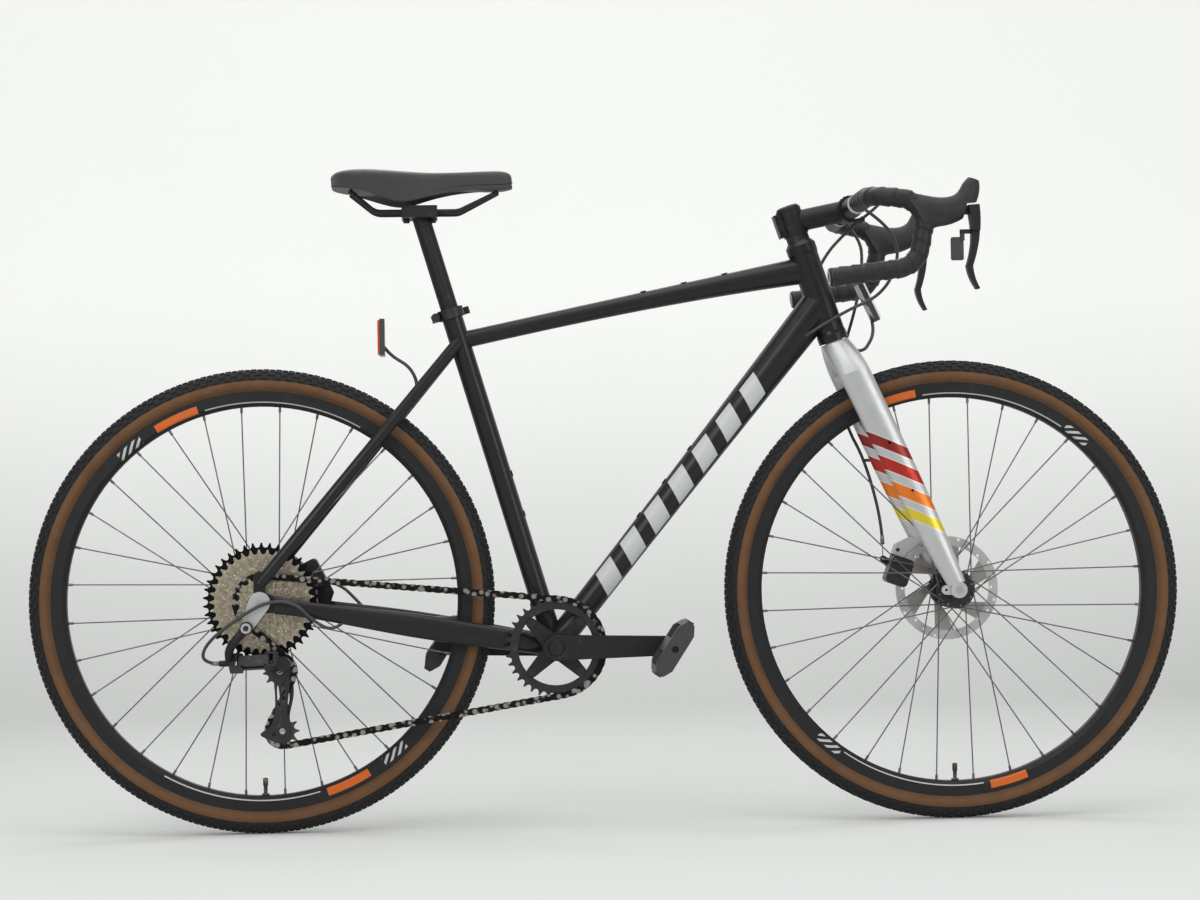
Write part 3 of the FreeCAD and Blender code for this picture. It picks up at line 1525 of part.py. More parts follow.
def build_fork():
    """Steerer with its crown, the two legs with their bosses, and the front axle."""
    sections = []
    layout = (
        (0, 0, 0, size.crown_radius, size.crown_radius),
        (size.crown_shoulder_drop, size.leg_top_ahead * CROWN_LEAD_SHARE, size.crown_shoulder_spread,
         size.leg_half_depth, size.crown_shoulder_width),
        (size.crown_drop, size.leg_top_ahead, size.leg_top_spread, size.leg_half_depth, size.leg_half_width),
    )
    for drop, ahead, spread, depth, width in layout:
        centre = crown_at - steer_up * drop + steer_ahead * ahead + RIGHT * spread
        sections.append(oval("crown_section", centre, steer_ahead, -steer_up, depth, width))
    shoulder = loft("right_shoulder", sections)
    steerer_top = stem_foot + steer_up * (size.stem_clamp_height - size.faceplate_gap)
    steerer_foot = crown_at - steer_up * size.crown_shoulder_drop
    steerer = rod("steerer", steerer_foot, steerer_top, size.steerer_radius)
    joined = fuse("crown_solid", shoulder, mirrored("left_shoulder", shoulder), steerer)
    bore = rod("steerer_bore", crown_at - steer_up * size.crown_drop, steerer_top, size.steerer_bore_radius)
    arch = wheel_radius + size.fork_tyre_gap
    side = size.fork_tyre_half_gap
    clearance = turned(
        "tyre_clearance",
        [(0, -side), (arch - side / 2, -side, 0.5), (arch - side / 2, side), (0, side)],
        front_axle_at,
        LEFT,
    )
    node("fork_steerer", cut("fork_steerer", joined, bore, clearance))

    outward = front_half + size.fork_dropout_thickness / 2
    top = crown_at - steer_up * size.crown_drop + steer_ahead * size.leg_top_ahead
    top = top + RIGHT * size.leg_top_spread
    bottom = front_axle_at + steer_up * size.leg_bottom_rise + RIGHT * outward
    outer = []
    inner = []
    for share, depth, width in LEG_SHARES:
        centre = top + (bottom - top) * share
        half_depth = size.leg_half_depth * depth
        half_width = size.leg_half_width * width
        outer.append(oval("leg_section", centre, steer_ahead, -steer_up, half_depth, half_width))
        inner.append(oval("leg_void_section", centre, steer_ahead, -steer_up, half_depth - size.leg_wall,
                          half_width - size.leg_wall))
    skin = loft("leg_skin", outer)
    void = loft("leg_void", inner[:-1])
    place = flat_place(front_axle_at.x, -front_half, front_axle_at.z)
    boss = padded("fork_dropout", (0, 0, size.fork_dropout_radius), size.fork_dropout_thickness, place)
    eyelet_place = flat_place(front_axle_at.x, -front_half - size.eyelet_thickness / 2, front_axle_at.z)
    eyelet = padded(
        "fork_eyelet",
        hull_outline(0, 0, size.eyelet_radius * EYELET_ROOT_SHARE, -size.eyelet_setback, 0,
                     size.eyelet_radius),
        size.eyelet_thickness,
        eyelet_place,
        holes=[(-size.eyelet_setback, 0, size.thread_radius)],
    )
    leg = fuse("leg_solid", cut("leg_tube", skin, void), boss, eyelet)
    axle_hole = rod("fork_axle_hole", front_axle_at, front_axle_at + RIGHT * (outward * 2), size.axle_radius)
    eyelet_at = front_axle_at - AHEAD * size.eyelet_setback
    eyelet_hole = rod("fork_eyelet_hole", eyelet_at, eyelet_at + RIGHT * (outward * 2), size.thread_radius)
    hub_room = rod("front_hub_room", front_axle_at, front_axle_at + RIGHT * front_half, size.flange_radius)
    leg = cut("right_leg_bored", leg, axle_hole, eyelet_hole, hub_room)
    along = (top - bottom).normalize()
    seats = []
    for step in range(2):
        inside = bottom + along * (size.fork_boss_rise - size.fork_boss_spacing * step)
        seats.append((surface_point(skin, inside, RIGHT), RIGHT))
    leg, bosses = with_bosses("right_leg", leg, seats)
    left_leg = mirrored("left_leg", leg)
    tab = brake_tab("front_tab", front_axle_at, size.front_rotor_offset, size.caliper_angle_front)
    tab = cut("front_brake_tab", tab, mirrored("left_leg_core", skin))
    left_bosses = [mirrored(f"left_leg_boss_{index}", boss) for index, boss in enumerate(bosses)]
    node("fork_legs", group("fork_legs_group", leg, left_leg, tab, *bosses, *left_bosses))

    end = front_half + size.fork_dropout_thickness
    axle = turned(
        "front_axle",
        [
            (0, -end),
            (size.axle_radius, -end),
            (size.axle_radius, end),
            (size.axle_head_radius, end),
            (size.axle_head_radius, end + size.axle_head_length),
            (0, end + size.axle_head_length),
        ],
        front_axle_at,
        LEFT,
    )
    node("front_axle", axle)


def build_stem():
    """Headset cover, spacer, top cap and the stem with its faceplate and bolts."""
    bore = size.steerer_radius
    cover_at = head_bottom + steer_up * (size.head_tube_length + size.moving_gap)
    cover = turned(
        "headset_cover",
        [(bore, 0), (size.head_collar_radius, 0), (size.cover_top_radius, size.cover_height),
         (bore, size.cover_height)],
        cover_at,
        steer_up,
    )
    spacer = ring("headset_spacer", cover_at + steer_up * size.cover_height, steer_up, bore,
                  size.spacer_radius, size.spacer_height)
    cap_at = stem_foot + steer_up * size.stem_clamp_height
    cap = turned(
        "stem_cap",
        [(0, 0), (size.spacer_radius, 0), (size.spacer_radius, size.top_cap_height * CAP_EDGE_SHARE),
         (size.spacer_radius * CAP_TOP_SHARE, size.top_cap_height), (0, size.top_cap_height)],
        cap_at,
        steer_up,
    )
    node("headset_spacers", group("headset_spacers_group", cover, spacer, cap))

    clamp = rod("steerer_clamp", stem_foot, cap_at, size.stem_clamp_radius)
    middle = stem_foot + steer_up * (size.stem_clamp_height / 2)
    tube = rod("stem_tube", middle, bar_at, size.stem_tube_radius)
    half = size.bar_clamp_width / 2
    shells = []
    for name, way in (("bar_clamp", -stem_ahead), ("faceplate", stem_ahead)):
        shell = doc.addObject("Part::Cylinder", name)
        bind(shell, "Radius", size.bar_clamp_radius)
        bind(shell, "Height", size.bar_clamp_width)
        shell.Angle = 180
        split = bar_at + way * (size.faceplate_gap / 2) - LEFT * half
        shell.Placement = plate_place(split, way.cross(LEFT) * -1, LEFT)
        shells.append(shell)
    ear_place = plate_place(middle - steer_ahead * size.stem_clamp_radius, steer_ahead, steer_up)
    ear = block("stem_ear", ear_place, size.stem_ear_depth, size.stem_ear_width, size.stem_ear_height)
    body = fuse("stem_body", clamp, tube, shells[0], ear)
    front_half_space = block(
        "stem_front_space",
        plate_place(bar_at + stem_ahead * ((size.bar_clamp_width - size.faceplate_gap) / 2), stem_ahead,
                    stem_up),
        size.bar_clamp_width, size.bar_clamp_width * 2, size.bar_clamp_width * 2,
    )
    steerer_hole = rod("stem_steerer_hole", stem_foot, cap_at, bore)
    bar_hole = rod("stem_bar_hole", bar_at - LEFT * half, bar_at + LEFT * half, size.bar_center_radius)
    drills = []
    bolts = []
    seat_out = size.bar_clamp_radius * CLAMP_BOLT_SHARE
    for across in (1, -1):
        for over in (1, -1):
            name = f"stem_bolt_{len(bolts)}"
            seat = (bar_at + stem_ahead * seat_out + LEFT * (size.stem_bolt_spread * across)
                    + stem_up * ((size.bar_center_radius + size.stem_bolt_radius) * over))
            drills.append(rod(name + "_drill", seat - stem_ahead * size.stem_bolt_length, seat,
                              size.stem_bolt_radius))
            drills.append(rod(name + "_recess", seat, seat + stem_ahead * size.bar_clamp_radius,
                              size.stem_bolt_head_radius))
            bolts.append(bolt(name, seat, stem_ahead, size.stem_bolt_radius, size.stem_bolt_length,
                              size.stem_bolt_head_radius, size.stem_bolt_head_length))
    ear_drills = []
    ear_back = middle - steer_ahead * (size.stem_clamp_radius + size.stem_ear_depth / 4)
    for over in (1, -1):
        name = f"stem_ear_bolt_{over + 1}"
        seat = ear_back + steer_up * (size.ear_bolt_spread * over) + RIGHT * (size.stem_ear_width / 2)
        drill_end = seat + LEFT * size.stem_ear_width
        ear_drills.append(rod(name + "_drill", drill_end, seat, size.stem_bolt_radius))
        bolts.append(bolt(name, seat, RIGHT, size.stem_bolt_radius, size.stem_ear_width,
                          size.stem_bolt_head_radius, size.stem_bolt_head_length))
    body = cut("stem_bored", body, front_half_space, steerer_hole, bar_hole, *drills, *ear_drills)
    faceplate = cut("faceplate_bored", shells[1], bar_hole, *drills)
    node("stem", group("stem_group", body, faceplate, *bolts))


# Handlebar, hoods and levers

HOOD_SHARES = (
    # ahead, up, half height, half width, and the lean of the section in degrees
    (0.00, 0.00, 0.310, 0.160, 30),
    (0.23, 0.03, 0.205, 0.150, 10),
    (0.44, 0.045, 0.180, 0.145, 5),
    (0.58, 0.11, 0.165, 0.135, 20),
    (0.69, 0.25, 0.140, 0.120, 50),
    (0.76, 0.45, 0.075, 0.070, 70),
)
LEVER_SHARES = (
    (0.06, 0.06),
    (0.20, 0.07, -0.12),
    (0.115, -0.70, 0.12),
    (0.20, -0.985, -0.6),
    (0.135, -0.965, -0.12),
    (0.035, -0.70, 0.12),
    (0.09, -0.10),
)
LEVER_HEAD_SHARES = ((0.06, 0.06), (0.20, 0.07, -0.05), (0.205, -0.26), (0.11, -0.26, 0.05))
LEVER_ROOM_SHARES = ((0.045, 0.10), (0.60, 0.10), (0.60, -0.50), (-0.10, -0.50), (-0.02, -0.20))


def bar_points(start):
    """Corners of the right half of the bar from a distance out along its top, and their bends."""
    out = size.bar_width / 2
    points = [
        bar_at + RIGHT * start,
        bar_at + RIGHT * out,
        bar_at + RIGHT * out + Vector(size.bar_reach, 0, -size.bar_ramp_drop),
        bar_at + RIGHT * out + Vector(size.bar_reach - size.bar_hook_back, 0, -size.bar_hook_drop),
        bar_at + RIGHT * out + Vector(-size.bar_end_back, 0, -size.bar_drop),
    ]
    return points, [size.bar_corner_bend, size.bar_hook_bend, size.bar_hook_bend]


def across_bike(point):
    """The matching point on the other side of the bike."""
    return Vector(point.x, -point.y, point.z)


def build_handlebar():
    """Drop bar with end plugs, its tape, and the pieces that cut the hoods."""
    half_points, half_bends = bar_points(0)
    points = half_points[:0:-1] + [across_bike(point) for point in half_points[1:]]
    bends = half_bends[::-1] + half_bends
    core = bent("bar_core", points, size.bar_radius, bends)
    bore = bent("bar_bore", points, size.bar_bore_radius, bends)
    half = size.bar_center_width / 2
    end = half + size.bar_taper
    center = turned(
        "bar_center",
        [
            (0, -end),
            (size.bar_radius, -end),
            (size.bar_center_radius, -half),
            (size.bar_center_radius, half),
            (size.bar_radius, end),
            (0, end),
        ],
        bar_at,
        LEFT,
    )
    outer = fuse("bar_outer", core, center)
    bar = cut("bar_tube", outer, bore)
    back = (half_points[-1] - half_points[-2]).normalize()
    plug = turned(
        "bar_plug",
        [(0, -size.plug_length), (size.bar_bore_radius, -size.plug_length), (size.bar_bore_radius, 0),
         (size.tape_radius, 0), (size.tape_radius * PLUG_END_SHARE, size.plug_length),
         (0, size.plug_length)],
        half_points[-1],
        back,
    )
    node("handlebar", group("handlebar_group", bar, plug, mirrored("left_bar_plug", plug)))
    tape_points, tape_bends = bar_points(size.tape_start)
    tape = bent("tape_outer", tape_points, size.tape_radius, tape_bends)
    return core, cut("right_tape_whole", tape, core)


def build_hoods(core, tape):
    """Rubber hoods cut round the bar, their lever pins, and the tape that stops at them."""
    start = bar_at + RIGHT * (size.bar_width / 2) + Vector(size.hood_start_ahead, 0, -size.hood_start_drop)
    sections = []
    for ahead, up, tall, wide, lean in HOOD_SHARES:
        turn = math.radians(lean)
        normal = Vector(math.cos(turn), 0, math.sin(turn))
        tall_way = Vector(-math.sin(turn), 0, math.cos(turn))
        centre = start + Vector(size.hood_length * ahead, 0, size.hood_length * up)
        sections.append(oval("hood_section", centre, tall_way, normal, size.hood_length * tall,
                             size.hood_length * wide))
    skin = loft("hood_skin", sections)
    pivot = lever_pivot()
    room = padded(
        "lever_room",
        [(size.lever_length * x, size.lever_length * z) for x, z in LEVER_ROOM_SHARES],
        size.hood_length,
        flat_place(pivot.x, pivot.y + size.hood_length / 2, pivot.z),
    )
    slot_width = size.lever_ear_thickness + 2 * size.moving_gap
    slot = padded(
        "lever_slot",
        hull_outline(0, 0, size.lever_ear_radius + size.moving_gap * 2,
                     size.lever_length * LEVER_ROOM_SHARE, 0,
                     size.lever_ear_radius * LEVER_ROOM_END_SHARE),
        slot_width,
        flat_place(pivot.x, pivot.y + slot_width / 2, pivot.z),
    )
    pin_half = size.lever_head_width / 2
    pin = rod("right_lever_pin", pivot - LEFT * pin_half, pivot + LEFT * pin_half, size.lever_pivot_radius)
    hood = cut("right_hood", skin, core, room, slot, pin)
    node(
        "lever_hoods",
        group("lever_hoods_group", hood, mirrored("left_hood", hood), pin, mirrored("left_lever_pin", pin)),
    )
    right_tape = cut("right_tape", tape, skin)
    node("bar_tape", group("bar_tape_group", right_tape, mirrored("left_tape", right_tape)))


def lever_pivot():
    """Pivot of the right brake lever."""
    return bar_at + RIGHT * (size.bar_width / 2) + Vector(size.lever_pivot_ahead, 0, -size.lever_pivot_drop)


def build_levers():
    """Brake levers on both sides and the shift paddle behind the right one."""
    pivot = lever_pivot()

    def plate(name, shares, width):
        outline = [(size.lever_length * x, size.lever_length * z, *bulge) for x, z, *bulge in shares]
        return padded(name, outline, width, flat_place(pivot.x, pivot.y + width / 2, pivot.z))

    blade = plate("lever_blade", LEVER_SHARES, size.lever_blade_width)
    head = plate("lever_head", LEVER_HEAD_SHARES, size.lever_head_width)
    ear = padded(
        "lever_ear",
        hull_outline(0, 0, size.lever_ear_radius, size.lever_length * LEVER_ROOT_SHARE, 0,
                     size.lever_ear_radius),
        size.lever_ear_thickness,
        flat_place(pivot.x, pivot.y + size.lever_ear_thickness / 2, pivot.z),
    )
    solid = fuse("lever_solid", blade, head, ear)
    hole = rod("lever_hole", pivot - LEFT * size.lever_head_width, pivot + LEFT * size.lever_head_width,
               size.lever_pivot_radius + size.running_fit)
    lever = cut("plain_lever", solid, hole)
    node("left_brake_lever", mirrored("left_brake_lever", lever))

    pin_top = pivot + Vector(-size.paddle_setback, 0, -size.paddle_drop)
    lug = padded(
        "paddle_lug",
        hull_outline(0, 0, size.paddle_sleeve_radius, size.lever_length * PADDLE_ROOT_SHARE, 0,
                     size.paddle_sleeve_radius),
        size.lever_thickness,
        plate_place(pin_top, AHEAD, UP),
    )
    pin = rod("paddle_pin", pin_top + UP * size.moving_gap, pin_top - UP * size.paddle_sleeve_length,
              size.paddle_pin_radius)
    node("right_brake_lever", fuse("right_brake_lever", lever, lug, pin))

    sleeve_top = pin_top - UP * size.moving_gap
    plate_top = -size.paddle_sleeve_length / 2
    leaf = padded(
        "paddle_leaf",
        box_outline(-size.paddle_width, plate_top - size.paddle_height, size.paddle_sleeve_radius / 2,
                    plate_top, size.paddle_thickness),
        size.paddle_thickness,
        flat_place(pin_top.x, pin_top.y + size.paddle_thickness / 2, pin_top.z),
    )
    sleeve = rod("paddle_sleeve", sleeve_top, pin_top - UP * size.paddle_sleeve_length,
                 size.paddle_sleeve_radius)
    hole = rod("paddle_hole", pin_top + UP * size.moving_gap,
               pin_top - UP * (size.paddle_sleeve_length + size.moving_gap),
               size.paddle_pin_radius + size.running_fit)
    node("shift_paddle", cut("shift_paddle", fuse("paddle_solid", leaf, sleeve), hole))


# Seat clamp, post and saddle

SADDLE_SHARES = (
    # along from the rear, half width, drop of crown, edge, base and skirt, half width of the skirt
    (0.00, 0.45, 0.40, 0.55, 0.80, 0.88, 0.86),
    (0.05, 0.82, 0.08, 0.42, 0.92, 1.06, 0.88),
    (0.20, 1.00, 0.00, 0.45, 1.05, 1.46, 0.86),
    (0.38, 0.80, 0.10, 0.50, 1.05, 2.05, 0.76),
    (0.55, 0.46, 0.16, 0.48, 1.00, 1.60, 0.86),
    (0.78, 0.30, 0.08, 0.40, 1.00, 1.22, 0.90),
    (0.94, 0.26, 0.05, 0.38, 1.02, 1.20, 0.90),
    (1.00, 0.14, 0.35, 0.55, 0.90, 1.06, 0.86),
)
SKIRT_INSIDE_SHARE = 0.92
SHELL_SHARES = (0.86, 0.94)
RAIL_SHARES = (
    # along the saddle, out from the middle, and up from the clamp towards the shell
    (0.10, 1.35, 0.95),
    (0.24, 1.00, 0.00),
    (0.70, 1.00, 0.00),
    (0.92, 0.36, 0.90),
)


def build_seat_clamp():
    """Collar with its skewer and nut, and the quick-release lever."""
    top = bracket_at + seat_up * size.seat_tube_length
    foot = top - seat_up * size.collar_height
    middle = top - seat_up * (size.collar_height / 2)
    collar = rod("collar_ring", foot, top, size.collar_radius)
    skewer_at = middle - seat_ahead * size.skewer_setback
    ear_half = size.clamp_ear_width + size.clamp_slot / 2
    ears = rod("collar_ears", skewer_at - LEFT * ear_half, skewer_at + LEFT * ear_half,
               size.clamp_ear_radius)
    neck_at = middle - seat_ahead * (size.skewer_setback * NECK_PLACE_SHARE)
    neck_place = plate_place(neck_at, seat_ahead, seat_up)
    neck = block("collar_neck", neck_place, size.skewer_setback * NECK_LENGTH_SHARE, ear_half * 2,
                 size.clamp_ear_radius * 2)
    slot = block("collar_slot", plate_place(middle - seat_ahead * size.skewer_setback, seat_ahead, seat_up),
                 size.skewer_setback * SLOT_LENGTH_SHARE, size.clamp_slot, size.collar_height * 2)
    hole = rod("collar_hole", foot, top, size.seat_tube_radius)
    skewer_hole = rod("skewer_hole", skewer_at - LEFT * ear_half, skewer_at + LEFT * ear_half,
                      size.skewer_radius)
    body = cut("seat_collar", fuse("collar_solid", collar, ears, neck), hole, slot, skewer_hole)

    cam_at = skewer_at + LEFT * (ear_half + size.cam_radius + size.moving_gap)
    half = size.lever_arm_width / 2
    skewer = fuse(
        "seat_skewer",
        rod("skewer_rod", skewer_at + RIGHT * (ear_half + size.nut_length / 2), cam_at, size.skewer_radius),
        rod("cam_pin", cam_at - seat_up * half, cam_at + seat_up * half, size.cam_pin_radius),
    )
    nut_blank = rod("nut_blank", skewer_at + RIGHT * ear_half,
                    skewer_at + RIGHT * (ear_half + size.nut_length), size.nut_radius)
    nut = cut("seat_nut", nut_blank, skewer)
    node("seat_clamp", group("seat_clamp_group", body, skewer, nut))

    place = plate_place(cam_at - seat_up * half, seat_ahead, seat_up)
    bend_x = size.lever_arm_length * LEVER_BEND_SHARE
    bend_y = size.cam_radius * LEVER_SWEEP_SHARE
    cam = padded("lever_cam", (0, 0, size.cam_radius), size.lever_arm_width, place)
    root = padded(
        "lever_root",
        hull_outline(0, 0, size.lever_arm_thickness / 2, bend_x, bend_y, size.lever_arm_thickness / 2),
        size.lever_arm_width, place,
    )
    arm = padded(
        "lever_arm",
        hull_outline(bend_x, bend_y, size.lever_arm_thickness / 2, size.lever_arm_length,
                     bend_y * LEVER_TIP_SWEEP_SHARE, size.lever_arm_thickness * LEVER_TIP_SHARE),
        size.lever_arm_width, place,
    )
    room = rod("cam_room", cam_at - seat_up * (size.skewer_radius + size.moving_gap),
               cam_at + seat_up * (size.skewer_radius + size.moving_gap), size.cam_radius + size.moving_gap)
    pin_reach = seat_up * size.lever_arm_width
    pin_hole = rod("cam_hole", cam_at - pin_reach, cam_at + pin_reach,
                   size.cam_pin_radius + size.running_fit)
    lever = fuse("seat_lever_solid", cam, root, arm)
    node("seat_clamp_lever", cut("seat_clamp_lever", lever, room, pin_hole))


def build_post():
    """Seatpost with its two-bolt rail clamp, and the rails."""
    low = bracket_at + seat_up * (size.seat_tube_length - size.post_insertion)
    clamp_at = bracket_at + seat_up * size.post_head_height
    lower_at = clamp_at - UP * (size.rail_clamp_height / 2)
    upper_at = clamp_at + UP * (size.rail_clamp_height / 2)
    post = rod("post_rod", low, clamp_at, size.post_radius)
    void = rod("post_void", low, clamp_at - seat_up * size.rail_clamp_height, size.post_bore_radius)
    level = Rotation()
    lower = block("rail_cradle", Placement(lower_at, level), size.rail_clamp_length, size.rail_clamp_width,
                  size.rail_clamp_height)
    upper = block("rail_cap", Placement(upper_at, level), size.rail_clamp_length, size.rail_clamp_width,
                  size.rail_clamp_height)

    rise = size.saddle_top - size.saddle_height - size.shell_thickness - clamp_at.z
    points = [
        Vector(size.saddle_rear + size.saddle_length * along, -size.rail_half_spacing * out,
               clamp_at.z + rise * up)
        for along, out, up in RAIL_SHARES
    ]
    rail = bent("right_rail", points, size.rail_radius, [size.rail_bend] * 2)
    left_rail = mirrored("left_rail", rail)
    node("saddle_rails", group("saddle_rails_group", rail, left_rail))

    drills = []
    bolts = []
    for index, way in enumerate((1, -1)):
        seat = clamp_at + AHEAD * (size.rail_bolt_spread * way) - UP * size.rail_clamp_height
        length = size.rail_clamp_height * 2
        drills.append(rod(f"rail_drill_{index}", seat, seat + UP * length, size.rail_bolt_radius))
        bolts.append(bolt(f"rail_bolt_{index}", seat, -UP, size.rail_bolt_radius, length,
                          size.rail_bolt_head_radius, size.rail_bolt_head_length))
    lower_body = fuse("post_solid", cut("post_tube", post, void), lower)
    over = block("post_over", Placement(upper_at, level), size.rail_clamp_length, size.rail_clamp_width,
                 size.rail_clamp_height)
    lower_body = cut("post_bored", lower_body, over, rail, left_rail, *drills)
    cap = cut("rail_cap_bored", upper, rail, left_rail, *drills)
    node("seatpost", group("seatpost_group", lower_body, cap, *bolts))


def build_saddle():
    """Saddle base and its padded cover, drawn through cross sections from tail to nose."""
    half = size.saddle_width / 2
    cover = []
    base = []
    for along, wide, crown, edge, floor, skirt, skirt_wide in SADDLE_SHARES:
        x = size.saddle_rear + size.saddle_length * along
        place = plate_place(Vector(x, 0, size.saddle_top), LEFT, AHEAD)
        width = half * wide
        outside = width * skirt_wide
        inside = outside * SKIRT_INSIDE_SHARE
        top = -size.saddle_height * crown
        side = -size.saddle_height * edge
        ceiling = -size.saddle_height * floor
        low = -size.saddle_height * skirt
        seat = ceiling - size.running_fit
        under = seat - size.shell_thickness
        under_half, seat_half = (inside * share for share in SHELL_SHARES)
        outlines = (
            (cover, [(inside, ceiling), (inside, low), (outside, low), (width, side, (top - side) / width),
                     (-width, side), (-outside, low), (-inside, low), (-inside, ceiling)]),
            (base, [(under_half, under), (seat_half, seat), (-seat_half, seat), (-under_half, under)]),
        )
        for sections, outline in outlines:
            section = ready("saddle_section", outline_wire(outline))
            section.Placement = place
            sections.append(section)
    rails = NODES["saddle_rails"]
    node("saddle_cover", cut("saddle_cover", loft("cover_skin", cover), rails))
    shell = loft("shell_skin", base)
    node("saddle_shell", cut("saddle_shell", shell, rails))


# Drivetrain


class Wrap:
    """A toothed wheel that the chain goes round, seen from the right side."""

    def __init__(self, centre, teeth, clockwise):
        self.centre = centre
        self.teeth = int(teeth)
        self.sign = 1 if clockwise else -1
        self.radius = size.chain_pitch / (2 * math.sin(math.pi / self.teeth))
        self.phase = 0.0

    def point(self, heading):
        """Where the chain lies on the pitch circle when it runs along a heading."""
        reach = self.sign * self.radius
        return self.centre + Vector(-math.sin(heading) * reach, 0, math.cos(heading) * reach)


def tangent_heading(first, second):
    """Heading of the straight chain run from one wheel to the next, and its length."""
    gap = second.centre - first.centre
    offset = second.sign * second.radius - first.sign * first.radius
    run = math.sqrt(gap.x ** 2 + gap.z ** 2 - offset ** 2)
    return math.atan2(gap.z, gap.x) + math.atan2(offset, run), run


def chain_runs(wraps):
    """For each wheel: heading in, turn on the wheel, heading out and the straight run after it."""
    straights = [tangent_heading(wheel, following) for wheel, following in zip(wraps, wraps[1:] + wraps[:1])]
    runs = []
    for index, wheel in enumerate(wraps):
        heading_in = straights[index - 1][0]
        heading_out, run = straights[index]
        turn = (wheel.sign * (heading_in - heading_out)) % (2 * math.pi)
        runs.append((wheel, heading_in, turn, run))
    return runs


def chain_length(wraps):
    """Length of the closed chain, counting each tooth of a wrap as one pitch."""
    total = 0.0
    for wheel, _, turn, run in chain_runs(wraps):
        total += turn / (2 * math.pi) * wheel.teeth * size.chain_pitch + run
    return total


def cage_points(swing):
    """Guide and tension pulley centres with the cage swung by an angle in degrees."""
    pivot = rear_axle_at + Vector(size.cage_pivot_ahead, 0, -size.cage_pivot_drop)
    lean = math.radians(size.cage_lean)
    guide = Vector(-size.guide_setback, 0, -size.guide_drop)
    tension = guide + Vector(-math.sin(lean), 0, -math.cos(lean)) * size.cage_length
    turn = Rotation(LEFT, swing)
    return pivot, pivot + turn.multVec(guide), pivot + turn.multVec(tension)


def chain_wraps(swing):
    """The four wheels in the order in which the chain meets them."""
    _, guide, tension = cage_points(swing)
    return [
        Wrap(bracket_at, size.ring_teeth, True),
        Wrap(tension, size.pulley_teeth, True),
        Wrap(guide, size.pulley_teeth, False),
        Wrap(rear_axle_at, COG_TEETH[int(size.chain_cog)], True),
    ]


def settled_swing():
    """Cage swing at which the chain closes on an even number of links."""
    target = round(chain_length(chain_wraps(0)) / size.chain_pitch / 2) * 2
    low, high = -SWING_SEARCH, SWING_SEARCH
    rising = chain_length(chain_wraps(high)) > chain_length(chain_wraps(low))
    for _ in range(SWING_HALVINGS):
        middle = (low + high) / 2
        longer = chain_length(chain_wraps(middle)) > target * size.chain_pitch
        if longer == rising:
            high = middle
        else:
            low = middle
    return (low + high) / 2, target


def chain_pins(wraps, count):
    """Pin centres along the chain, and the tooth phase of each wheel that fits them."""
    pins = []
    travel = 0.0
    pitch = float(size.chain_pitch)
    for wheel, heading_in, turn, run in chain_runs(wraps):
        arc = turn / (2 * math.pi) * wheel.teeth * pitch
        seated = False
        while len(pins) < count and len(pins) * pitch <= travel + arc + NEARLY_NOUGHT:
            share = (len(pins) * pitch - travel) / arc
            place = wheel.point(heading_in - wheel.sign * turn * share)
            pins.append(place)
            if not seated:
                outward = place - wheel.centre
                wheel.phase = math.degrees(math.atan2(outward.z, outward.x))
                seated = True
        leave = wheel.point(heading_in - wheel.sign * turn)
        heading = heading_in - wheel.sign * turn
        travel += arc
        while len(pins) < count and len(pins) * pitch < travel + run - NEARLY_NOUGHT:
            ahead = len(pins) * pitch - travel
            pins.append(leave + Vector(math.cos(heading), 0, math.sin(heading)) * ahead)
        travel += run
    return pins


def toothed_wire(teeth, phase):
    """Outline of a chain wheel: a round seat for each roller and a narrow tip between seats."""
    teeth = int(teeth)
    radius = size.chain_pitch / (2 * math.sin(math.pi / teeth))
    tip = size.chain_pitch / 2 * (TOOTH_TIP_SHARE + 1 / math.tan(math.pi / teeth))
    seat = float(size.roller_radius + size.tooth_gap_fit)
    half_tip = math.degrees(float(size.tooth_tip_width) / 2 / tip)
    step = 360 / teeth
    edges = []
    for index in range(teeth):
        turn = phase + index * step

        def seat_point(swing):
            centre = on_circle(radius, turn)
            edge = on_circle(seat, turn + 180 + swing)
            return Vector(centre[0] + edge[0], centre[1] + edge[1], 0)

        start, middle, finish = seat_point(SEAT_ANGLE), seat_point(0), seat_point(-SEAT_ANGLE)
        rise = Vector(*on_circle(tip, turn + step / 2 - half_tip), 0)
        fall = Vector(*on_circle(tip, turn + step / 2 + half_tip), 0)
        centre = on_circle(radius, turn + step)
        edge = on_circle(seat, turn + step + 180 + SEAT_ANGLE)
        following = Vector(centre[0] + edge[0], centre[1] + edge[1], 0)
        edges.append(Part.Arc(start, middle, finish).toShape())
        edges.append(Part.LineSegment(finish, rise).toShape())
        edges.append(Part.LineSegment(rise, fall).toShape())
        edges.append(Part.LineSegment(fall, following).toShape())
    return Part.Wire(edges)


def toothed(name, teeth, phase, thickness, centre, voids):
    """Chain wheel extruded about its own middle plane, with inner outlines left open."""
    face = Part.makeFace([toothed_wire(teeth, phase), *voids], "Part::FaceMakerBullseye")
    flat = ready(name + "_face", face)
    flat.Placement = flat_place(centre.x, centre.y + thickness / 2, centre.z)
    wheel = doc.addObject("Part::Extrusion", name)
    wheel.Base = flat
    wheel.DirMode = "Custom"
    wheel.Dir = RIGHT
    bind(wheel, "LengthFwd", thickness)
    wheel.Solid = True
    wheel.recompute(True)
    return wheel


def circle_wire(radius, x=0, y=0):
    """Round hole outline."""
    return Part.Wire(Part.Circle(Vector(x, y, 0), UP, float(radius)).toShape())


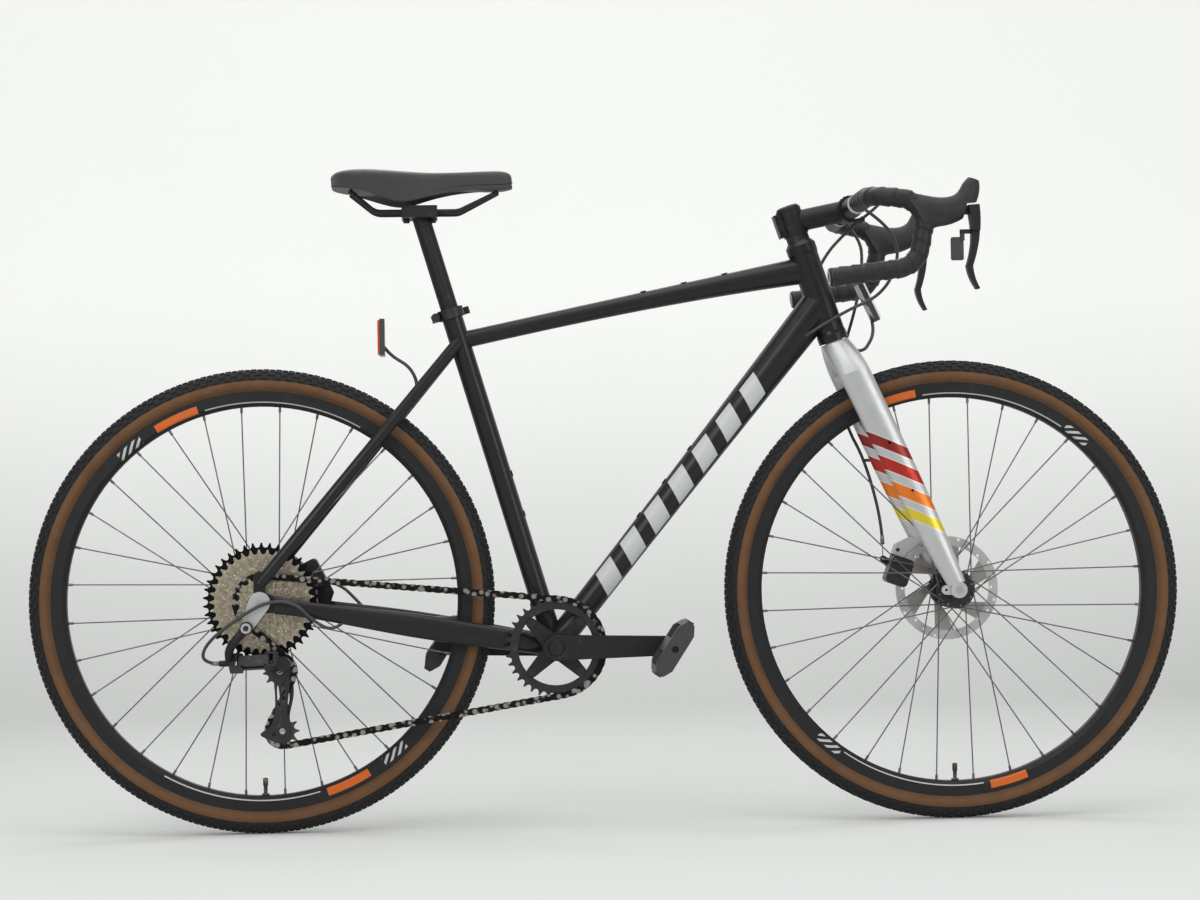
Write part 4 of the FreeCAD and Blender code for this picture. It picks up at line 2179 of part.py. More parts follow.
def build_cassette(phase):
    """Eleven sprockets on the freehub body, held by a lockring."""
    smallest = size.chain_line + size.cog_spacing * size.chain_cog
    sprockets = []
    for index, teeth in enumerate(COG_TEETH):
        out = smallest - size.cog_spacing * index
        turn = phase if index == int(size.chain_cog) else 0.0
        sprockets.append(
            toothed(f"sprocket_{teeth}", teeth, turn, size.cog_thickness, rear_axle_at + RIGHT * out,
                    [circle_wire(size.freehub_radius)])
        )
    inner_end = -size.rear_right_flange + size.flange_thickness / 2 + size.hub_stub + size.moving_gap
    outer_end = rear_half - size.moving_gap
    bearing = size.axle_radius + size.running_fit
    body = turned(
        "freehub_body",
        [(bearing, inner_end), (size.freehub_radius, inner_end),
         (size.freehub_radius, smallest + size.cog_thickness / 2),
         (bearing * FREEHUB_LIP_SHARE, smallest + size.cog_thickness / 2),
         (bearing * FREEHUB_LIP_SHARE, outer_end), (bearing, outer_end)],
        rear_axle_at,
        RIGHT,
    )
    gaps = []
    for index in range(len(COG_TEETH) - 1):
        start = smallest - size.cog_spacing * (index + 1) + size.cog_thickness / 2
        spacer_at = rear_axle_at + RIGHT * start
        gaps.append(ring(f"sprocket_spacer_{index}", spacer_at, RIGHT, size.freehub_radius,
                         size.freehub_radius + size.tube_wall, size.cog_spacing - size.cog_thickness))
    lockring = ring("lockring", rear_axle_at + RIGHT * (smallest + size.cog_thickness / 2), RIGHT,
                    bearing * FREEHUB_LIP_SHARE, size.freehub_radius, size.lockring_thickness)
    node("cassette", group("cassette_group", body, lockring, *sprockets, *gaps))


def plate_outline():
    """Waisted side plate of a chain link between two pins."""
    pitch = size.chain_pitch
    end = size.plate_radius
    return [(pitch, -end, HALF), (pitch, end, WAIST_SHARE), (0, end, HALF), (0, -end, WAIST_SHARE)]


def build_chain(pins):
    """Inner and outer links in turn round the whole loop."""
    half = size.link_inner_width / 2
    inner_face = half + size.plate_thickness
    outer_start = inner_face + size.tooth_gap_fit
    plate = Part.Face(outline_wire(plate_outline()))

    def slab(start):
        moved = plate.copy()
        moved.translate(Vector(0, 0, start))
        return moved.extrude(Vector(0, 0, size.plate_thickness))

    def round_bar(x, radius, reach):
        return Part.makeCylinder(radius, reach * 2, Vector(x, 0, -reach), UP)

    bore = size.link_pin_radius + size.running_fit
    inner = slab(half).fuse([slab(-inner_face)] + [round_bar(x, size.roller_radius, half)
                                                    for x in (0, size.chain_pitch)])
    inner = inner.cut([round_bar(x, bore, inner_face) for x in (0, size.chain_pitch)]).removeSplitter()
    outer_face = outer_start + size.plate_thickness
    outer = slab(outer_start).fuse([slab(-outer_face)] + [round_bar(x, size.link_pin_radius, outer_face)
                                                          for x in (0, size.chain_pitch)])
    outer = outer.removeSplitter()
    links = []
    for index, pin in enumerate(pins):
        following = pins[(index + 1) % len(pins)]
        link = (inner if index % 2 == 0 else outer).copy()
        link.Placement = plate_place(pin + RIGHT * size.chain_line, (following - pin).normalize(), RIGHT)
        links.append(link)
    node("chain", ready("chain", Part.makeCompound(links)))


def build_crankset(phase):
    """Chainring with bolts, right crank with spider and spindle, left crank and the two pedals."""
    tabs = [on_circle(size.ring_bolt_circle, TAB_ANGLE + 90 * index) for index in range(4)]
    inner = Part.Face(circle_wire(size.ring_inner_radius))
    for x, z in tabs:
        inner = inner.cut(Part.Face(circle_wire(size.ring_tab_radius, x, z)))
    window = inner.Faces[0].OuterWire
    ring_plate = toothed("ring_plate", size.ring_teeth, phase, size.ring_thickness,
                         bracket_at + RIGHT * size.chain_line, [window])
    ring_out = size.chain_line + size.ring_thickness / 2
    spider_out = ring_out + size.spider_thickness
    drills = []
    bolts = []
    for index, (x, z) in enumerate(tabs):
        seat = bracket_at + Vector(x, -spider_out, z)
        length = size.spider_thickness + size.ring_thickness
        drills.append(rod(f"ring_drill_{index}", seat + LEFT * length, seat, size.ring_bolt_radius))
        bolts.append(bolt(f"ring_bolt_{index}", seat, RIGHT, size.ring_bolt_radius, length,
                          size.ring_bolt_head_radius, size.ring_bolt_head_length))
    chainring = cut("chainring_drilled", ring_plate, *drills)
    node("chainring", group("chainring_group", chainring, *bolts))

    spider_place = flat_place(bracket_at.x, -ring_out, bracket_at.z)
    arms = [
        padded(f"spider_arm_{index}",
               hull_outline(0, 0, size.spider_arm_width, x, z, size.ring_tab_radius),
               size.spider_thickness, spider_place)
        for index, (x, z) in enumerate(tabs)
    ]
    hub_depth = size.crank_inset + size.crank_thickness - ring_out
    hub = padded("crank_hub", (0, 0, size.crank_root_radius), hub_depth, spider_place)
    arm_place = flat_place(bracket_at.x, -size.crank_inset, bracket_at.z)
    eye_at = bracket_at + AHEAD * size.crank_length
    arm = padded("crank_arm", hull_outline(0, 0, size.crank_root_radius, size.crank_length, 0,
                                           size.crank_eye_radius), size.crank_thickness, arm_place)
    spindle_end = size.crank_inset + size.crank_thickness
    spindle_hole = rod("spindle_hole", bracket_at, bracket_at + RIGHT * spindle_end, size.spindle_radius)
    eye_hole = rod("eye_hole", eye_at, eye_at + RIGHT * spindle_end, size.pedal_thread_radius)
    crank = fuse("right_crank_solid", hub, arm, *arms)
    body = cut("right_crank_bored", crank, spindle_hole, eye_hole, *drills)
    spindle = rod("spindle", bracket_at + RIGHT * spindle_end, bracket_at + LEFT * spindle_end,
                  size.spindle_radius)
    cap = turned(
        "crank_cap",
        [(0, 0), (size.crank_cap_radius, 0),
         (size.crank_cap_radius * CRANK_CAP_SHARE, size.crank_cap_length),
         (0, size.crank_cap_length)],
        bracket_at + RIGHT * spindle_end,
        RIGHT,
    )
    axle = pedal_axle("right_pedal_axle", eye_at, RIGHT)
    node("right_crank", group("right_crank_group", body, spindle, cap, axle))

    left_eye = bracket_at - AHEAD * size.crank_length
    left_place = flat_place(bracket_at.x, spindle_end, bracket_at.z)
    left_arm = padded(
        "left_crank_arm",
        hull_outline(0, 0, size.crank_root_radius, -size.crank_length, 0, size.crank_eye_radius),
        size.crank_thickness,
        left_place,
        holes=[(0, 0, size.spindle_radius), (-size.crank_length, 0, size.pedal_thread_radius)],
    )
    left_cap = turned(
        "left_crank_cap",
        [(0, 0), (size.crank_cap_radius, 0),
         (size.crank_cap_radius * CRANK_CAP_SHARE, size.crank_cap_length),
         (0, size.crank_cap_length)],
        bracket_at + LEFT * spindle_end,
        LEFT,
    )
    left_axle = pedal_axle("left_pedal_axle", left_eye, LEFT)
    node("left_crank", group("left_crank_group", left_arm, left_cap, left_axle))
    build_pedal("right_pedal", eye_at, RIGHT)
    build_pedal("left_pedal", left_eye, LEFT)


def pedal_axle(name, eye_at, way):
    """Pedal axle screwed into a crank eye, with a flange against it."""
    face = size.crank_inset + size.crank_thickness
    start = face + size.pedal_gap
    return turned(
        name,
        [
            (0, size.crank_inset),
            (size.pedal_thread_radius, size.crank_inset),
            (size.pedal_thread_radius, face),
            (size.pedal_thread_radius * PEDAL_COLLAR_SHARE, face),
            (size.pedal_thread_radius * PEDAL_COLLAR_SHARE, start - size.moving_gap),
            (size.pedal_axle_radius, start - size.moving_gap),
            (size.pedal_axle_radius, start + size.pedal_width * PEDAL_AXLE_SHARE),
            (0, start + size.pedal_width * PEDAL_AXLE_SHARE),
        ],
        eye_at,
        way,
    )


PEDAL_SHARES = ((0.5, 0.22), (0.34, 0.5), (-0.34, 0.5), (-0.5, 0.22), (-0.5, -0.22), (-0.34, -0.5),
                (0.34, -0.5),
                (0.5, -0.22))


def build_pedal(name, eye_at, way):
    """Platform pedal: a barrel in an open frame, with a reflector at each end."""
    tilt = math.radians(size.pedal_tilt)
    along = Vector(math.cos(tilt), 0, math.sin(tilt))
    over = Vector(-math.sin(tilt), 0, math.cos(tilt))
    start = size.crank_inset + size.crank_thickness + size.pedal_gap
    inner = eye_at + way * start
    normal = along.cross(over)
    near = inner if normal.dot(way) > 0 else inner + way * size.pedal_width
    place = plate_place(near, along, normal)
    outline = [(size.pedal_length * x, size.pedal_height * z) for x, z in PEDAL_SHARES]
    slab = padded(name + "_slab", outline, size.pedal_width, place)
    middle = inner + way * (size.pedal_width / 2)
    window = (size.pedal_length / 2 - size.pedal_wall - size.pedal_barrel_radius)
    tools = []
    for side in (1, -1):
        centre = middle + along * ((size.pedal_barrel_radius + window / 2) * side)
        tools.append(block(f"{name}_window_{side + 1}", plate_place(centre, along, over), window,
                           size.pedal_width - 2 * size.pedal_wall, size.pedal_height * 2))
    tools.append(rod(name + "_bore", inner - way * size.pedal_gap, inner + way * size.pedal_width,
                     size.pedal_axle_radius + size.running_fit))
    body = cut(name + "_body", slab, *tools)
    reflectors = []
    for side in (1, -1):
        centre = middle + along * ((size.pedal_length + size.reflector_lens) / 2 * side)
        reflectors.append(block(f"{name}_reflector_{side + 1}", plate_place(centre, along, over),
                                size.reflector_lens, size.pedal_width * PEDAL_LENS_SHARES[0],
                                size.pedal_height * PEDAL_LENS_SHARES[1]))
    node(name, group(name + "_group", body, *reflectors))


# Derailleur


def build_derailleur(swing, tension_phase, guide_phase):
    """Knuckles, parallelogram links, cage and pulleys of the rear derailleur."""
    slant = math.radians(size.slant_angle)
    pin_way = Vector(0, math.sin(slant), math.cos(slant))
    side_way = pin_way.cross(AHEAD)
    rest = math.asin(-size.cog_spacing / (size.link_length * math.cos(slant)))
    link_way = AHEAD * math.cos(rest) + side_way * math.sin(rest)
    base = rear_axle_at + Vector(-size.link_base_setback, -size.link_base_inset, -size.link_base_drop)
    far = base + link_way * size.link_length
    half = size.link_height / 2
    cheek = half + size.moving_gap

    for name, side in (("outer", -1), ("inner", 1)):
        foot = base + side_way * (size.link_spread * side) - pin_way * half
        link = padded(
            f"derailleur_{name}_link",
            hull_outline(0, 0, size.link_half_width, size.link_length, 0, size.link_half_width),
            size.link_height,
            plate_place(foot, link_way, pin_way),
            holes=[(0, 0, size.link_pin + size.running_fit),
                   (size.link_length, 0, size.link_pin + size.running_fit)],
        )
        node(f"derailleur_{name}_link", link)

    def clevis(name, centre, way):
        """Fork of two cheeks and a back that holds both link pins; it opens along way."""
        back_x = -size.cheek_reach
        side = size.link_spread + size.cheek_margin
        pieces = []
        for label, start in (("upper", cheek), ("lower", -cheek - size.cheek_thickness)):
            pieces.append(
                padded(f"{name}_{label}_cheek", box_outline(back_x, -side, size.cheek_margin, side,
                                                            size.cheek_margin * CHEEK_ROUND_SHARE),
                       size.cheek_thickness, plate_place(centre + pin_way * start, way, pin_way))
            )
        back_height = 2 * (cheek + size.cheek_thickness)
        back_at = centre - way * (size.cheek_reach - size.back_thickness / 2)
        back_place = plate_place(back_at, way, pin_way)
        pieces.append(block(f"{name}_back", back_place, size.back_thickness, side * 2,
                            back_height))
        pins = [
            rod(f"{name}_pin_{place + 1}",
                centre + side_way * (size.link_spread * place) - pin_way * (cheek + size.cheek_thickness),
                centre + side_way * (size.link_spread * place) + pin_way * (cheek + size.cheek_thickness),
                size.link_pin)
            for place in (-1, 1)
        ]
        return pieces, pins, back_at

    hanger_out = rear_half + size.dropout_thickness + size.hanger_thickness
    bolt_at = rear_axle_at + Vector(-size.hanger_setback, -hanger_out - size.moving_gap, -size.hanger_drop)
    sleeve_end = bolt_at + RIGHT * size.knuckle_sleeve_length
    pieces, pins, back_at = clevis("knuckle", base, AHEAD)
    sleeve = rod("knuckle_sleeve", bolt_at, sleeve_end, size.knuckle_sleeve_radius)
    arm_start = (bolt_at + sleeve_end) * 0.5
    elbow = arm_start + Vector(-size.knuckle_elbow_back, 0, -size.knuckle_elbow_drop)
    arm_end = back_at - AHEAD * (size.knuckle_arm_radius - size.back_thickness / 2)
    arm = bent("knuckle_arm", [arm_start, elbow, arm_end], size.knuckle_arm_radius)
    barrel = rod("knuckle_barrel", back_at, back_at - AHEAD * (size.barrel_length + size.back_thickness / 2),
                 size.barrel_radius)
    bolt_hole = rod("knuckle_bolt_hole", bolt_at - RIGHT * size.moving_gap, sleeve_end,
                    size.hanger_bolt_radius + size.running_fit)
    body = cut("knuckle_body", fuse("knuckle_solid", *pieces, sleeve, arm, barrel, *pins, refine=False),
               bolt_hole)
    node("derailleur_knuckle", body)
    hanger_bolt = bolt("hanger_bolt", sleeve_end + RIGHT * size.moving_gap, RIGHT, size.hanger_bolt_radius,
                       size.knuckle_sleeve_length + 2 * size.moving_gap + size.hanger_thickness,
                       size.knuckle_sleeve_radius * BOLT_HEAD_SHARE, size.hanger_bolt_head_length)
    node("derailleur_hanger", group("hanger_group", NODES["derailleur_hanger"], hanger_bolt))

    pivot, guide, tension = cage_points(swing)
    inner_face = size.link_inner_width / 2 + 2 * size.plate_thickness
    inner_face = inner_face + size.tooth_gap_fit + size.cage_clearance
    outer_face = inner_face + size.cage_thickness
    knuckle_start = size.chain_line + outer_face + size.moving_gap
    knuckle_end = -far.y
    pieces, pins, back_at = clevis("p_knuckle", far, -AHEAD)
    drum_end = knuckle_end + size.p_knuckle_radius
    drum = rod("p_knuckle_drum", pivot + RIGHT * knuckle_start, pivot + RIGHT * drum_end,
               size.p_knuckle_radius)
    bridge = rod("p_knuckle_bridge", pivot + RIGHT * ((knuckle_start + drum_end) / 2),
                 back_at, size.knuckle_arm_radius)
    pin_from = pivot + RIGHT * (knuckle_start - size.moving_gap)
    pin_hole = rod("cage_pin_hole", pin_from, pivot + RIGHT * knuckle_end,
                   size.cage_pin_radius + size.running_fit)
    node("derailleur_p_knuckle", cut("p_knuckle_body", fuse("p_knuckle_solid", *pieces, drum, bridge, *pins),
                                     pin_hole))

    plates = []
    chain_y = -size.chain_line
    for name, top_y in (("outer", chain_y - inner_face), ("inner", chain_y + outer_face)):
        plates.append(
            padded(
                f"cage_{name}_plate",
                hull_outline(guide.x - pivot.x, guide.z - pivot.z, size.cage_end_radius, tension.x - pivot.x,
                             tension.z - pivot.z, size.cage_end_radius),
                size.cage_thickness,
                flat_place(pivot.x, top_y, pivot.z),
            )
        )
    root = padded(
        "cage_root",
        hull_outline(0, 0, size.cage_end_radius, guide.x - pivot.x, guide.z - pivot.z, size.cage_end_radius),
        size.cage_thickness,
        flat_place(pivot.x, chain_y - inner_face, pivot.z),
    )
    pin = rod("cage_pin", pivot + RIGHT * (size.chain_line + inner_face),
              pivot + RIGHT * (knuckle_end - size.moving_gap), size.cage_pin_radius)
    pulley_pins = [
        rod(f"pulley_pin_{index}", centre + RIGHT * (size.chain_line + outer_face),
            centre + RIGHT * (size.chain_line - outer_face), size.pulley_bolt_radius)
        for index, centre in enumerate((guide, tension))
    ]
    node("derailleur_cage", fuse("derailleur_cage", *plates, root, pin, *pulley_pins))

    for name, centre, phase in (("guide", guide, guide_phase), ("tension", tension, tension_phase)):
        hub_half = inner_face - size.moving_gap
        hub = ring(f"{name}_hub", centre + RIGHT * (size.chain_line - hub_half), RIGHT,
                   size.pulley_bolt_radius + size.running_fit, size.pulley_hub_radius, hub_half * 2)
        wheel = toothed(f"{name}_wheel", size.pulley_teeth, phase, size.pulley_thickness,
                        centre + RIGHT * size.chain_line, [circle_wire(size.pulley_hub_radius)])
        node(f"{name}_pulley", fuse(f"{name}_pulley", hub, wheel))


def build_drivetrain():
    """Chain, sprockets, cranks and derailleur, meshed at rest."""
    swing, count = settled_swing()
    wraps = chain_wraps(swing)
    pins = chain_pins(wraps, count)
    chain_wheel, tension, guide, cog = wraps
    print("chain links", count, "cage swing", round(swing, 2))
    build_cassette(cog.phase)
    build_chain(pins)
    build_crankset(chain_wheel.phase)
    build_derailleur(swing, tension.phase, guide.phase)


# Reflectors

REAR_ARM_SHARES = ((0, 0), (0.18, 0.30), (0.06, 0.58), (-0.22, 0.76), (-0.36, 0.92))
FRONT_ARM_SHARES = ((0, 0), (0.22, -0.04), (0.38, 0.22), (0.33, 0.60))
LENS_SHARE = 0.93
HOUSING_LIFT_SHARE = 0.2


def build_reflectors(bridge_at):
    """Red reflector behind the seat tube and clear one ahead of the head tube, each on a bent arm."""
    points = [bridge_at + Vector(x, 0, z) * size.loop_span for x, z in REAR_ARM_SHARES]
    arm = bent("rear_reflector_arm", points, size.reflector_arm_radius)
    housing_at = points[-1] + UP * (size.rear_reflector_height * HOUSING_LIFT_SHARE)
    place = plate_place(housing_at, AHEAD, UP)
    housing = block("rear_reflector_housing", place, size.reflector_thickness, size.rear_reflector_width,
                    size.rear_reflector_height)
    lens_at = housing_at - AHEAD * ((size.reflector_thickness + size.reflector_lens) / 2)
    lens = block("rear_reflector_lens", plate_place(lens_at, AHEAD, UP), size.reflector_lens,
                 size.rear_reflector_width * LENS_SHARE, size.rear_reflector_height * LENS_SHARE)
    bridge = rod("rear_reflector_seat", bridge_at + LEFT * size.rear_reflector_width,
                 bridge_at + RIGHT * size.rear_reflector_width, size.bridge_radius)
    node("rear_reflector", group("rear_reflector_group",
                                 cut("rear_reflector_arm_cut", arm, housing, bridge), housing, lens))

    foot = crown_at + steer_ahead * (size.crown_radius - size.reflector_arm_radius) - steer_up * (
        size.crown_shoulder_drop)
    points = [foot + Vector(x, 0, z) * size.loop_span for x, z in FRONT_ARM_SHARES]
    arm = bent("front_reflector_arm", points, size.reflector_arm_radius)
    lean = math.radians(size.front_reflector_lean)
    face_way = Vector(math.cos(lean), 0, math.sin(lean))
    over = Vector(-math.sin(lean), 0, math.cos(lean))
    housing_at = points[-1] + over * (size.front_reflector_height * HOUSING_LIFT_SHARE)
    housing_place = plate_place(housing_at, face_way, over)
    housing = block("front_reflector_housing", housing_place, size.reflector_thickness,
                    size.front_reflector_width, size.front_reflector_height)
    lens_at = housing_at + face_way * ((size.reflector_thickness + size.reflector_lens) / 2)
    lens = block("front_reflector_lens", plate_place(lens_at, face_way, over), size.reflector_lens,
                 size.front_reflector_width * LENS_SHARE, size.front_reflector_height * LENS_SHARE)
    arm = cut("front_reflector_arm_cut", arm, housing, NODES["fork_steerer"])
    node("front_reflector", group("front_reflector_group", arm, housing, lens))


# Cables

# Points of each housing as (ahead, left, up) shares of the loop span
SHIFT_LOOP_SHARES = ((0, -0.90, -0.02), (0.48, -0.76, -0.30), (0.67, -0.72, -0.77), (0.43, -0.46, -1.35),
                     (-0.21, -0.32, -1.60), (-0.94, -0.14, -2.07))
REAR_BRAKE_LOOP_SHARES = ((0, -0.92, 0.03), (0.43, -0.58, 0.10), (0.47, 0.22, 0.07), (0.09, 0.66, -0.23),
                          (-0.36, 0.50, -0.69), (-0.79, 0.32, -1.67), (-0.97, 0.12, -2.13))
FRONT_BRAKE_LOOP_SHARES = ((0, 0.90, -0.02), (0.27, 0.62, -0.35), (0.27, 0.46, -0.85), (0.15, 0.40, -1.45),
                           (-0.03, 0.60, -2.10), (-0.15, 0.65, -2.55), (-0.01, 0.63, -3.29),
                           (0.28, 0.63, -3.84), (0.53, 0.66, -4.78))
REAR_SHIFT_LOOP_SHARES = ((1.26, -0.66, -0.29), (1.10, -0.80, -0.45), (0.80, -0.88, -0.29),
                          (0.54, -0.90, -0.01), (0.13, -0.92, 0.03), (-0.30, -0.96, -0.21),
                          (-0.80, -0.88, -0.59), (-0.88, -0.66, -0.89))
REAR_BRAKE_END_SHARES = ((1.58, 0.62, -0.25), (1.34, 0.72, 0.01), (1.14, 0.84, 0.19))
FRONT_STOP_SHARES = (0, 0, 0.23)
REAR_STOP_SHARES = (0.54, 0, 0.11)
CLIP_CORNER = 7


def loop_points(anchor, shares):
    """Corner points of a housing from an anchor on the bike."""
    return [anchor + Vector(*share) * size.loop_span for share in shares]


def brake_end(name, points, tip, stop_shares, caliper_at):
    """Housing that ends at a stop on the caliper, with the bare wire running on beside the arm's tip."""
    wire_end = tip + LEFT * (size.moving_gap + size.wire_radius)
    mouth = wire_end + Vector(*stop_shares) * size.loop_span
    housing = bent(name + "_housing", [*points, mouth], size.housing_radius)
    wire = rod(name + "_wire", mouth, wire_end, size.wire_radius)
    seat = Vector(caliper_at.x, mouth.y - size.housing_radius * 2, caliper_at.z)
    stop_from = mouth + (points[-1] - mouth).normalize() * size.housing_radius
    stop = rod(name + "_stop", stop_from, stop_from + (seat - stop_from).normalize() * size.stop_length,
               size.housing_radius)
    return housing, wire, stop


def build_cables(front_brake, rear_brake):
    """Housings from the bar to the frame and fork, and from the chainstays to brake and derailleur."""
    grip = rod("tape_clearance", bar_at + RIGHT * size.tape_start, bar_at + RIGHT * (size.bar_width / 2),
               size.tape_radius)
    left_grip = mirrored("left_tape_clearance", grip)
    bar_end = size.bar_center_width / 2 + size.bar_taper
    bar_tip = bar_at + RIGHT * (size.bar_width / 2)
    bar = rod("bar_clearance", bar_at + RIGHT * bar_end, bar_tip, size.bar_radius)
    left_bar = mirrored("left_bar_clearance", bar)
    tube = doc.getObject("down_tube_skin")
    shift = bent("shift_housing", loop_points(bar_at, SHIFT_LOOP_SHARES), size.housing_radius)
    shift = cut("shift_housing_ends", shift, grip, bar, tube)
    rear_brake_front = bent("rear_brake_housing", loop_points(bar_at, REAR_BRAKE_LOOP_SHARES),
                            size.housing_radius)
    rear_brake_front = cut("rear_brake_housing_ends", rear_brake_front, grip, bar, tube)

    mouth_back = size.link_base_setback + size.cheek_reach + size.barrel_length + 2 * size.moving_gap
    mouth = rear_axle_at + Vector(-mouth_back, -size.link_base_inset, -size.link_base_drop)
    triangle = NODES["rear_triangle"]
    rear_shift = bent("rear_shift_housing", [*loop_points(rear_axle_at, REAR_SHIFT_LOOP_SHARES), mouth],
                      size.housing_radius)
    rear_shift = cut("rear_shift_housing_ends", rear_shift, triangle)
    pivot, tip = rear_brake
    housing, wire, stop = brake_end("rear_brake_end", loop_points(rear_axle_at, REAR_BRAKE_END_SHARES), tip,
                                    REAR_STOP_SHARES, pivot)
    joined = fuse("rear_brake_end_solid", housing, wire, stop)
    rear_end = cut("rear_brake_end_cut", joined, triangle, NODES["rear_caliper"])
    node("frame_cables", group("frame_cables_group", shift, rear_brake_front, rear_shift, rear_end))

    pivot, tip = front_brake
    points = loop_points(bar_at, FRONT_BRAKE_LOOP_SHARES)
    housing, wire, stop = brake_end("front_brake", points, tip, FRONT_STOP_SHARES, pivot)
    clip_at = points[CLIP_CORNER]
    clip = rod("hose_clip", clip_at, clip_at + AHEAD * size.clip_length, size.housing_radius)
    joined = fuse("front_brake_solid", housing, wire, stop, clip)
    hose = cut("front_brake_cut", joined, left_grip, left_bar, NODES["fork_legs"], NODES["front_caliper"])
    node("front_brake_cable", hose)


def write_parts():
    """Checks every object and piece, then writes each piece to its own file."""
    doc.recompute()
    for thing in doc.Objects:
        if "Invalid" in thing.State or "Touched" in thing.State:
            raise RuntimeError(f"{thing.Name} did not build: {thing.State}")
        if hasattr(thing, "Shape") and (thing.Shape.isNull() or not thing.Shape.isValid()):
            raise RuntimeError(f"{thing.Name} has no valid shape")
    os.makedirs("parts", exist_ok=True)
    for label, thing in NODES.items():
        solids = thing.Shape.Solids
        if not solids or min(solid.Volume for solid in solids) <= 0:
            raise RuntimeError(f"{label} is not made of solids")
        thing.Shape.exportStep(f"parts/{label}.step")
    print(len(NODES), "pieces written")


# The whole bike

seat_core, shell_core = build_main_tubes()
build_bearings()
bridge_at = build_rear_triangle(seat_core, shell_core)
front_brake = build_brake("front", front_axle_at, size.front_rotor_offset, size.caliper_angle_front,
                          size.arm_angle_front)
rear_brake = build_brake("rear", rear_axle_at, size.rear_rotor_offset, size.caliper_angle_rear,
                         size.arm_angle_rear, NODES["rear_triangle"])
build_wheels()
build_fork()
build_stem()
bar_core, right_tape = build_handlebar()
build_hoods(bar_core, right_tape)
build_levers()
build_seat_clamp()
build_post()
build_saddle()
build_drivetrain()
build_reflectors(bridge_at)
build_cables(front_brake, rear_brake)
write_parts()
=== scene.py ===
"""Looks of a gravel bike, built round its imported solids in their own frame, in metres."""

import json
import logging
import math
from collections.abc import Sequence
from dataclasses import dataclass, field
from enum import Enum

import bmesh
import bpy
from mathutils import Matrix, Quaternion, Vector


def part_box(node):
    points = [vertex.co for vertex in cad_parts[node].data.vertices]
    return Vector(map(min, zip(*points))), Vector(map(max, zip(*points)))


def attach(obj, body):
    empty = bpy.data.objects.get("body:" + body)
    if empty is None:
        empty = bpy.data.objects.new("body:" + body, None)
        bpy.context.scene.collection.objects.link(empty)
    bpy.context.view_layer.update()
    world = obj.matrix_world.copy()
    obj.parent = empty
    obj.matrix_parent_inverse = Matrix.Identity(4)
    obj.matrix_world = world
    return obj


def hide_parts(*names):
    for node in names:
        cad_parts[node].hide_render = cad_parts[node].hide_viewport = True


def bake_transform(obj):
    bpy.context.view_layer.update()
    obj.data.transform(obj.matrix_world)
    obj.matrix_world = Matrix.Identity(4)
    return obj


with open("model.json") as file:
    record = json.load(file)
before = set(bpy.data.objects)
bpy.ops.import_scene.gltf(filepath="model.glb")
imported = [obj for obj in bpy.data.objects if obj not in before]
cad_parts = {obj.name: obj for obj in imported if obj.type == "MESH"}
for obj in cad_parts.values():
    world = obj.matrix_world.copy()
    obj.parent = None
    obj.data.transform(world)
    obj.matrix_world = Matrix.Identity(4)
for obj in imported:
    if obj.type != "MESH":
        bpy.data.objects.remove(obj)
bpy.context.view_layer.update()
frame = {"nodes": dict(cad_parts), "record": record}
log = logging.getLogger("bike")

Colour = tuple[float, float, float]
Point = tuple[float, float, float]
Profile = Sequence[tuple[float, float]]

WHEEL_RADIUS = 0.351
WHEEL_HALF_BASE = 0.526
LINE_ORDER = 3
LINE_STEPS = 14
TUBE_STEPS = 4
SIDES = (("left", 1.0), ("right", -1.0))


# Shader tools


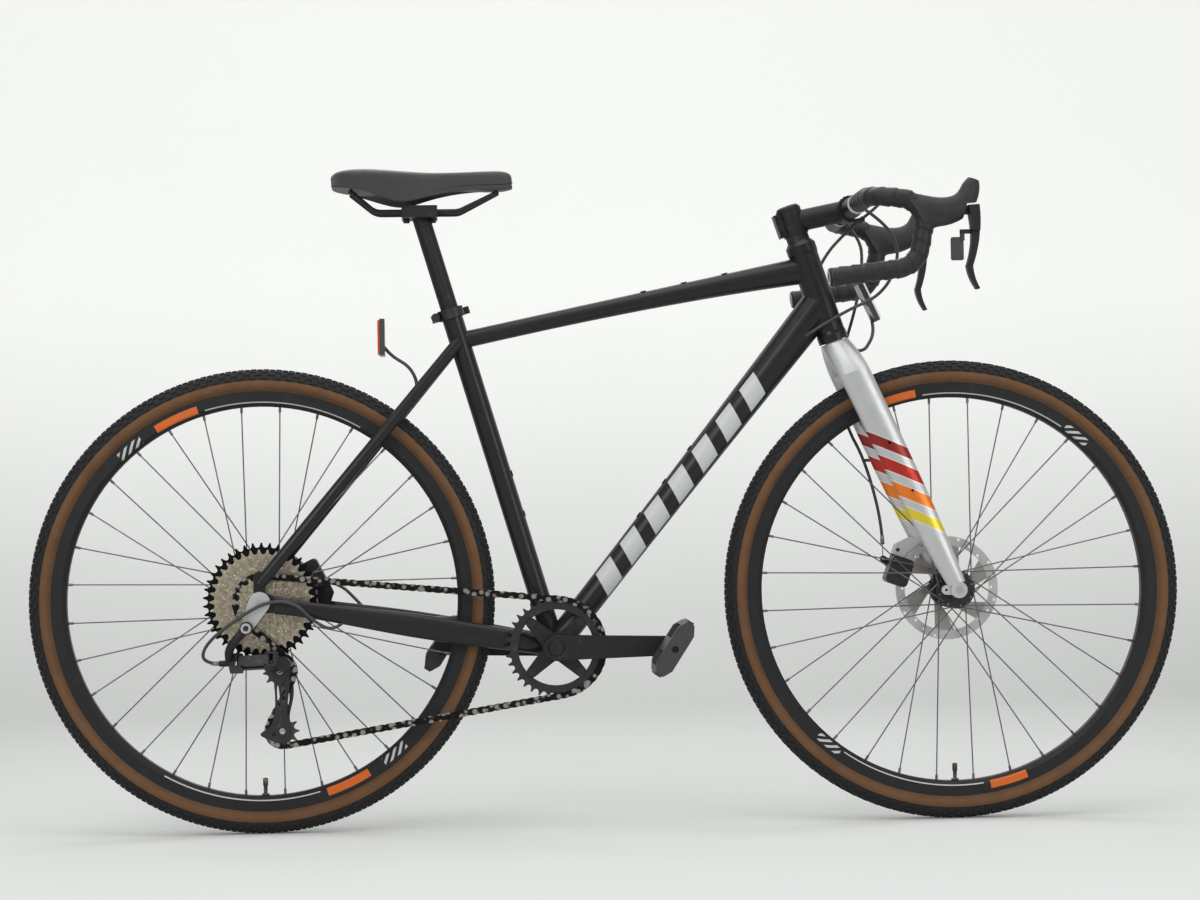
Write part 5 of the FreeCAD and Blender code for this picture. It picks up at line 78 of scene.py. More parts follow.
class Field:
    """A socket of a material's node tree that takes part in sums."""

    def __init__(self, surface: "Surface", socket: bpy.types.NodeSocket) -> None:
        """Keeps the surface that the socket belongs to."""
        self.surface = surface
        self.socket = socket

    def math(self, operation: str, *values: "Value") -> "Field":
        """A Math node on these values."""
        return self.surface.add("ShaderNodeMath", {"operation": operation}, dict(enumerate(values)))

    def __add__(self, other: "Value") -> "Field":
        """Sum with a number or another field."""
        return self.math("ADD", self, other)

    def __radd__(self, other: "Value") -> "Field":
        """Sum with a number on the left."""
        return self.math("ADD", other, self)

    def __sub__(self, other: "Value") -> "Field":
        """Difference from a number or another field."""
        return self.math("SUBTRACT", self, other)

    def __rsub__(self, other: "Value") -> "Field":
        """A number less this field."""
        return self.math("SUBTRACT", other, self)

    def __mul__(self, other: "Value") -> "Field":
        """Product with a number or another field."""
        return self.math("MULTIPLY", self, other)

    def __rmul__(self, other: "Value") -> "Field":
        """Product with a number on the left."""
        return self.math("MULTIPLY", other, self)

    def __truediv__(self, other: "Value") -> "Field":
        """Quotient by a number or another field."""
        return self.math("DIVIDE", self, other)

    def __mod__(self, other: "Value") -> "Field":
        """Remainder, never below zero."""
        return self.math("FLOORED_MODULO", self, other)

    def __abs__(self) -> "Field":
        """Size without its sign."""
        return self.math("ABSOLUTE", self)

    def __pow__(self, other: "Value") -> "Field":
        """Power of this field."""
        return self.math("POWER", self, other)

    def sine(self) -> "Field":
        """Sine of this field in radians."""
        return self.math("SINE", self)

    def most(self, other: "Value") -> "Field":
        """The larger of two values."""
        return self.math("MAXIMUM", self, other)

    def rise(self, low: float, high: float) -> "Field":
        """A smooth step from nought at low to one at high.

        Args:
            low: Value at which the step begins.
            high: Value at which it ends.

        Returns:
            The step as a field from nought to one.
        """
        settings = {"interpolation_type": "SMOOTHSTEP"}
        inputs = {"Value": self, "From Min": low, "From Max": high}
        return self.surface.add("ShaderNodeMapRange", settings, inputs)

    def band(self, low: float, high: float, soft: float) -> "Field":
        """A mask that is one between two values.

        Args:
            low: Where the band begins.
            high: Where it ends.
            soft: Width of its soft edges.

        Returns:
            The mask.
        """
        return self.rise(low - soft, low + soft) * (1 - self.rise(high - soft, high + soft))


Value = Field | float | Colour


class Surface:
    """A material whose nodes are written as expressions."""

    def __init__(self, name: str) -> None:
        """Makes an empty material with one shader and object coordinates."""
        self.material = bpy.data.materials.new(name)
        self.material.use_nodes = True
        self.tree = self.material.node_tree
        self.shader = self.tree.nodes["Principled BSDF"]
        self.place = self.add("ShaderNodeTexCoord", {}, {}, "Object")
        self.x, self.y, self.z = (
            self.add("ShaderNodeSeparateXYZ", {}, {"Vector": self.place}, axis) for axis in "XYZ"
        )

    def add(self, kind: str, settings: dict, inputs: dict, output: str | int = 0) -> Field:
        """Adds one node.

        Args:
            kind: Type of the node.
            settings: Properties that are set first.
            inputs: Values or fields for its sockets, by name or number.
            output: The socket that is handed back.

        Returns:
            The output as a field.
        """
        node = self.tree.nodes.new(kind)
        for key, value in settings.items():
            setattr(node, key, value)
        for key, value in inputs.items():
            self.join(node.inputs[key], value)
        return Field(self, node.outputs[output])

    def join(self, socket: bpy.types.NodeSocket, value: Value) -> None:
        """Links a field to a socket, or sets the socket's own value."""
        if isinstance(value, Field):
            self.tree.links.new(value.socket, socket)
        elif isinstance(value, tuple) and socket.type == "RGBA":
            socket.default_value = (*value, 1.0)
        else:
            socket.default_value = value

    def stretched(self, scale: Point) -> Field:
        """Object coordinates drawn out along the axes."""
        return self.add("ShaderNodeVectorMath", {"operation": "MULTIPLY"}, {0: self.place, 1: scale})

    def noise(self, scale: float, detail: float = 3.0, place: Field | None = None) -> Field:
        """Soft noise over the surface.

        Args:
            scale: How many lumps there are to a metre.
            detail: How many finer layers it has.
            place: Coordinates to use in place of the object's own.

        Returns:
            The noise as a field from nought to one.
        """
        inputs = {"Vector": place or self.place, "Scale": scale, "Detail": detail}
        return self.add("ShaderNodeTexNoise", {}, inputs)

    def cells(self, scale: float, feature: str = "F1") -> Field:
        """Distance to the nearest of scattered points, as in leather grain."""
        inputs = {"Vector": self.place, "Scale": scale}
        return self.add("ShaderNodeTexVoronoi", {"feature": feature}, inputs, "Distance")

    def mix(self, share: Value, first: Field | Colour, second: Field | Colour) -> Field:
        """A colour between two colours.

        Args:
            share: How much of the second colour there is.
            first: Colour at nought.
            second: Colour at one.

        Returns:
            The mixed colour.
        """
        settings = {"data_type": "RGBA"}
        return self.add("ShaderNodeMix", settings, {"Factor": share, 6: first, 7: second}, 2)

    def polar(self, centre_x: float, centre_z: float) -> tuple[Field, Field]:
        """Radius and turn about a sideways axle.

        Args:
            centre_x: Place of the axle along the bike.
            centre_z: Its height.

        Returns:
            The radius, and the turn in degrees from straight ahead.
        """
        ahead = self.x - centre_x
        up = self.z - centre_z
        radius = (ahead * ahead + up * up) ** 0.5
        turn = up.math("ARCTAN2", up, ahead) * math.degrees(1.0)
        return radius, turn

    def bump(self, height: Field, depth: float) -> Field:
        """A normal from a height.

        Args:
            height: Height as a share.
            depth: What a share of one is in metres.

        Returns:
            The normal.
        """
        return self.add("ShaderNodeBump", {}, {"Height": height, "Distance": depth}, "Normal")

    def finish(self, colour: Value, roughness: Value, normal: Field | None = None,
               **constants: float | Colour) -> bpy.types.Material:
        """Joins what was made to the shader.

        Args:
            colour: Base colour.
            roughness: How dull the surface is.
            normal: Normal of the fine relief.
            **constants: Other sockets, named with _ for a space, that are the same all over.

        Returns:
            The material.
        """
        self.join(self.shader.inputs["Base Color"], colour)
        self.join(self.shader.inputs["Roughness"], roughness)
        if normal is not None:
            self.join(self.shader.inputs["Normal"], normal)
        for key, value in constants.items():
            self.join(self.shader.inputs[key.replace("_", " ")], value)
        return self.material


# Finishes


@dataclass(frozen=True)
class Finish:
    """What a piece is covered with."""

    name: str

    def make(self) -> bpy.types.Material:
        """The finish as a material."""
        raise NotImplementedError


@dataclass(frozen=True)
class Paint(Finish):
    """Sprayed lacquer with fine flake, a faint waviness and a thin film of dust."""

    colour: Colour = (0.007, 0.007, 0.0075)
    flake: Colour = (0.014, 0.014, 0.0145)
    roughness: float = 0.38
    coat: float = 0.22
    metallic: float = 0.0
    depth: float = 0.00003

    def drawn(self, surface: Surface) -> Field:
        """Colour of the lacquer all over the piece."""
        speck = surface.noise(5200, 1).rise(0.56, 0.72)
        cloud = surface.noise(9, 4).rise(0.35, 0.8)
        return surface.mix(speck * 0.45 + cloud * 0.2, self.colour, self.flake)

    def make(self) -> bpy.types.Material:
        """The lacquer with its dust and waviness."""
        surface = Surface(self.name)
        dust = surface.noise(38, 5).rise(0.42, 0.78)
        peel = surface.noise(620, 2)
        return surface.finish(self.drawn(surface), self.roughness + dust * 0.12,
                              surface.bump(peel, self.depth),
                              Coat_Weight=self.coat, Coat_Roughness=0.16, Specular_IOR_Level=0.24,
                              Metallic=self.metallic)


@dataclass(frozen=True)
class Stripe:
    """One slanted band across a fork leg, by its two heights along the leg."""

    low: float
    high: float
    colour: Colour


@dataclass(frozen=True)
class ForkPaint(Paint):
    """Silver lacquer with coloured slanted bands on both legs."""

    colour: Colour = (0.48, 0.485, 0.49)
    flake: Colour = (0.62, 0.625, 0.63)
    roughness: float = 0.30
    metallic: float = 0.45
    foot: Point = (0.528, 0.0, 0.350)
    leg: tuple[float, float] = (-0.418, 0.908)
    slant: float = 1.1
    edge: float = 0.0026
    soft: float = 0.0004
    edge_colour: Colour = (0.62, 0.61, 0.60)
    stripes: tuple[Stripe, ...] = (
        Stripe(0.1085, 0.128, (0.66, 0.54, 0.04)),
        Stripe(0.1465, 0.1705, (0.74, 0.19, 0.02)),
        Stripe(0.190, 0.214, (0.42, 0.025, 0.014)),
        Stripe(0.232, 0.253, (0.25, 0.020, 0.016)),
    )

    def drawn(self, surface: Surface) -> Field:
        """Silver with its bands, each with a thin pale edge."""
        along_x, along_z = self.leg
        ahead = surface.x - self.foot[0]
        up = surface.z - self.foot[2]
        along = ahead * along_x + up * along_z
        across = ahead * along_z - up * along_x
        height = along + across * self.slant
        colour = super().drawn(surface)
        for stripe in self.stripes:
            rim = height.band(stripe.low - self.edge, stripe.high + self.edge, self.soft)
            core = height.band(stripe.low, stripe.high, self.soft)
            colour = surface.mix(rim, colour, self.edge_colour)
            colour = surface.mix(core, colour, stripe.colour)
        return colour


@dataclass(frozen=True)
class TubePaint(Paint):
    """Black lacquer with plain slanted silver bars along the down tube's sides."""

    start: tuple[float, float] = (-0.0855, 0.275)
    run: tuple[float, float] = (0.6265, 0.7794)
    first: float = 0.115
    last: float = 0.530
    pitch: float = 0.0593
    share: float = 0.62
    slant: float = 0.42
    half_height: float = 0.0175
    soft: float = 0.0004
    bar: Colour = (0.52, 0.53, 0.54)

    def drawn(self, surface: Surface) -> Field:
        """Black with the bars laid over it."""
        ahead = surface.x - self.start[0]
        up = surface.z - self.start[1]
        along = ahead * self.run[0] + up * self.run[1]
        across = up * self.run[0] - ahead * self.run[1]
        lean = along - across * self.slant
        step = ((lean - self.first) % self.pitch) / self.pitch
        bar = step.band(0.02, self.share, 0.008)
        inside = across.band(-self.half_height, self.half_height, self.soft)
        reach = lean.band(self.first, self.last, self.soft)
        return surface.mix(bar * inside * reach, super().drawn(surface), self.bar)


class Grain(Enum):
    """How a metal surface was worked."""

    BLASTED = "blasted"
    DRAWN = "drawn"
    TURNED = "turned"


@dataclass(frozen=True)
class Metal(Finish):
    """Bare or anodised metal with the marks of how it was worked."""

    colour: Colour = (0.035, 0.035, 0.038)
    worn: Colour = (0.11, 0.11, 0.115)
    roughness: float = 0.36
    grain: Grain = Grain.BLASTED
    centre: tuple[float, float] = (0.0, 0.0)
    metallic: float = 0.85
    depth: float = 0.00002

    def relief(self, surface: Surface) -> Field:
        """Fine marks that the work left."""
        if self.grain is Grain.TURNED:
            radius, _ = surface.polar(*self.centre)
            ripple = (radius * 9000).sine() * 0.5 + 0.5
            return ripple * 0.6 + surface.noise(420, 2) * 0.4
        if self.grain is Grain.DRAWN:
            return surface.noise(160, 3, surface.stretched((0.25, 6.0, 0.25)))
        return surface.noise(2400, 2)

    def make(self) -> bpy.types.Material:
        """The metal with scuffs that show a brighter tone."""
        surface = Surface(self.name)
        scuff = surface.noise(70, 6).rise(0.57, 0.8)
        fine = surface.noise(900, 2)
        colour = surface.mix(scuff * 0.55 + fine * 0.18, self.colour, self.worn)
        roughness = self.roughness + fine * 0.14 - scuff * 0.06
        return surface.finish(colour, roughness, surface.bump(self.relief(surface), self.depth),
                              Metallic=self.metallic)


@dataclass(frozen=True)
class CogMetal(Metal):
    """Nickel cogs, with the largest one and its carrier black."""

    dark: Colour = (0.012, 0.012, 0.013)
    dark_from: float = -0.0275
    # colour of the painted glints on the teeth
    glint: Colour = (0.86, 0.83, 0.76)
    outer_cog: float = -0.0638
    spacing: float = 0.00395
    soft: float = 0.0003

    def make(self) -> bpy.types.Material:
        """Nickel cogs with grease, painted shade that alternates from cog to cog, painted glints, and a
        black large cog.
        """
        surface = Surface(self.name)
        grease = surface.noise(130, 5).rise(0.45, 0.75)
        large = surface.y.rise(self.dark_from - self.soft, self.dark_from + self.soft)
        place = (surface.y - self.outer_cog) / self.spacing
        # painted shade: the cogs turn lighter and darker in turn along the axle, standing in for the shade
        # between them
        painted_cog_shade = (place * math.pi + math.pi / 2).sine() * 0.5 + 0.5
        # painted highlight: scattered bright spots stand in for glints on the teeth
        spark = 1 - surface.cells(230).rise(0.14, 0.30)
        # the worn colour here serves both the grease and the painted shade
        nickel = surface.mix(grease * 0.4 + painted_cog_shade * 0.45, self.colour, self.worn)
        nickel = surface.mix(spark * 0.75, nickel, self.glint)
        colour = surface.mix(large, nickel, self.dark)
        roughness = self.roughness + grease * 0.2
        return surface.finish(colour, roughness, surface.bump(self.relief(surface), self.depth),
                              Metallic=self.metallic)


@dataclass(frozen=True)
class ChainMetal(Metal):
    """Chain steel, with patches of painted shade for the dark gaps between its links and bare steel bright
    between them.
    """

    # colour of the painted shade in the gaps between links
    painted_link_shade: Colour = (0.016, 0.015, 0.014)
    link_scale: float = 105.0

    def make(self) -> bpy.types.Material:
        """Steel under patches of painted shade about as long as a link, for the gaps between links."""
        surface = Surface(self.name)
        # painted shade: dark cells about a link long stand in for the shade between links
        link_shade_patch = surface.cells(self.link_scale).rise(0.30, 0.52)
        fine = surface.noise(900, 2)
        steel = surface.mix(fine, self.colour, self.worn)
        colour = surface.mix(link_shade_patch, steel, self.painted_link_shade)
        return surface.finish(colour, self.roughness + link_shade_patch * 0.2, surface.bump(fine, self.depth),
                              Metallic=self.metallic)


@dataclass(frozen=True)
class DiscMetal(Metal):
    """Ground steel disc with a rubbed track and a darker tint inside it."""

    depth: float = 0.000015
    track: float = 0.066
    tint: Colour = (0.30, 0.27, 0.24)
    tint_end: float = 0.002
    rub_end: float = 0.001
    ring_count: float = 14000.0

    def make(self) -> bpy.types.Material:
        """Ground steel with fine rings."""
        surface = Surface(self.name)
        radius, _ = surface.polar(*self.centre)
        rubbed = radius.rise(self.track - self.tint_end, self.track + self.rub_end)
        ring = (radius * self.ring_count).sine() * 0.5 + 0.5
        smear = surface.noise(46, 4)
        colour = surface.mix(rubbed * 0.7 + smear * 0.3, self.tint, self.colour)
        roughness = self.roughness + ring * 0.1 + smear * 0.1
        return surface.finish(colour, roughness, surface.bump(ring, self.depth), Metallic=self.metallic)


@dataclass(frozen=True)
class RimMarks:
    """Where a rim's plain marks begin, in degrees, on one half turn of it."""

    arc: tuple[float, float]
    bar: tuple[float, float]
    dashes: tuple[float, float]


@dataclass(frozen=True)
class RimPaint(Finish):
    """Black anodised rim with thin pale arcs, plain orange bars and short dashes."""

    centre: tuple[float, float] = (0.0, 0.0)
    marks: RimMarks = RimMarks((60.0, 106.0), (108.0, 121.0), (126.0, 134.0))
    colour: Colour = (0.012, 0.012, 0.013)
    worn: Colour = (0.03, 0.03, 0.032)
    pale: Colour = (0.50, 0.50, 0.49)
    orange: Colour = (0.62, 0.13, 0.02)
    line: tuple[float, float] = (0.2995, 0.3012)
    bar_radii: tuple[float, float] = (0.2985, 0.3105)
    dash_pitch: float = 2.7
    dash_slant: float = 260.0
    line_soft: float = 0.0002
    bar_soft: float = 0.0003
    soft_turn: float = 0.1
    depth: float = 0.00002

    def make(self) -> bpy.types.Material:
        """The rim with its marks, the same on each half turn."""
        surface = Surface(self.name)
        radius, turn = surface.polar(*self.centre)
        half = turn % 180.0
        thin = radius.band(*self.line, self.line_soft) * half.band(*self.marks.arc, self.soft_turn)
        wide = radius.band(*self.bar_radii, self.bar_soft)
        bar = wide * half.band(*self.marks.bar, self.soft_turn)
        lean = half + radius * self.dash_slant
        step = (lean % self.dash_pitch) / self.dash_pitch
        dash = wide * half.band(*self.marks.dashes, self.soft_turn) * step.band(0.05, 0.5, 0.02)
        fine = surface.noise(1500, 2)
        scuff = surface.noise(52, 5).rise(0.55, 0.8)
        base = surface.mix(scuff * 0.4 + fine * 0.12, self.colour, self.worn)
        marked = surface.mix(thin.most(dash), base, self.pale)
        colour = surface.mix(bar, marked, self.orange)
        return surface.finish(colour, 0.38 + fine * 0.12, surface.bump(fine, self.depth),
                              Specular_IOR_Level=0.26)


@dataclass(frozen=True)
class TyreRubber(Finish):
    """Black tread that runs down to tan walls with the casing's cords showing, and painted shade on the
    walls towards the rim.
    """

    centre: tuple[float, float] = (0.0, 0.0)
    tread: Colour = (0.018, 0.018, 0.019)
    tan: Colour = (0.150, 0.074, 0.033)
    # darker tan for grime, for the cords and for the painted shade towards the rim
    shade: Colour = (0.082, 0.043, 0.023)
    dusty: Colour = (0.032, 0.031, 0.030)
    tread_radius: float = 0.3333
    waver: float = 0.0007
    soft: float = 0.0004
    # radii over which the painted shade towards the rim fades out
    shaded: tuple[float, float] = (0.317, 0.326)
    cord_count: float = 620.0
    cord_slant: float = 1500.0
    depth: float = 0.00012

    def make(self) -> bpy.types.Material:
        """Tread and walls, split by their radius."""
        surface = Surface(self.name)
        radius, turn = surface.polar(*self.centre)
        edge = radius + surface.noise(240, 2) * self.waver
        wall = 1 - edge.rise(self.tread_radius - self.soft, self.tread_radius + self.soft)
        around = turn * math.radians(self.cord_count)
        cord = (around + radius * self.cord_slant).sine() * 0.5 + 0.5
        cross = (around - radius * self.cord_slant).sine() * 0.5 + 0.5
        weave = cord * 0.5 + cross * 0.5
        grime = surface.noise(34, 5).rise(0.35, 0.75)
        # painted shade: the wall darkens towards the rim, fading out between the shaded radii
        low = 1 - radius.rise(*self.shaded)
        tan = surface.mix(grime * 0.35 + weave * 0.2 + low * 0.45, self.tan, self.shade)
        dust = surface.noise(70, 5).rise(0.45, 0.8)
        black = surface.mix(dust * 0.5, self.tread, self.dusty)
        pebble = surface.noise(1700, 2)
        height = wall * weave + (1 - wall) * pebble
        return surface.finish(surface.mix(wall, black, tan), 0.62 + dust * 0.2,
                              surface.bump(height, self.depth), Specular_IOR_Level=0.2)


@dataclass(frozen=True)
class Rubber(Finish):
    """Moulded rubber or cork tape, matt and finely pebbled."""

    colour: Colour = (0.011, 0.011, 0.012)
    worn: Colour = (0.028, 0.028, 0.029)
    pebble: float = 2100.0
    depth: float = 0.00008
    roughness: float = 0.44

    def make(self) -> bpy.types.Material:
        """The rubber with paler rubbed places."""
        surface = Surface(self.name)
        grain = surface.cells(self.pebble)
        rubbed = surface.noise(45, 5).rise(0.5, 0.8)
        colour = surface.mix(rubbed * 0.5 + grain * 0.2, self.colour, self.worn)
        return surface.finish(colour, self.roughness - rubbed * 0.1, surface.bump(grain, self.depth),
                              Specular_IOR_Level=0.35)


@dataclass(frozen=True)
class Leather(Finish):
    """Smooth synthetic leather with a pebbled grain and soft sheen."""

    colour: Colour = (0.028, 0.028, 0.029)
    crest: Colour = (0.062, 0.062, 0.063)
    depth: float = 0.00016

    def make(self) -> bpy.types.Material:
        """The leather's grain in colour, gloss and relief."""
        surface = Surface(self.name)
        grain = surface.cells(950, "SMOOTH_F1")
        crease = surface.noise(420, 4)
        polish = surface.noise(16, 3).rise(0.35, 0.75)
        colour = surface.mix(grain * 0.5 + crease * 0.25, self.colour, self.crest)
        height = grain * 0.7 + crease * 0.3
        return surface.finish(colour, 0.50 - polish * 0.12 + crease * 0.1, surface.bump(height, self.depth),
                              Sheen_Weight=0.12, Sheen_Roughness=0.5, Specular_IOR_Level=0.45)


@dataclass(frozen=True)
class Plastic(Finish):
    """Moulded plastic with a spark-textured skin."""

    colour: Colour = (0.030, 0.030, 0.031)
    pale: Colour = (0.058, 0.058, 0.060)
    roughness: float = 0.46
    depth: float = 0.00004

    def make(self) -> bpy.types.Material:
        """The plastic with its fine skin."""
        surface = Surface(self.name)
        skin = surface.noise(2600, 2)
        rub = surface.noise(60, 5).rise(0.5, 0.8)
        colour = surface.mix(skin * 0.3 + rub * 0.4, self.colour, self.pale)
        return surface.finish(colour, self.roughness + skin * 0.12, surface.bump(skin, self.depth))


@dataclass(frozen=True)
class LensPlastic(Finish):
    """Reflector lens with rows of small prisms that carry a painted highlight on their crests, in a black
    holder.
    """

    colour: Colour = (0.55, 0.012, 0.010)
    # colour of the painted highlight on the prisms' crests
    bright: Colour = (0.86, 0.10, 0.07)
    holder: Colour = (0.022, 0.022, 0.023)
    face: tuple[float, float] = (0.0, 1.0)
    along: Point = (1.0, 0.0, 0.0)
    pitch: float = 0.0032
    depth: float = 0.0006

    def make(self) -> bpy.types.Material:
        """Prisms on the lens, which is told from its holder by its place along one way."""
        surface = Surface(self.name)
        reach = surface.x * self.along[0] + surface.y * self.along[1] + surface.z * self.along[2]
        lens = reach.rise(*self.face)
        row = abs((surface.y / self.pitch) % 1.0 - 0.5)
        column = abs((surface.z / self.pitch) % 1.0 - 0.5)
        prism = row + column
        # painted highlight: the lens is coloured brighter towards the prisms' crests
        glass = surface.mix(prism, self.colour, self.bright)
        colour = surface.mix(lens, self.holder, glass)
        roughness = 0.45 - lens * 0.33
        return surface.finish(colour, roughness, surface.bump(prism * lens, self.depth), Coat_Weight=0.6,
                              Coat_Roughness=0.05)


@dataclass(frozen=True)
class PlainPaper(Finish):
    """Pale studio floor and backdrop with a very faint mottle."""

    colour: Colour = (0.635, 0.65, 0.635)
    pale: Colour = (0.66, 0.675, 0.66)
    glow: Colour = (0.45, 0.455, 0.44)
    glow_from: tuple[float, float] = (-0.3, 1.2)

    def make(self) -> bpy.types.Material:
        """The paper, dull all over, and clear from behind so that it hides nothing."""
        surface = Surface(self.name)
        mottle = surface.noise(2.2, 3)
        seen, mirrored, through = (
            surface.add("ShaderNodeLightPath", {}, {}, f"Is {kind} Ray")
            for kind in ("Camera", "Glossy", "Transmission")
        )
        high = surface.z.rise(*self.glow_from) * (seen + mirrored + through)
        glow = surface.mix(high, (0.0, 0.0, 0.0), self.glow)
        behind = surface.add("ShaderNodeNewGeometry", {}, {}, "Backfacing")
        return surface.finish(surface.mix(mottle, self.colour, self.pale), 0.9, Specular_IOR_Level=0.1,
                              Emission_Color=glow, Emission_Strength=1.0, Alpha=1 - behind)


# Mesh tools


def solid(name: str, points: Sequence[Vector], faces: Sequence[Sequence[int]], material: bpy.types.Material,
          smooth: bool = True) -> bpy.types.Object:
    """Makes an object from points and faces.

    Args:
        name: Name of the piece.
        points: Places in the bike's frame.
        faces: Corner numbers of each face.
        material: What covers it.
        smooth: Whether its faces shade into each other.

    Returns:
        The object, linked to the scene.
    """
    mesh = bpy.data.meshes.new(name)
    mesh.from_pydata([tuple(point) for point in points], [], [tuple(face) for face in faces])
    mesh.polygons.foreach_set("use_smooth", [smooth] * len(mesh.polygons))
    mesh.materials.append(material)
    mesh.update()
    piece = bpy.data.objects.new(name, mesh)
    bpy.context.scene.collection.objects.link(piece)
    return piece


def grid_faces(rows: int, columns: int, first: int = 0) -> list[tuple[int, int, int, int]]:
    """Faces between rings of points, closed round each ring.

    Args:
        rows: Number of rings.
        columns: Points in each ring.
        first: Number of the first point.

    Returns:
        Four corners for each face.
    """
    faces = []
    for row in range(rows - 1):
        for column in range(columns):
            beside = (column + 1) % columns
            low = first + row * columns
            high = low + columns
            faces.append((low + column, low + beside, high + beside, high + column))
    return faces


def lathe(name: str, profile: Profile, centre: Vector, axis: Vector, count: int,
          material: bpy.types.Material) -> bpy.types.Object:
    """Turns a profile about an axis.

    Args:
        name: Name of the piece.
        profile: Radius and place along the axis of each point.
        centre: A point of the axis.
        axis: Its direction.
        count: Points round a turn.
        material: What covers it.

    Returns:
        The object, linked to the scene.
    """
    side = axis.orthogonal().normalized()
    points = []
    for radius, along in profile:
        for index in range(count):
            spoke = Quaternion(axis, math.tau * index / count) @ side
            points.append(centre + axis * along + spoke * radius)
    return solid(name, points, grid_faces(len(profile), count), material)


def carried(piece: bpy.types.Object, body: str) -> bpy.types.Object:
    """Lets a piece move with a body."""
    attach(piece, body)
    return piece


def smoothed(piece: bpy.types.Object, levels: int) -> bpy.types.Object:
    """Rounds a piece with a subdivision surface and keeps the result as its mesh."""
    modifier = piece.modifiers.new("round", "SUBSURF")
    modifier.levels = levels
    modifier.render_levels = levels
    graph = bpy.context.evaluated_depsgraph_get()
    mesh = bpy.data.meshes.new_from_object(piece.evaluated_get(graph))
    piece.modifiers.clear()
    piece.data = mesh
    return piece


def housing(name: str, route: Sequence[Point], radius: float,
            material: bpy.types.Material) -> bpy.types.Object:
    """A smooth tube along a route.

    Args:
        name: Name of the piece.
        route: Points that steer the line.
        radius: Radius of the tube.
        material: What covers it.

    Returns:
        The tube as a mesh.
    """
    curve = bpy.data.curves.new(name + "_line", "CURVE")
    curve.dimensions = "3D"
    spline = curve.splines.new("NURBS")
    spline.points.add(len(route) - 1)
    for point, place in zip(spline.points, route):
        point.co = (*place, 1.0)
    spline.order_u = LINE_ORDER
    spline.use_endpoint_u = True
    spline.resolution_u = LINE_STEPS
    curve.bevel_depth = radius
    curve.bevel_resolution = TUBE_STEPS
    curve.use_fill_caps = True
    guide = bpy.data.objects.new(name + "_line", curve)
    bpy.context.scene.collection.objects.link(guide)
    graph = bpy.context.evaluated_depsgraph_get()
    mesh = bpy.data.meshes.new_from_object(guide.evaluated_get(graph))
    bpy.data.objects.remove(guide)
    bpy.data.curves.remove(curve)
    mesh.name = name
    mesh.materials.clear()
    mesh.materials.append(material)
    mesh.polygons.foreach_set("use_smooth", [True] * len(mesh.polygons))
    piece = bpy.data.objects.new(name, mesh)
    bpy.context.scene.collection.objects.link(piece)
    return piece


def dressed(node: str, material: bpy.types.Material) -> None:
    """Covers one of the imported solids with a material."""
    slots = frame["nodes"][node].data.materials
    slots.clear()
    slots.append(material)


# Studio


@dataclass
class Lamp:
    """One soft box."""

    name: str
    place: Point
    aim: Point
    width: float
    height: float
    power: float


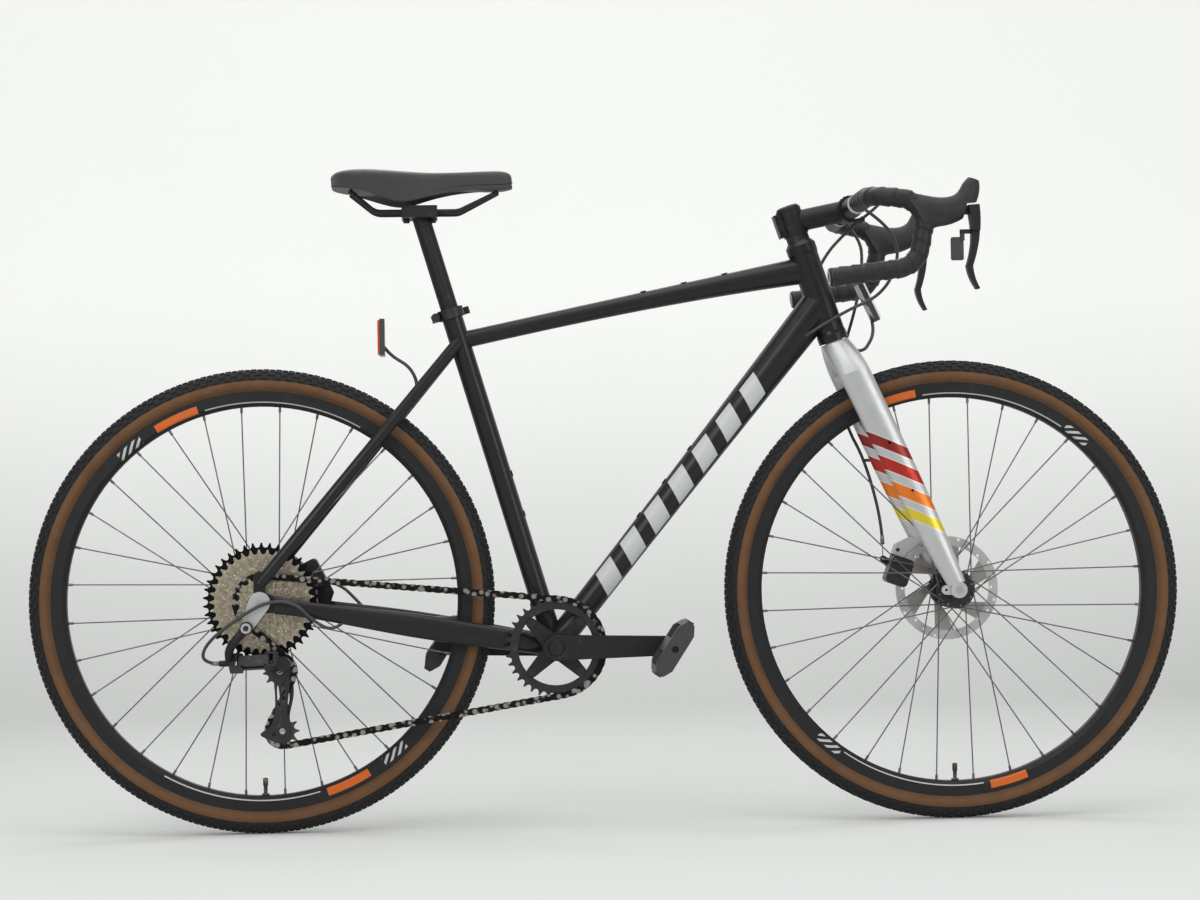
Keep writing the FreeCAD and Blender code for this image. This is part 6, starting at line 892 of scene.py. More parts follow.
@dataclass
class Studio:
    """Floor that curves up into a backdrop, soft boxes and the camera."""

    camera_place: Point = (-0.242, -3.993, 0.495)
    yaw: float = 3.3
    pitch: float = 1.1
    roll: float = -0.9
    lens: float = 78.6
    sensor: float = 36.0
    floor_half: float = 30.0
    front: float = -30.0
    bend_start: float = 2.2
    bend_radius: float = 1.6
    wall_top: float = 6.0
    bend_steps: int = 16
    daylight: float = 0.55
    lamps: list[Lamp] = field(default_factory=lambda: [
        Lamp("overhead_box", (0.0, -0.6, 3.2), (0.0, 0.0, 0.5), 3.4, 2.4, 48.0),
        Lamp("near_box", (-1.7, -3.3, 2.1), (0.0, 0.0, 0.5), 1.8, 1.8, 36.0),
        Lamp("far_box", (2.4, -2.6, 1.5), (0.1, 0.0, 0.5), 1.4, 1.8, 22.0),
        Lamp("back_box", (0.0, 1.7, 2.6), (0.0, 0.0, 0.6), 2.8, 1.0, 18.0),
    ])

    def floor(self) -> None:
        """Lays the floor and sweeps it up into the backdrop."""
        profile = [(self.front, 0.0), (self.bend_start, 0.0)]
        for step in range(1, self.bend_steps + 1):
            turn = math.pi / 2 * step / self.bend_steps
            rise = self.bend_radius * (1 - math.cos(turn))
            profile.append((self.bend_start + self.bend_radius * math.sin(turn), rise))
        profile.append((profile[-1][0], self.wall_top))
        points = [Vector((side * self.floor_half, along, up)) for along, up in profile for side in (-1, 1)]
        faces = [(2 * row, 2 * row + 1, 2 * row + 3, 2 * row + 2) for row in range(len(profile) - 1)]
        solid("studio_floor", points, faces, PlainPaper("studio_paper").make())

    def light(self) -> None:
        """Hangs the soft boxes and sets an even daylight."""
        for lamp in self.lamps:
            data = bpy.data.lights.new(lamp.name, "AREA")
            data.shape = "RECTANGLE"
            data.size = lamp.width
            data.size_y = lamp.height
            data.energy = lamp.power
            holder = bpy.data.objects.new(lamp.name, data)
            holder.location = lamp.place
            aim = Vector(lamp.aim) - Vector(lamp.place)
            holder.rotation_euler = aim.to_track_quat("-Z", "Y").to_euler()
            bpy.context.scene.collection.objects.link(holder)
        world = bpy.data.worlds.new("daylight")
        world.use_nodes = True
        sky = world.node_tree.nodes["Background"]
        sky.inputs["Color"].default_value = (1.0, 1.0, 1.0, 1.0)
        sky.inputs["Strength"].default_value = self.daylight
        bpy.context.scene.world = world

    def stand(self) -> None:
        """Puts the camera where the photograph was taken from."""
        data = bpy.data.cameras.new("camera")
        data.lens = self.lens
        data.sensor_width = self.sensor
        camera = bpy.data.objects.new("camera", data)
        yaw = math.radians(self.yaw)
        pitch = math.radians(self.pitch)
        aim = Vector((math.sin(yaw) * math.cos(pitch), math.cos(yaw) * math.cos(pitch), math.sin(pitch)))
        level = aim.to_track_quat("-Z", "Y")
        camera.rotation_euler = (level @ Quaternion((0, 0, 1), math.radians(self.roll))).to_euler()
        camera.location = self.camera_place
        bpy.context.scene.collection.objects.link(camera)
        bpy.context.scene.camera = camera
        bpy.context.scene.view_settings.view_transform = "Standard"


# Wheels


@dataclass
class Tyre:
    """Knobbly tyre with tan walls and its valve, in place of the plain solid tyre."""

    name: str
    centre: Vector
    waist: float = 0.331
    section: float = 0.020
    carcass: float = 0.0183
    tread_edge: float = 83.0
    wall_end: float = 118.0
    swell_share: float = 1.4
    lip_radius: float = 0.3165
    lip_half: float = 0.0104
    lip_out: float = 0.0016
    lip_drop: float = 0.003
    segments: int = 216
    tread_steps: int = 14
    wall_steps: int = 9
    knob_rows: tuple[tuple[float, float, float, float], ...] = (
        # turn from the crown, length along the tread, width across it, place in the step
        (0.0, 0.0100, 0.0050, 0.00),
        (17.0, 0.0085, 0.0044, 0.50),
        (-17.0, 0.0085, 0.0044, 0.50),
        (34.0, 0.0092, 0.0046, 0.05),
        (-34.0, 0.0092, 0.0046, 0.05),
        (52.0, 0.0100, 0.0048, 0.55),
        (-52.0, 0.0100, 0.0048, 0.55),
        (70.0, 0.0108, 0.0052, 0.08),
        (-70.0, 0.0108, 0.0052, 0.08),
    )
    knob_count: int = 114
    knob_taper: float = 0.82
    knob_sink: float = 0.0006
    valve_turn: float = -90.0
    valve_foot: float = 0.318
    valve_stem: float = 0.003
    valve_nut: float = 0.0058
    valve_nut_span: tuple[float, float] = (0.024, 0.027)
    valve_nut_edge: float = 0.0002
    valve_cap: float = 0.0039
    valve_cap_span: tuple[float, float] = (0.0385, 0.0506)
    valve_cap_edge: float = 0.0005
    valve_cap_dome: float = 0.0016
    valve_cap_flat: float = 0.0001
    valve_sides: int = 20

    def section_point(self, turn: float, radius: float) -> tuple[float, float]:
        """Radius from the axle and place across, for a turn from the crown in degrees."""
        angle = math.radians(turn)
        return self.waist + radius * math.cos(angle), radius * math.sin(angle)

    def profile(self) -> list[tuple[float, float]]:
        """Cross section from one rim lip over the crown to the other."""
        half = []
        for step in range(self.tread_steps + 1):
            half.append(self.section_point(self.tread_edge * step / self.tread_steps, self.carcass))
        for step in range(1, self.wall_steps + 1):
            share = step / self.wall_steps
            turn = self.tread_edge + (self.wall_end - self.tread_edge) * share
            swell = math.sin(math.pi * min(share * self.swell_share, 1.0) / 2)
            half.append(self.section_point(turn, self.carcass + (self.section - self.carcass) * swell))
        half.append((self.lip_radius, self.lip_half + self.lip_out))
        half.append((self.lip_radius - self.lip_drop, self.lip_half))
        other = [(radius, -across) for radius, across in reversed(half[1:])]
        return other + half

    def knob(self, turn: float, row: tuple[float, float, float, float], points: list, faces: list) -> None:
        """Adds one knob of the tread.

        Args:
            turn: Place round the wheel in radians.
            row: The row that it stands in.
            points: Points that it is added to.
            faces: Faces that it is added to.
        """
        lean, length, width, _ = row
        first = len(points)
        for height, taper in ((self.carcass - self.knob_sink, 1.0), (self.section, self.knob_taper)):
            for ahead, across in ((-1, -1), (1, -1), (1, 1), (-1, 1)):
                tilt = lean + math.degrees(across * taper * width / 2 / self.section)
                radius, side = self.section_point(tilt, height)
                angle = turn + ahead * taper * length / 2 / radius
                place = Vector((radius * math.cos(angle), side, radius * math.sin(angle)))
                points.append(self.centre + place)
        for side in range(4):
            beside = (side + 1) % 4
            faces.append((first + side, first + beside, first + 4 + beside, first + 4 + side))
        faces.append((first + 4, first + 5, first + 6, first + 7))

    def build(self, rubber: bpy.types.Material, brass: bpy.types.Material) -> None:
        """Makes the tyre, its tread and its valve, and sets them on the wheel.

        Args:
            rubber: Finish of the tyre.
            brass: Finish of the valve.
        """
        body = f"{self.name}_wheel"
        name = f"{self.name}_tyre_casing"
        casing = lathe(name, self.profile(), self.centre, Vector((0, 1, 0)), self.segments, rubber)
        carried(casing, body)
        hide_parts(f"{self.name}_tyre")
        tread_points: list[Vector] = []
        tread_faces: list[tuple[int, ...]] = []
        for row in self.knob_rows:
            for index in range(self.knob_count):
                turn = math.tau * (index + row[3]) / self.knob_count
                self.knob(turn, row, tread_points, tread_faces)
        tread = solid(f"{self.name}_tread", tread_points, tread_faces, rubber, smooth=False)
        carried(tread, body)
        self.valve(body, brass)
        log.info("%s tyre: %d knobs", self.name, len(tread_points) // 8)

    def valve(self, body: str, brass: bpy.types.Material) -> None:
        """Sets the valve with its cap and nut in the rim."""
        angle = math.radians(self.valve_turn)
        out = Vector((math.cos(angle), 0, math.sin(angle)))
        stem, nut, cap = self.valve_stem, self.valve_nut, self.valve_cap
        nut_foot, nut_top = self.valve_nut_span
        cap_foot, cap_top = self.valve_cap_span
        edge = self.valve_nut_edge
        profile = [(0.0, 0.0), (stem, 0.0), (stem, nut_foot), (nut, nut_foot + edge), (nut, nut_top - edge),
                   (stem, nut_top), (stem, cap_foot), (cap, cap_foot + self.valve_cap_edge),
                   (cap, cap_top - self.valve_cap_dome), (stem, cap_top - self.valve_cap_flat),
                   (0.0, cap_top)]
        foot = self.centre + out * self.valve_foot
        carried(lathe(f"{self.name}_valve", profile, foot, -out, self.valve_sides, brass), body)


# Contact points


@dataclass
class BarTape:
    """Tape wound round the bar in laps, with pale rings near the stem and plugs in the bar's ends."""

    corners: tuple[Point, ...] = (
        (0.37736, 0.084, 0.93494),
        (0.37736, 0.212, 0.93494),
        (0.46136, 0.212, 0.92294),
        (0.44336, 0.212, 0.82894),
        (0.31736, 0.212, 0.81394),
    )
    bends: tuple[float, ...] = (0.046, 0.037, 0.037)
    radius: float = 0.0144
    lap: float = 0.0185
    ridge: float = 0.0014
    lap_share: float = 0.86
    sink_share: float = 0.75
    step: float = 0.0015
    sides: int = 30
    ring_count: int = 3
    ring_pitch: float = 0.0048
    ring_width: float = 0.0018
    ring_radius: float = 0.0152
    plug_radius: float = 0.0132
    plug_depth: float = 0.0045
    plug_shares: tuple[tuple[float, float], ...] = (
        (0.5, -1.0), (1.0, -1.0), (1.0, 0.5), (0.86, 1.0), (0.5, 0.9),
    )
    turned_sides: int = 40

    def line(self) -> list[Vector]:
        """Centre line of the bar as straight runs and arcs, at even small steps."""
        corners = [Vector(corner) for corner in self.corners]
        places = [corners[0]]
        for before, corner, after, bend in zip(corners, corners[1:], corners[2:], self.bends):
            inward = (before - corner).normalized()
            outward = (after - corner).normalized()
            half = inward.angle(outward) / 2
            start = corner + inward * (bend / math.tan(half))
            middle = corner + (inward + outward).normalized() * (bend / math.sin(half))
            axis = inward.cross(start - middle).normalized()
            sweep = math.pi - 2 * half
            count = max(4, int(sweep * bend / self.step))
            for index in range(count + 1):
                places.append(middle + Quaternion(axis, sweep * index / count) @ (start - middle))
        places.append(corners[-1])
        return self.spaced(places)

    def spaced(self, places: list[Vector]) -> list[Vector]:
        """Points at even steps along a line of points."""
        even = [places[0]]
        left = self.step
        for start, end in zip(places, places[1:]):
            run = (end - start).length
            along = left
            while along <= run:
                even.append(start.lerp(end, along / run))
                along += self.step
            left = along - run
        return even

    def lift(self, along: float, turn: float) -> float:
        """Height of the tape's lap over the bar, for a place along it and a turn round it."""
        share = (along / self.lap - turn / math.tau) % 1.0
        slope = min(share / self.lap_share, (1.0 - share) / (1.0 - self.lap_share))
        return self.ridge * (slope - self.sink_share)

    def build(self, tape: bpy.types.Material, ring: bpy.types.Material) -> None:
        """Winds the tape on both sides of the bar and closes it with rings.

        Args:
            tape: Finish of the tape.
            ring: Finish of the rings.
        """
        line = self.line()
        for name, side in SIDES:
            points, faces = self.wound([Vector((p.x, p.y * side, p.z)) for p in line], side)
            piece = carried(solid(f"{name}_bar_tape", points, faces, tape), "steering")
            if side > 0:
                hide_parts("bar_tape")
            self.trim(name, side, ring)
        log.info("bar tape: %d turns a side", int(len(line) * self.step / self.lap))

    def trim(self, name: str, side: float, ring: bpy.types.Material) -> None:
        """Closes the tape with thin rings at the stem and a plug in the bar's end.

        Args:
            name: Side of the bar.
            side: One on the left, minus one on the right.
            ring: Finish of the rings and the plug.
        """
        inside = self.ring_radius - 2 * self.ridge
        half = self.ring_width / 2
        profile = [(inside, 0.0), (self.ring_radius, half / 2), (self.ring_radius, half + half / 2),
                   (inside, self.ring_width)]
        for index in range(self.ring_count):
            start = Vector(self.corners[0])
            start.y = (start.y + self.ring_pitch * index) * side
            way = Vector((0, side, 0))
            band = lathe(f"{name}_tape_ring_{index + 1}", profile, start, way, self.turned_sides, ring)
            carried(band, "steering")
        before, end = (Vector((p[0], p[1] * side, p[2])) for p in self.corners[-2:])
        profile = [(self.plug_radius * out, self.plug_depth * along) for out, along in self.plug_shares]
        way = (end - before).normalized()
        carried(lathe(f"{name}_bar_plug", profile, end, way, self.turned_sides, ring), "steering")

    def wound(self, line: list[Vector], side: float) -> tuple[list[Vector], list]:
        """Points and faces of the tape along one side's line.

        Args:
            line: Centre line from the stem to the bar's end.
            side: One on the left, minus one on the right.

        Returns:
            The points and the faces.
        """
        points = []
        ahead = (line[1] - line[0]).normalized()
        across = Vector((0, 0, 1))
        for index, place in enumerate(line):
            beside = line[min(index + 1, len(line) - 1)] - line[max(index - 1, 0)]
            way = beside.normalized()
            across = ahead.rotation_difference(way) @ across
            ahead = way
            for step in range(self.sides):
                turn = math.tau * step / self.sides
                reach = self.radius + self.lift(index * self.step, turn * side)
                points.append(place + Quaternion(way, turn) @ across * reach)
        faces = grid_faces(len(line), self.sides)
        last = len(points) - self.sides
        faces.append(tuple(range(self.sides)))
        faces.append(tuple(range(last, last + self.sides)))
        return points, faces


@dataclass
class Saddle:
    """Padded saddle cover with a crowned top, a soft groove, deep side skirts and a sewn edge."""

    rear: float = -0.414
    length: float = 0.274
    half_width: float = 0.073
    top: float = 1.001
    height: float = 0.026
    station_shares: tuple[tuple[float, ...], ...] = (
        # along from the rear, half width, drop of the crown, of the edge, of the base and of the skirt,
        # half width of the skirt
        (0.000, 0.45, 0.40, 0.55, 0.80, 0.88, 0.86),
        (0.020, 0.68, 0.17, 0.46, 0.86, 0.97, 0.87),
        (0.070, 0.90, 0.05, 0.42, 0.94, 1.10, 0.88),
        (0.130, 0.97, 0.01, 0.44, 1.00, 1.25, 0.87),
        (0.200, 1.00, 0.00, 0.45, 1.05, 1.46, 0.86),
        (0.290, 0.94, 0.05, 0.48, 1.05, 1.80, 0.80),
        (0.380, 0.80, 0.10, 0.50, 1.05, 2.05, 0.76),
        (0.460, 0.62, 0.14, 0.50, 1.02, 1.88, 0.80),
        (0.550, 0.46, 0.16, 0.48, 1.00, 1.60, 0.86),
        (0.660, 0.36, 0.13, 0.44, 1.00, 1.36, 0.88),
        (0.780, 0.30, 0.08, 0.40, 1.00, 1.22, 0.90),
        (0.880, 0.27, 0.05, 0.38, 1.01, 1.20, 0.90),
        (0.950, 0.25, 0.06, 0.39, 1.00, 1.18, 0.90),
        (0.985, 0.19, 0.18, 0.46, 0.95, 1.12, 0.88),
        (1.000, 0.12, 0.38, 0.56, 0.90, 1.04, 0.86),
    )
    crown_steps: int = 10
    groove: float = 0.0022
    groove_half: float = 0.013
    hem: float = 0.0016
    hem_inside: float = 0.001
    skirt_wall_share: float = 0.92
    flank_share: float = 0.6
    crown_power: float = 2.4
    piping_radius: float = 0.0009
    piping_rise: float = 0.006
    piping_share: float = 1.006
    rounding: int = 2

    def ring(self, shares: tuple[float, ...]) -> list[Vector]:
        """Points round one cross section, from the right skirt's inside over the top to the left's.

        Args:
            shares: One row of the station shares.

        Returns:
            The points of the ring.
        """
        along, wide, crown, edge, floor, skirt, skirt_wide = shares
        x = self.rear + self.length * along
        width = self.half_width * wide
        outside = width * skirt_wide
        inside = outside * self.skirt_wall_share
        side = self.top - self.height * edge
        peak = self.top - self.height * crown
        low = self.top - self.height * skirt
        ceiling = self.top - self.height * floor
        over = []
        for step in range(self.crown_steps + 1):
            share = step / self.crown_steps * 2 - 1
            arch = 1 - abs(share) ** self.crown_power
            y = width * math.sin(share * math.pi / 2)
            dip = math.exp(-((y / self.groove_half) ** 2)) * self.groove * math.sin(math.pi * along) ** 2
            over.append(Vector((x, y, side + (peak - side) * arch - dip)))
        flank = outside * self.flank_share + width * (1 - self.flank_share)
        right = [Vector((x, -inside, ceiling)), Vector((x, -inside, low + self.hem_inside)),
                 Vector((x, -(inside + outside) / 2, low)), Vector((x, -outside, low + self.hem)),
                 Vector((x, -flank, (low + side) / 2))]
        left = [Vector((x, -point.y, point.z)) for point in reversed(right)]
        return right + over + left

    def build(self, leather: bpy.types.Material, thread: bpy.types.Material) -> None:
        """Makes the cover and the piping along its hem.

        Args:
            leather: Finish of the cover.
            thread: Finish of the piping.
        """
        rings = [self.ring(shares) for shares in self.station_shares]
        points = [point for ring in rings for point in ring]
        count = len(rings[0])
        faces = grid_faces(len(rings), count)
        faces.append(tuple(range(count)))
        faces.append(tuple(range(len(points) - count, len(points))))
        cover = smoothed(solid("saddle_top", points, faces, leather), self.rounding)
        carried(cover, "seatpost")
        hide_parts("saddle_cover")
        for name, side in SIDES:
            hem = [ring[3] for ring in rings]
            route = [(p.x, -p.y * side * self.piping_share, p.z + self.piping_rise) for p in hem]
            piping = housing(f"{name}_saddle_piping", route, self.piping_radius, thread)
            carried(piping, "seatpost")
        log.info("saddle: %d faces", len(cover.data.polygons))


@dataclass
class Cables:
    """Brake and shift housings in smooth loops, in place of their plain solids."""

    bar: Point = (0.37736, 0.0, 0.93494)
    axle: Point = (-0.526, 0.0, 0.351)
    span: float = 0.1
    radius: float = 0.0025
    wire_radius: float = 0.0008
    ferrule_radius: float = 0.0033
    ferrule_length: float = 0.014
    ferrule_shares: tuple[tuple[float, float], ...] = (
        (0.0, 0.0), (1.0, 0.0), (1.0, 0.7), (0.86, 0.74), (0.86, 1.0), (0.0, 1.0),
    )
    ferrule_sides: int = 18
    still: Point = (0.295, 0.0, 0.735)
    turned: Point = (0.365, 0.0, 0.895)
    shift_shares: tuple[Point, ...] = (
        (0, -0.90, -0.02), (0.48, -0.76, -0.30), (0.67, -0.72, -0.77), (0.43, -0.46, -1.35),
        (-0.21, -0.32, -1.60), (-0.94, -0.14, -2.07),
    )
    rear_brake_shares: tuple[Point, ...] = (
        (0, -0.92, 0.03), (0.43, -0.58, 0.10), (0.47, 0.22, 0.07), (0.09, 0.66, -0.23),
        (-0.36, 0.50, -0.69), (-0.79, 0.32, -1.67), (-0.97, 0.12, -2.13),
    )
    front_brake_shares: tuple[Point, ...] = (
        (0, 0.90, -0.02), (0.27, 0.62, -0.35), (0.27, 0.46, -0.85), (0.15, 0.40, -1.45),
        (-0.03, 0.60, -2.10), (-0.15, 0.65, -2.55), (-0.01, 0.63, -3.29), (0.28, 0.63, -3.84),
        (0.53, 0.66, -4.78),
    )
    rear_shift_shares: tuple[Point, ...] = (
        (1.26, -0.66, -0.29), (1.10, -0.80, -0.45), (0.80, -0.88, -0.29), (0.54, -0.90, -0.01),
        (0.13, -0.92, 0.03), (-0.30, -0.96, -0.21), (-0.80, -0.88, -0.59), (-0.88, -0.67, -0.89),
        (-0.60, -0.67, -0.90),
    )
    rear_end_shares: tuple[Point, ...] = ((1.58, 0.62, -0.25), (1.34, 0.72, 0.01), (1.14, 0.84, 0.19))
    front_tip: Point = (0.43195, 0.0709, 0.39688)
    rear_tip: Point = (-0.48494, 0.0869, 0.36446)
    front_mouth_rise: float = 0.023
    rear_mouth: Point = (0.054, 0.0, 0.011)
    clip_corner: int = 7
    clip_reach: float = 0.022

    def route(self, anchor: Point, shares: Sequence[Point]) -> list[Point]:
        """Points of a loop from an anchor on the bike."""
        return [tuple(a + self.span * share for a, share in zip(anchor, point)) for point in shares]

    def ferrule(self, name: str, place: Point, before: Point, body: str, metal: bpy.types.Material) -> None:
        """Caps the end of a housing.

        Args:
            name: Name of the piece.
            place: End of the housing.
            before: A point of the housing just before its end.
            body: What it moves with.
            metal: Finish of the cap.
        """
        way = (Vector(before) - Vector(place)).normalized()
        profile = []
        for out, along in self.ferrule_shares:
            profile.append((self.ferrule_radius * out, self.ferrule_length * along))
        carried(lathe(name, profile, Vector(place), way, self.ferrule_sides, metal), body)

    def build(self, cover: bpy.types.Material, metal: bpy.types.Material) -> None:
        """Runs every housing, with its caps and bare wires.

        Args:
            cover: Finish of the housings.
            metal: Finish of caps and wires.
        """
        for name, shares in (("shift", self.shift_shares), ("rear_brake", self.rear_brake_shares)):
            loop = housing(f"{name}_housing", self.route(self.bar, shares), self.radius, cover)
            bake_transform(loop)
            if name == "shift":
                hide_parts("frame_cables")
        rear_route = self.route(self.axle, self.rear_shift_shares)
        self.fixed("rear_shift_housing", rear_route, "frame", cover)
        self.ferrule("rear_shift_ferrule", rear_route[-1], rear_route[-2], "frame", metal)
        rear_mouth = tuple(a + b for a, b in zip(self.rear_tip, self.rear_mouth))
        end_route = [*self.route(self.axle, self.rear_end_shares), rear_mouth]
        self.fixed("rear_brake_end", end_route, "frame", cover)
        self.ferrule("rear_brake_ferrule", end_route[-1], end_route[-2], "frame", metal)
        self.wire("rear_brake_wire", rear_mouth, self.rear_tip, "frame", metal)
        front_mouth = (self.front_tip[0], self.front_tip[1], self.front_tip[2] + self.front_mouth_rise)
        front_route = [*self.route(self.bar, self.front_brake_shares), front_mouth]
        hose = self.fixed("front_brake_housing", front_route, "steering", cover)
        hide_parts("front_brake_cable")
        self.ferrule("front_brake_ferrule", front_route[-1], front_route[-2], "steering", metal)
        self.wire("front_brake_wire", front_mouth, self.front_tip, "steering", metal)
        corner = front_route[self.clip_corner]
        ahead = (corner[0] + self.clip_reach, corner[1], corner[2])
        self.fixed("front_hose_clip", [corner, ahead], "steering", cover)
        log.info("cables: four housings and their ends")

    def fixed(self, name: str, route: Sequence[Point], body: str,
              cover: bpy.types.Material) -> bpy.types.Object:
        """A housing that moves with one body."""
        return carried(housing(name, route, self.radius, cover), body)

    def wire(self, name: str, start: Point, end: Point, body: str, metal: bpy.types.Material) -> None:
        """The bare wire from a housing's end to the brake's arm."""
        carried(housing(name, [start, end], self.wire_radius, metal), body)


# Derailleur cage


@dataclass
class Cage:
    """Stamped plates and bolts of the derailleur's cage, in place of its plain straight plates."""

    plate_shares: tuple[tuple[float, float], ...] = (
        # across the pulleys' line and along it, as shares of their distance
        (0.15, -0.10), (0.155, 0.05), (0.15, 0.22), (0.125, 0.43), (0.09, 0.62), (0.09, 0.76), (0.135, 0.90),
        (0.145, 1.03), (0.09, 1.16), (0.0, 1.21), (-0.16, 1.16), (-0.33, 1.08), (-0.38, 1.03), (-0.30, 0.98),
        (-0.18, 0.90), (-0.12, 0.74), (-0.09, 0.50), (-0.095, 0.28), (-0.11, 0.09), (-0.10, -0.10),
        (-0.03, -0.19), (0.05, -0.25), (0.14, -0.21),
    )
    slot_shares: tuple[tuple[tuple[float, float], ...], ...] = (
        ((0.03, 0.16), (0.085, 0.20), (0.06, 0.50), (0.035, 0.60), (0.02, 0.50)),
        ((-0.06, 0.24), (-0.03, 0.22), (-0.015, 0.40), (-0.02, 0.62), (-0.065, 0.52)),
        ((-0.19, 1.03), (-0.11, 0.99), (-0.10, 1.06), (-0.16, 1.09)),
    )
    bow_share: float = 0.085
    bow_end_share: float = 0.85
    thickness: float = 0.002
    edge: float = 0.0003
    bolt_radius: float = 0.0046
    bolt_height: float = 0.0016
    pin_radius: float = 0.006
    socket_radius: float = 0.0042
    socket_height: float = 0.0006
    head_shares: tuple[tuple[float, float], ...] = (
        (0.0, 0.4), (0.45, 0.4), (0.5, 1.0), (0.9, 1.0), (1.0, 0.8), (1.0, 0.0),
    )
    head_sides: int = 28
    curve_steps: int = 5
    weld_share: float = 1 / 30

    def build(self, alloy: bpy.types.Material, steel: bpy.types.Material) -> None:
        """Makes both plates, the pivot pin and the bolts.

        Args:
            alloy: Finish of the plates, the pin and the sockets.
            steel: Finish of the bolts.
        """
        guide = self.middle("guide_pulley")
        tension = self.middle("tension_pulley")
        low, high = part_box("derailleur_cage")
        offset = high[1] - guide.y - self.thickness / 2
        outer = self.plate("cage_outer_plate", guide, tension, -offset, 0.0, alloy)
        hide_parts("derailleur_cage")
        self.plate("cage_inner_plate", guide, tension, offset, self.bow_share, alloy)
        face = Vector((0, -offset - self.thickness / 2, 0))
        for name, place in (("guide", guide), ("tension", tension)):
            self.bolt(f"{name}_pulley_bolt", place + face, self.bolt_radius, self.bolt_height, steel)
        joints = {joint["name"]: joint for joint in frame["record"]["behaviour"]["joints"]}
        pivot = Vector(joints["cage_swing"]["pos_m"])
        pivot.y = guide.y + face.y
        self.bolt("cage_pivot_pin", pivot, self.pin_radius, pivot.y - low[1], alloy)
        hanger_bolt = Vector(joints["derailleur_b_pivot"]["pos_m"])
        hanger_bolt.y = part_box("derailleur_hanger")[0][1]
        self.bolt("hanger_bolt_socket", hanger_bolt, self.socket_radius, self.socket_height, alloy, "frame")
        log.info("derailleur cage: two plates, two bolts, a pin and a socket")

    def middle(self, node: str) -> Vector:
        """Middle of a node's box."""
        low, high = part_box(node)
        return (Vector(low) + Vector(high)) / 2

    def plate(self, name: str, guide: Vector, tension: Vector, offset: float, bow: float,
              alloy: bpy.types.Material) -> bpy.types.Object:
        """Cuts one plate with its slots.

        Args:
            name: Name of the plate.
            guide: Middle of the guide pulley.
            tension: Middle of the tension pulley.
            offset: Place of the plate's middle beside the pulleys.
            bow: How far the plate bows forward, as a share of the pulleys' distance.
            alloy: Finish of the plate.

        Returns:
            The plate.
        """
        span = (tension - guide).length
        down = (tension - guide).normalized()
        across = Vector((-down.z, 0, down.x))
        data = bpy.data.curves.new(name, "CURVE")
        data.dimensions = "2D"
        data.fill_mode = "BOTH"
        data.extrude = self.thickness / 2 - self.edge
        data.bevel_depth = self.edge
        data.bevel_resolution = 1
        data.resolution_u = self.curve_steps
        for loop in (self.plate_shares, *self.slot_shares):
            spline = data.splines.new("NURBS")
            spline.points.add(len(loop) - 1)
            for point, (side, along) in zip(spline.points, loop):
                bend = bow * math.sin(math.pi * min(max(along / self.bow_end_share, 0.0), 1.0))
                place = guide + across * ((side + bend) * span) + down * (along * span)
                point.co = (place.x, place.z, 0.0, 1.0)
            spline.use_cyclic_u = True
            spline.order_u = LINE_ORDER
        holder = bpy.data.objects.new(name, data)
        mesh = bpy.data.meshes.new_from_object(holder)
        beside = guide.y + offset
        points = [Vector((corner.co.x, beside + corner.co.z, corner.co.y)) for corner in mesh.vertices]
        faces = [tuple(reversed(face.vertices)) for face in mesh.polygons]
        bpy.data.objects.remove(holder)
        bpy.data.meshes.remove(mesh)
        piece = solid(name, points, faces, alloy, smooth=False)
        joined = bmesh.new()
        joined.from_mesh(piece.data)
        bmesh.ops.remove_doubles(joined, verts=joined.verts, dist=self.edge * self.weld_share)
        joined.to_mesh(piece.data)
        joined.free()
        return carried(piece, "derailleur_cage")

    def bolt(self, name: str, foot: Vector, radius: float, height: float, metal: bpy.types.Material,
             body: str = "derailleur_cage") -> None:
        """Sets one socket bolt or pin that faces right.

        Args:
            name: Name of the bolt.
            foot: Where its head meets what it holds.
            radius: Radius of the head.
            height: Height of the head.
            metal: Finish of the bolt.
            body: Body that carries it.
        """
        profile = [(radius * out, height * up) for out, up in self.head_shares]
        carried(lathe(name, profile, foot, Vector((0, -1, 0)), self.head_sides, metal), body)


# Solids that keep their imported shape


class Coat(Enum):
    """Finishes that several solids share."""

    LACQUER = Paint("frame_lacquer")
    TUBE = TubePaint("down_tube_lacquer")
    FORK = ForkPaint("fork_lacquer")
    ALLOY = Metal("black_alloy")
    SATIN = Metal("satin_alloy", (0.026, 0.026, 0.028), (0.07, 0.07, 0.073), 0.42)
    STEEL = Metal("bright_steel", (0.42, 0.42, 0.43), (0.62, 0.62, 0.63), 0.28, Grain.DRAWN, metallic=1.0)
    SPOKE = Metal("spoke_steel", (0.13, 0.13, 0.135), (0.30, 0.30, 0.31), 0.30, Grain.DRAWN, metallic=1.0)
    CHAIN = ChainMetal("chain_steel", (0.22, 0.21, 0.195), (0.40, 0.385, 0.36), 0.32, metallic=1.0)
    HANGER = Metal("hanger_alloy", (0.46, 0.46, 0.45), (0.60, 0.60, 0.59), 0.36, Grain.DRAWN, metallic=0.9)
    HOOD = Rubber("hood_rubber", (0.017, 0.017, 0.018), (0.036, 0.036, 0.037), 1500.0, 0.0001, 0.5)
    PAD = Rubber("pad_compound", (0.09, 0.085, 0.08), (0.2, 0.19, 0.18), 1200.0, 0.0002, 0.8)
    PLASTIC = Plastic("black_plastic")


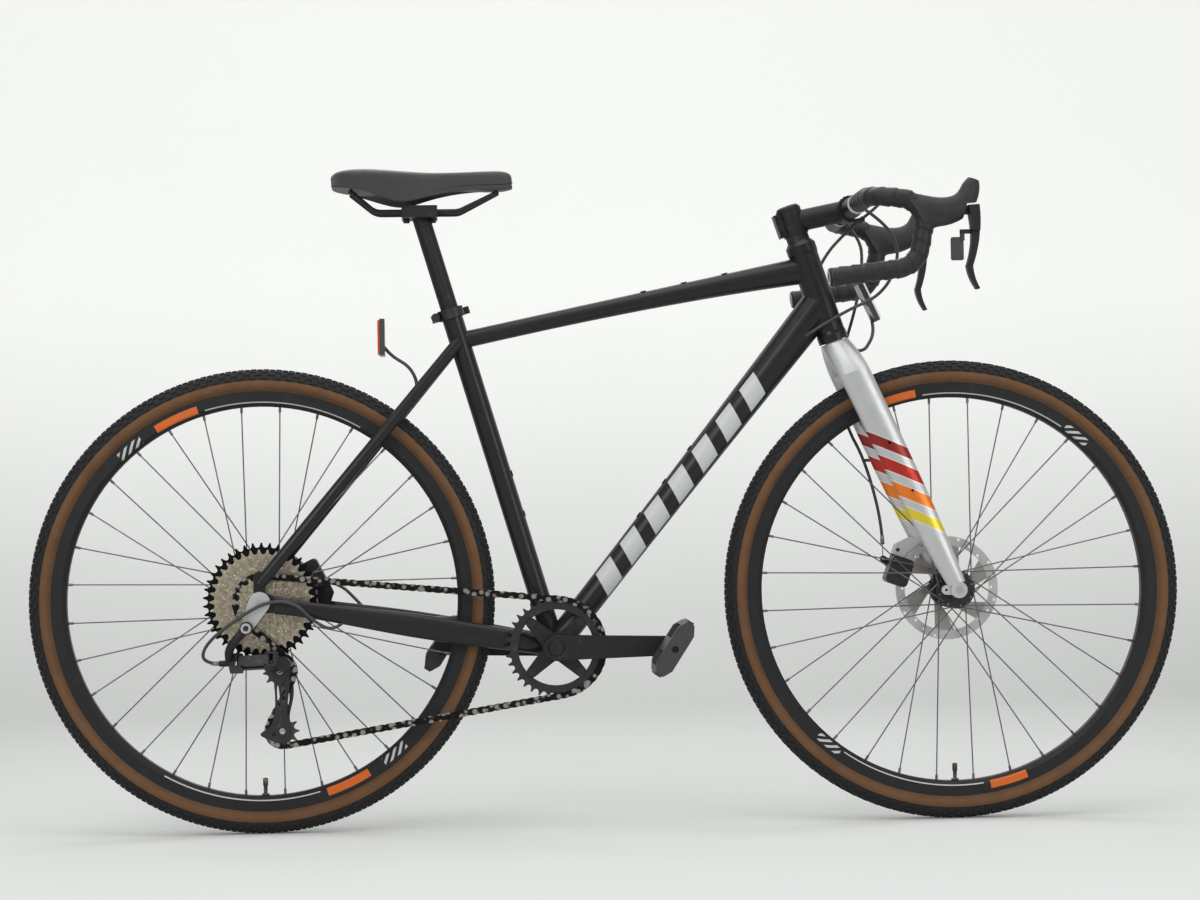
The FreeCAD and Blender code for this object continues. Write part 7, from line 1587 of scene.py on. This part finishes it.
@dataclass
class Dressing:
    """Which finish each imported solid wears."""

    coats: dict[Coat, tuple[str, ...]] = field(default_factory=lambda: {
        Coat.LACQUER: ("head_tube", "top_tube", "seat_tube", "bottom_bracket_shell", "rear_triangle"),
        Coat.TUBE: ("down_tube",),
        Coat.FORK: ("fork_steerer", "fork_legs"),
        Coat.ALLOY: ("frame_bearings", "seat_clamp", "headset_spacers", "front_caliper", "rear_caliper",
                     "front_hub", "rear_hub", "chainring", "derailleur_outer_link", "derailleur_inner_link"),
        Coat.SATIN: ("seat_clamp_lever", "seatpost", "saddle_rails", "stem", "handlebar",
                     "front_caliper_arm", "rear_caliper_arm", "left_brake_lever", "right_brake_lever",
                     "left_crank", "right_crank", "derailleur_knuckle", "derailleur_p_knuckle"),
        Coat.STEEL: ("front_axle", "rear_axle"),
        Coat.SPOKE: ("front_spokes", "rear_spokes"),
        Coat.CHAIN: ("chain",),
        Coat.HANGER: ("derailleur_hanger",),
        Coat.HOOD: ("lever_hoods",),
        Coat.PAD: ("front_brake_pad", "rear_brake_pad"),
        Coat.PLASTIC: ("saddle_shell", "shift_paddle", "left_pedal", "right_pedal", "guide_pulley",
                       "tension_pulley"),
    })
    front_marks: RimMarks = RimMarks((55.0, 98.0), (100.0, 111.0), (46.0, 54.0))
    lens_depth: float = 0.003
    lens_soft: float = 0.0002
    front_lens_way: Point = (0.9063, 0.0, 0.4226)

    def build(self, rear_axle: Vector, front_axle: Vector) -> None:
        """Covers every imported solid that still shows.

        Args:
            rear_axle: Middle of the rear wheel.
            front_axle: Middle of the front wheel.
        """
        for coat, nodes in self.coats.items():
            material = coat.value.make()
            for node in nodes:
                dressed(node, material)
        rear = (rear_axle.x, rear_axle.z)
        front = (front_axle.x, front_axle.z)
        dressed("rear_rim", RimPaint("rear_rim_paint", rear).make())
        dressed("front_rim", RimPaint("front_rim_paint", front, self.front_marks).make())
        ground = ((0.55, 0.55, 0.56), (0.66, 0.66, 0.67), 0.24, Grain.TURNED)
        dressed("rear_rotor", DiscMetal("rear_disc_steel", *ground, rear, 1.0).make())
        dressed("front_rotor", DiscMetal("front_disc_steel", *ground, front, 1.0).make())
        # the second colour is the cogs' grease colour and also the colour of their painted shade
        nickel = ((0.42, 0.37, 0.28), (0.19, 0.16, 0.115), 0.30, Grain.TURNED)
        dressed("cassette", CogMetal("cog_nickel", *nickel, rear, 1.0).make())
        # the second colour of each lens is its painted highlight on the prisms' crests
        self.lens("rear_reflector", (-1.0, 0.0, 0.0), (0.55, 0.012, 0.010), (0.86, 0.10, 0.07))
        self.lens("front_reflector", self.front_lens_way, (0.62, 0.63, 0.64), (0.92, 0.93, 0.94))
        log.info("solids: all that show are covered")

    def lens(self, node: str, way: Point, colour: Colour, bright: Colour) -> None:
        """Covers a reflector, with its lens at the far end along one way.

        Args:
            node: The reflector.
            way: Direction that the lens faces.
            colour: Colour of the lens in its prisms' valleys.
            bright: Colour of the painted highlight on their crests.
        """
        far = max(corner.co.dot(Vector(way)) for corner in frame["nodes"][node].data.vertices)
        edge = far - self.lens_depth
        face = (edge - self.lens_soft, edge + self.lens_soft)
        dressed(node, LensPlastic(f"{node}_lens", colour, bright, face=face, along=way).make())


# The whole bike


def main() -> None:
    """Builds the studio and every piece in order, and reports each one."""
    logging.basicConfig(level=logging.INFO, format="%(message)s")
    studio = Studio()
    studio.floor()
    studio.light()
    studio.stand()
    rear_axle = Vector((-WHEEL_HALF_BASE, 0, WHEEL_RADIUS))
    front_axle = Vector((WHEEL_HALF_BASE, 0, WHEEL_RADIUS))
    valve_brass = Metal("valve_brass", (0.05, 0.05, 0.05), (0.3, 0.27, 0.2)).make()
    rear_rubber = TyreRubber("rear_tyre_rubber", (rear_axle.x, rear_axle.z)).make()
    front_rubber = TyreRubber("front_tyre_rubber", (front_axle.x, front_axle.z)).make()
    Tyre("rear", rear_axle).build(rear_rubber, valve_brass)
    Tyre("front", front_axle).build(front_rubber, valve_brass)
    Dressing().build(rear_axle, front_axle)
    ring = Plastic("tape_ring", (0.50, 0.50, 0.50), (0.62, 0.62, 0.61)).make()
    BarTape().build(Rubber("cork_tape").make(), ring)
    Saddle().build(Leather("saddle_leather").make(), Rubber("saddle_piping").make())
    bolt_steel = Metal("bolt_steel", (0.36, 0.36, 0.36), (0.5, 0.5, 0.5), 0.3, metallic=1.0).make()
    Cage().build(Metal("cage_alloy").make(), bolt_steel)
    cap = Metal("ferrule_alloy", (0.20, 0.20, 0.21), (0.4, 0.4, 0.41), 0.34).make()
    Cables().build(Plastic("housing_cover", roughness=0.38).make(), cap)


if __name__ == "__main__":
    main()
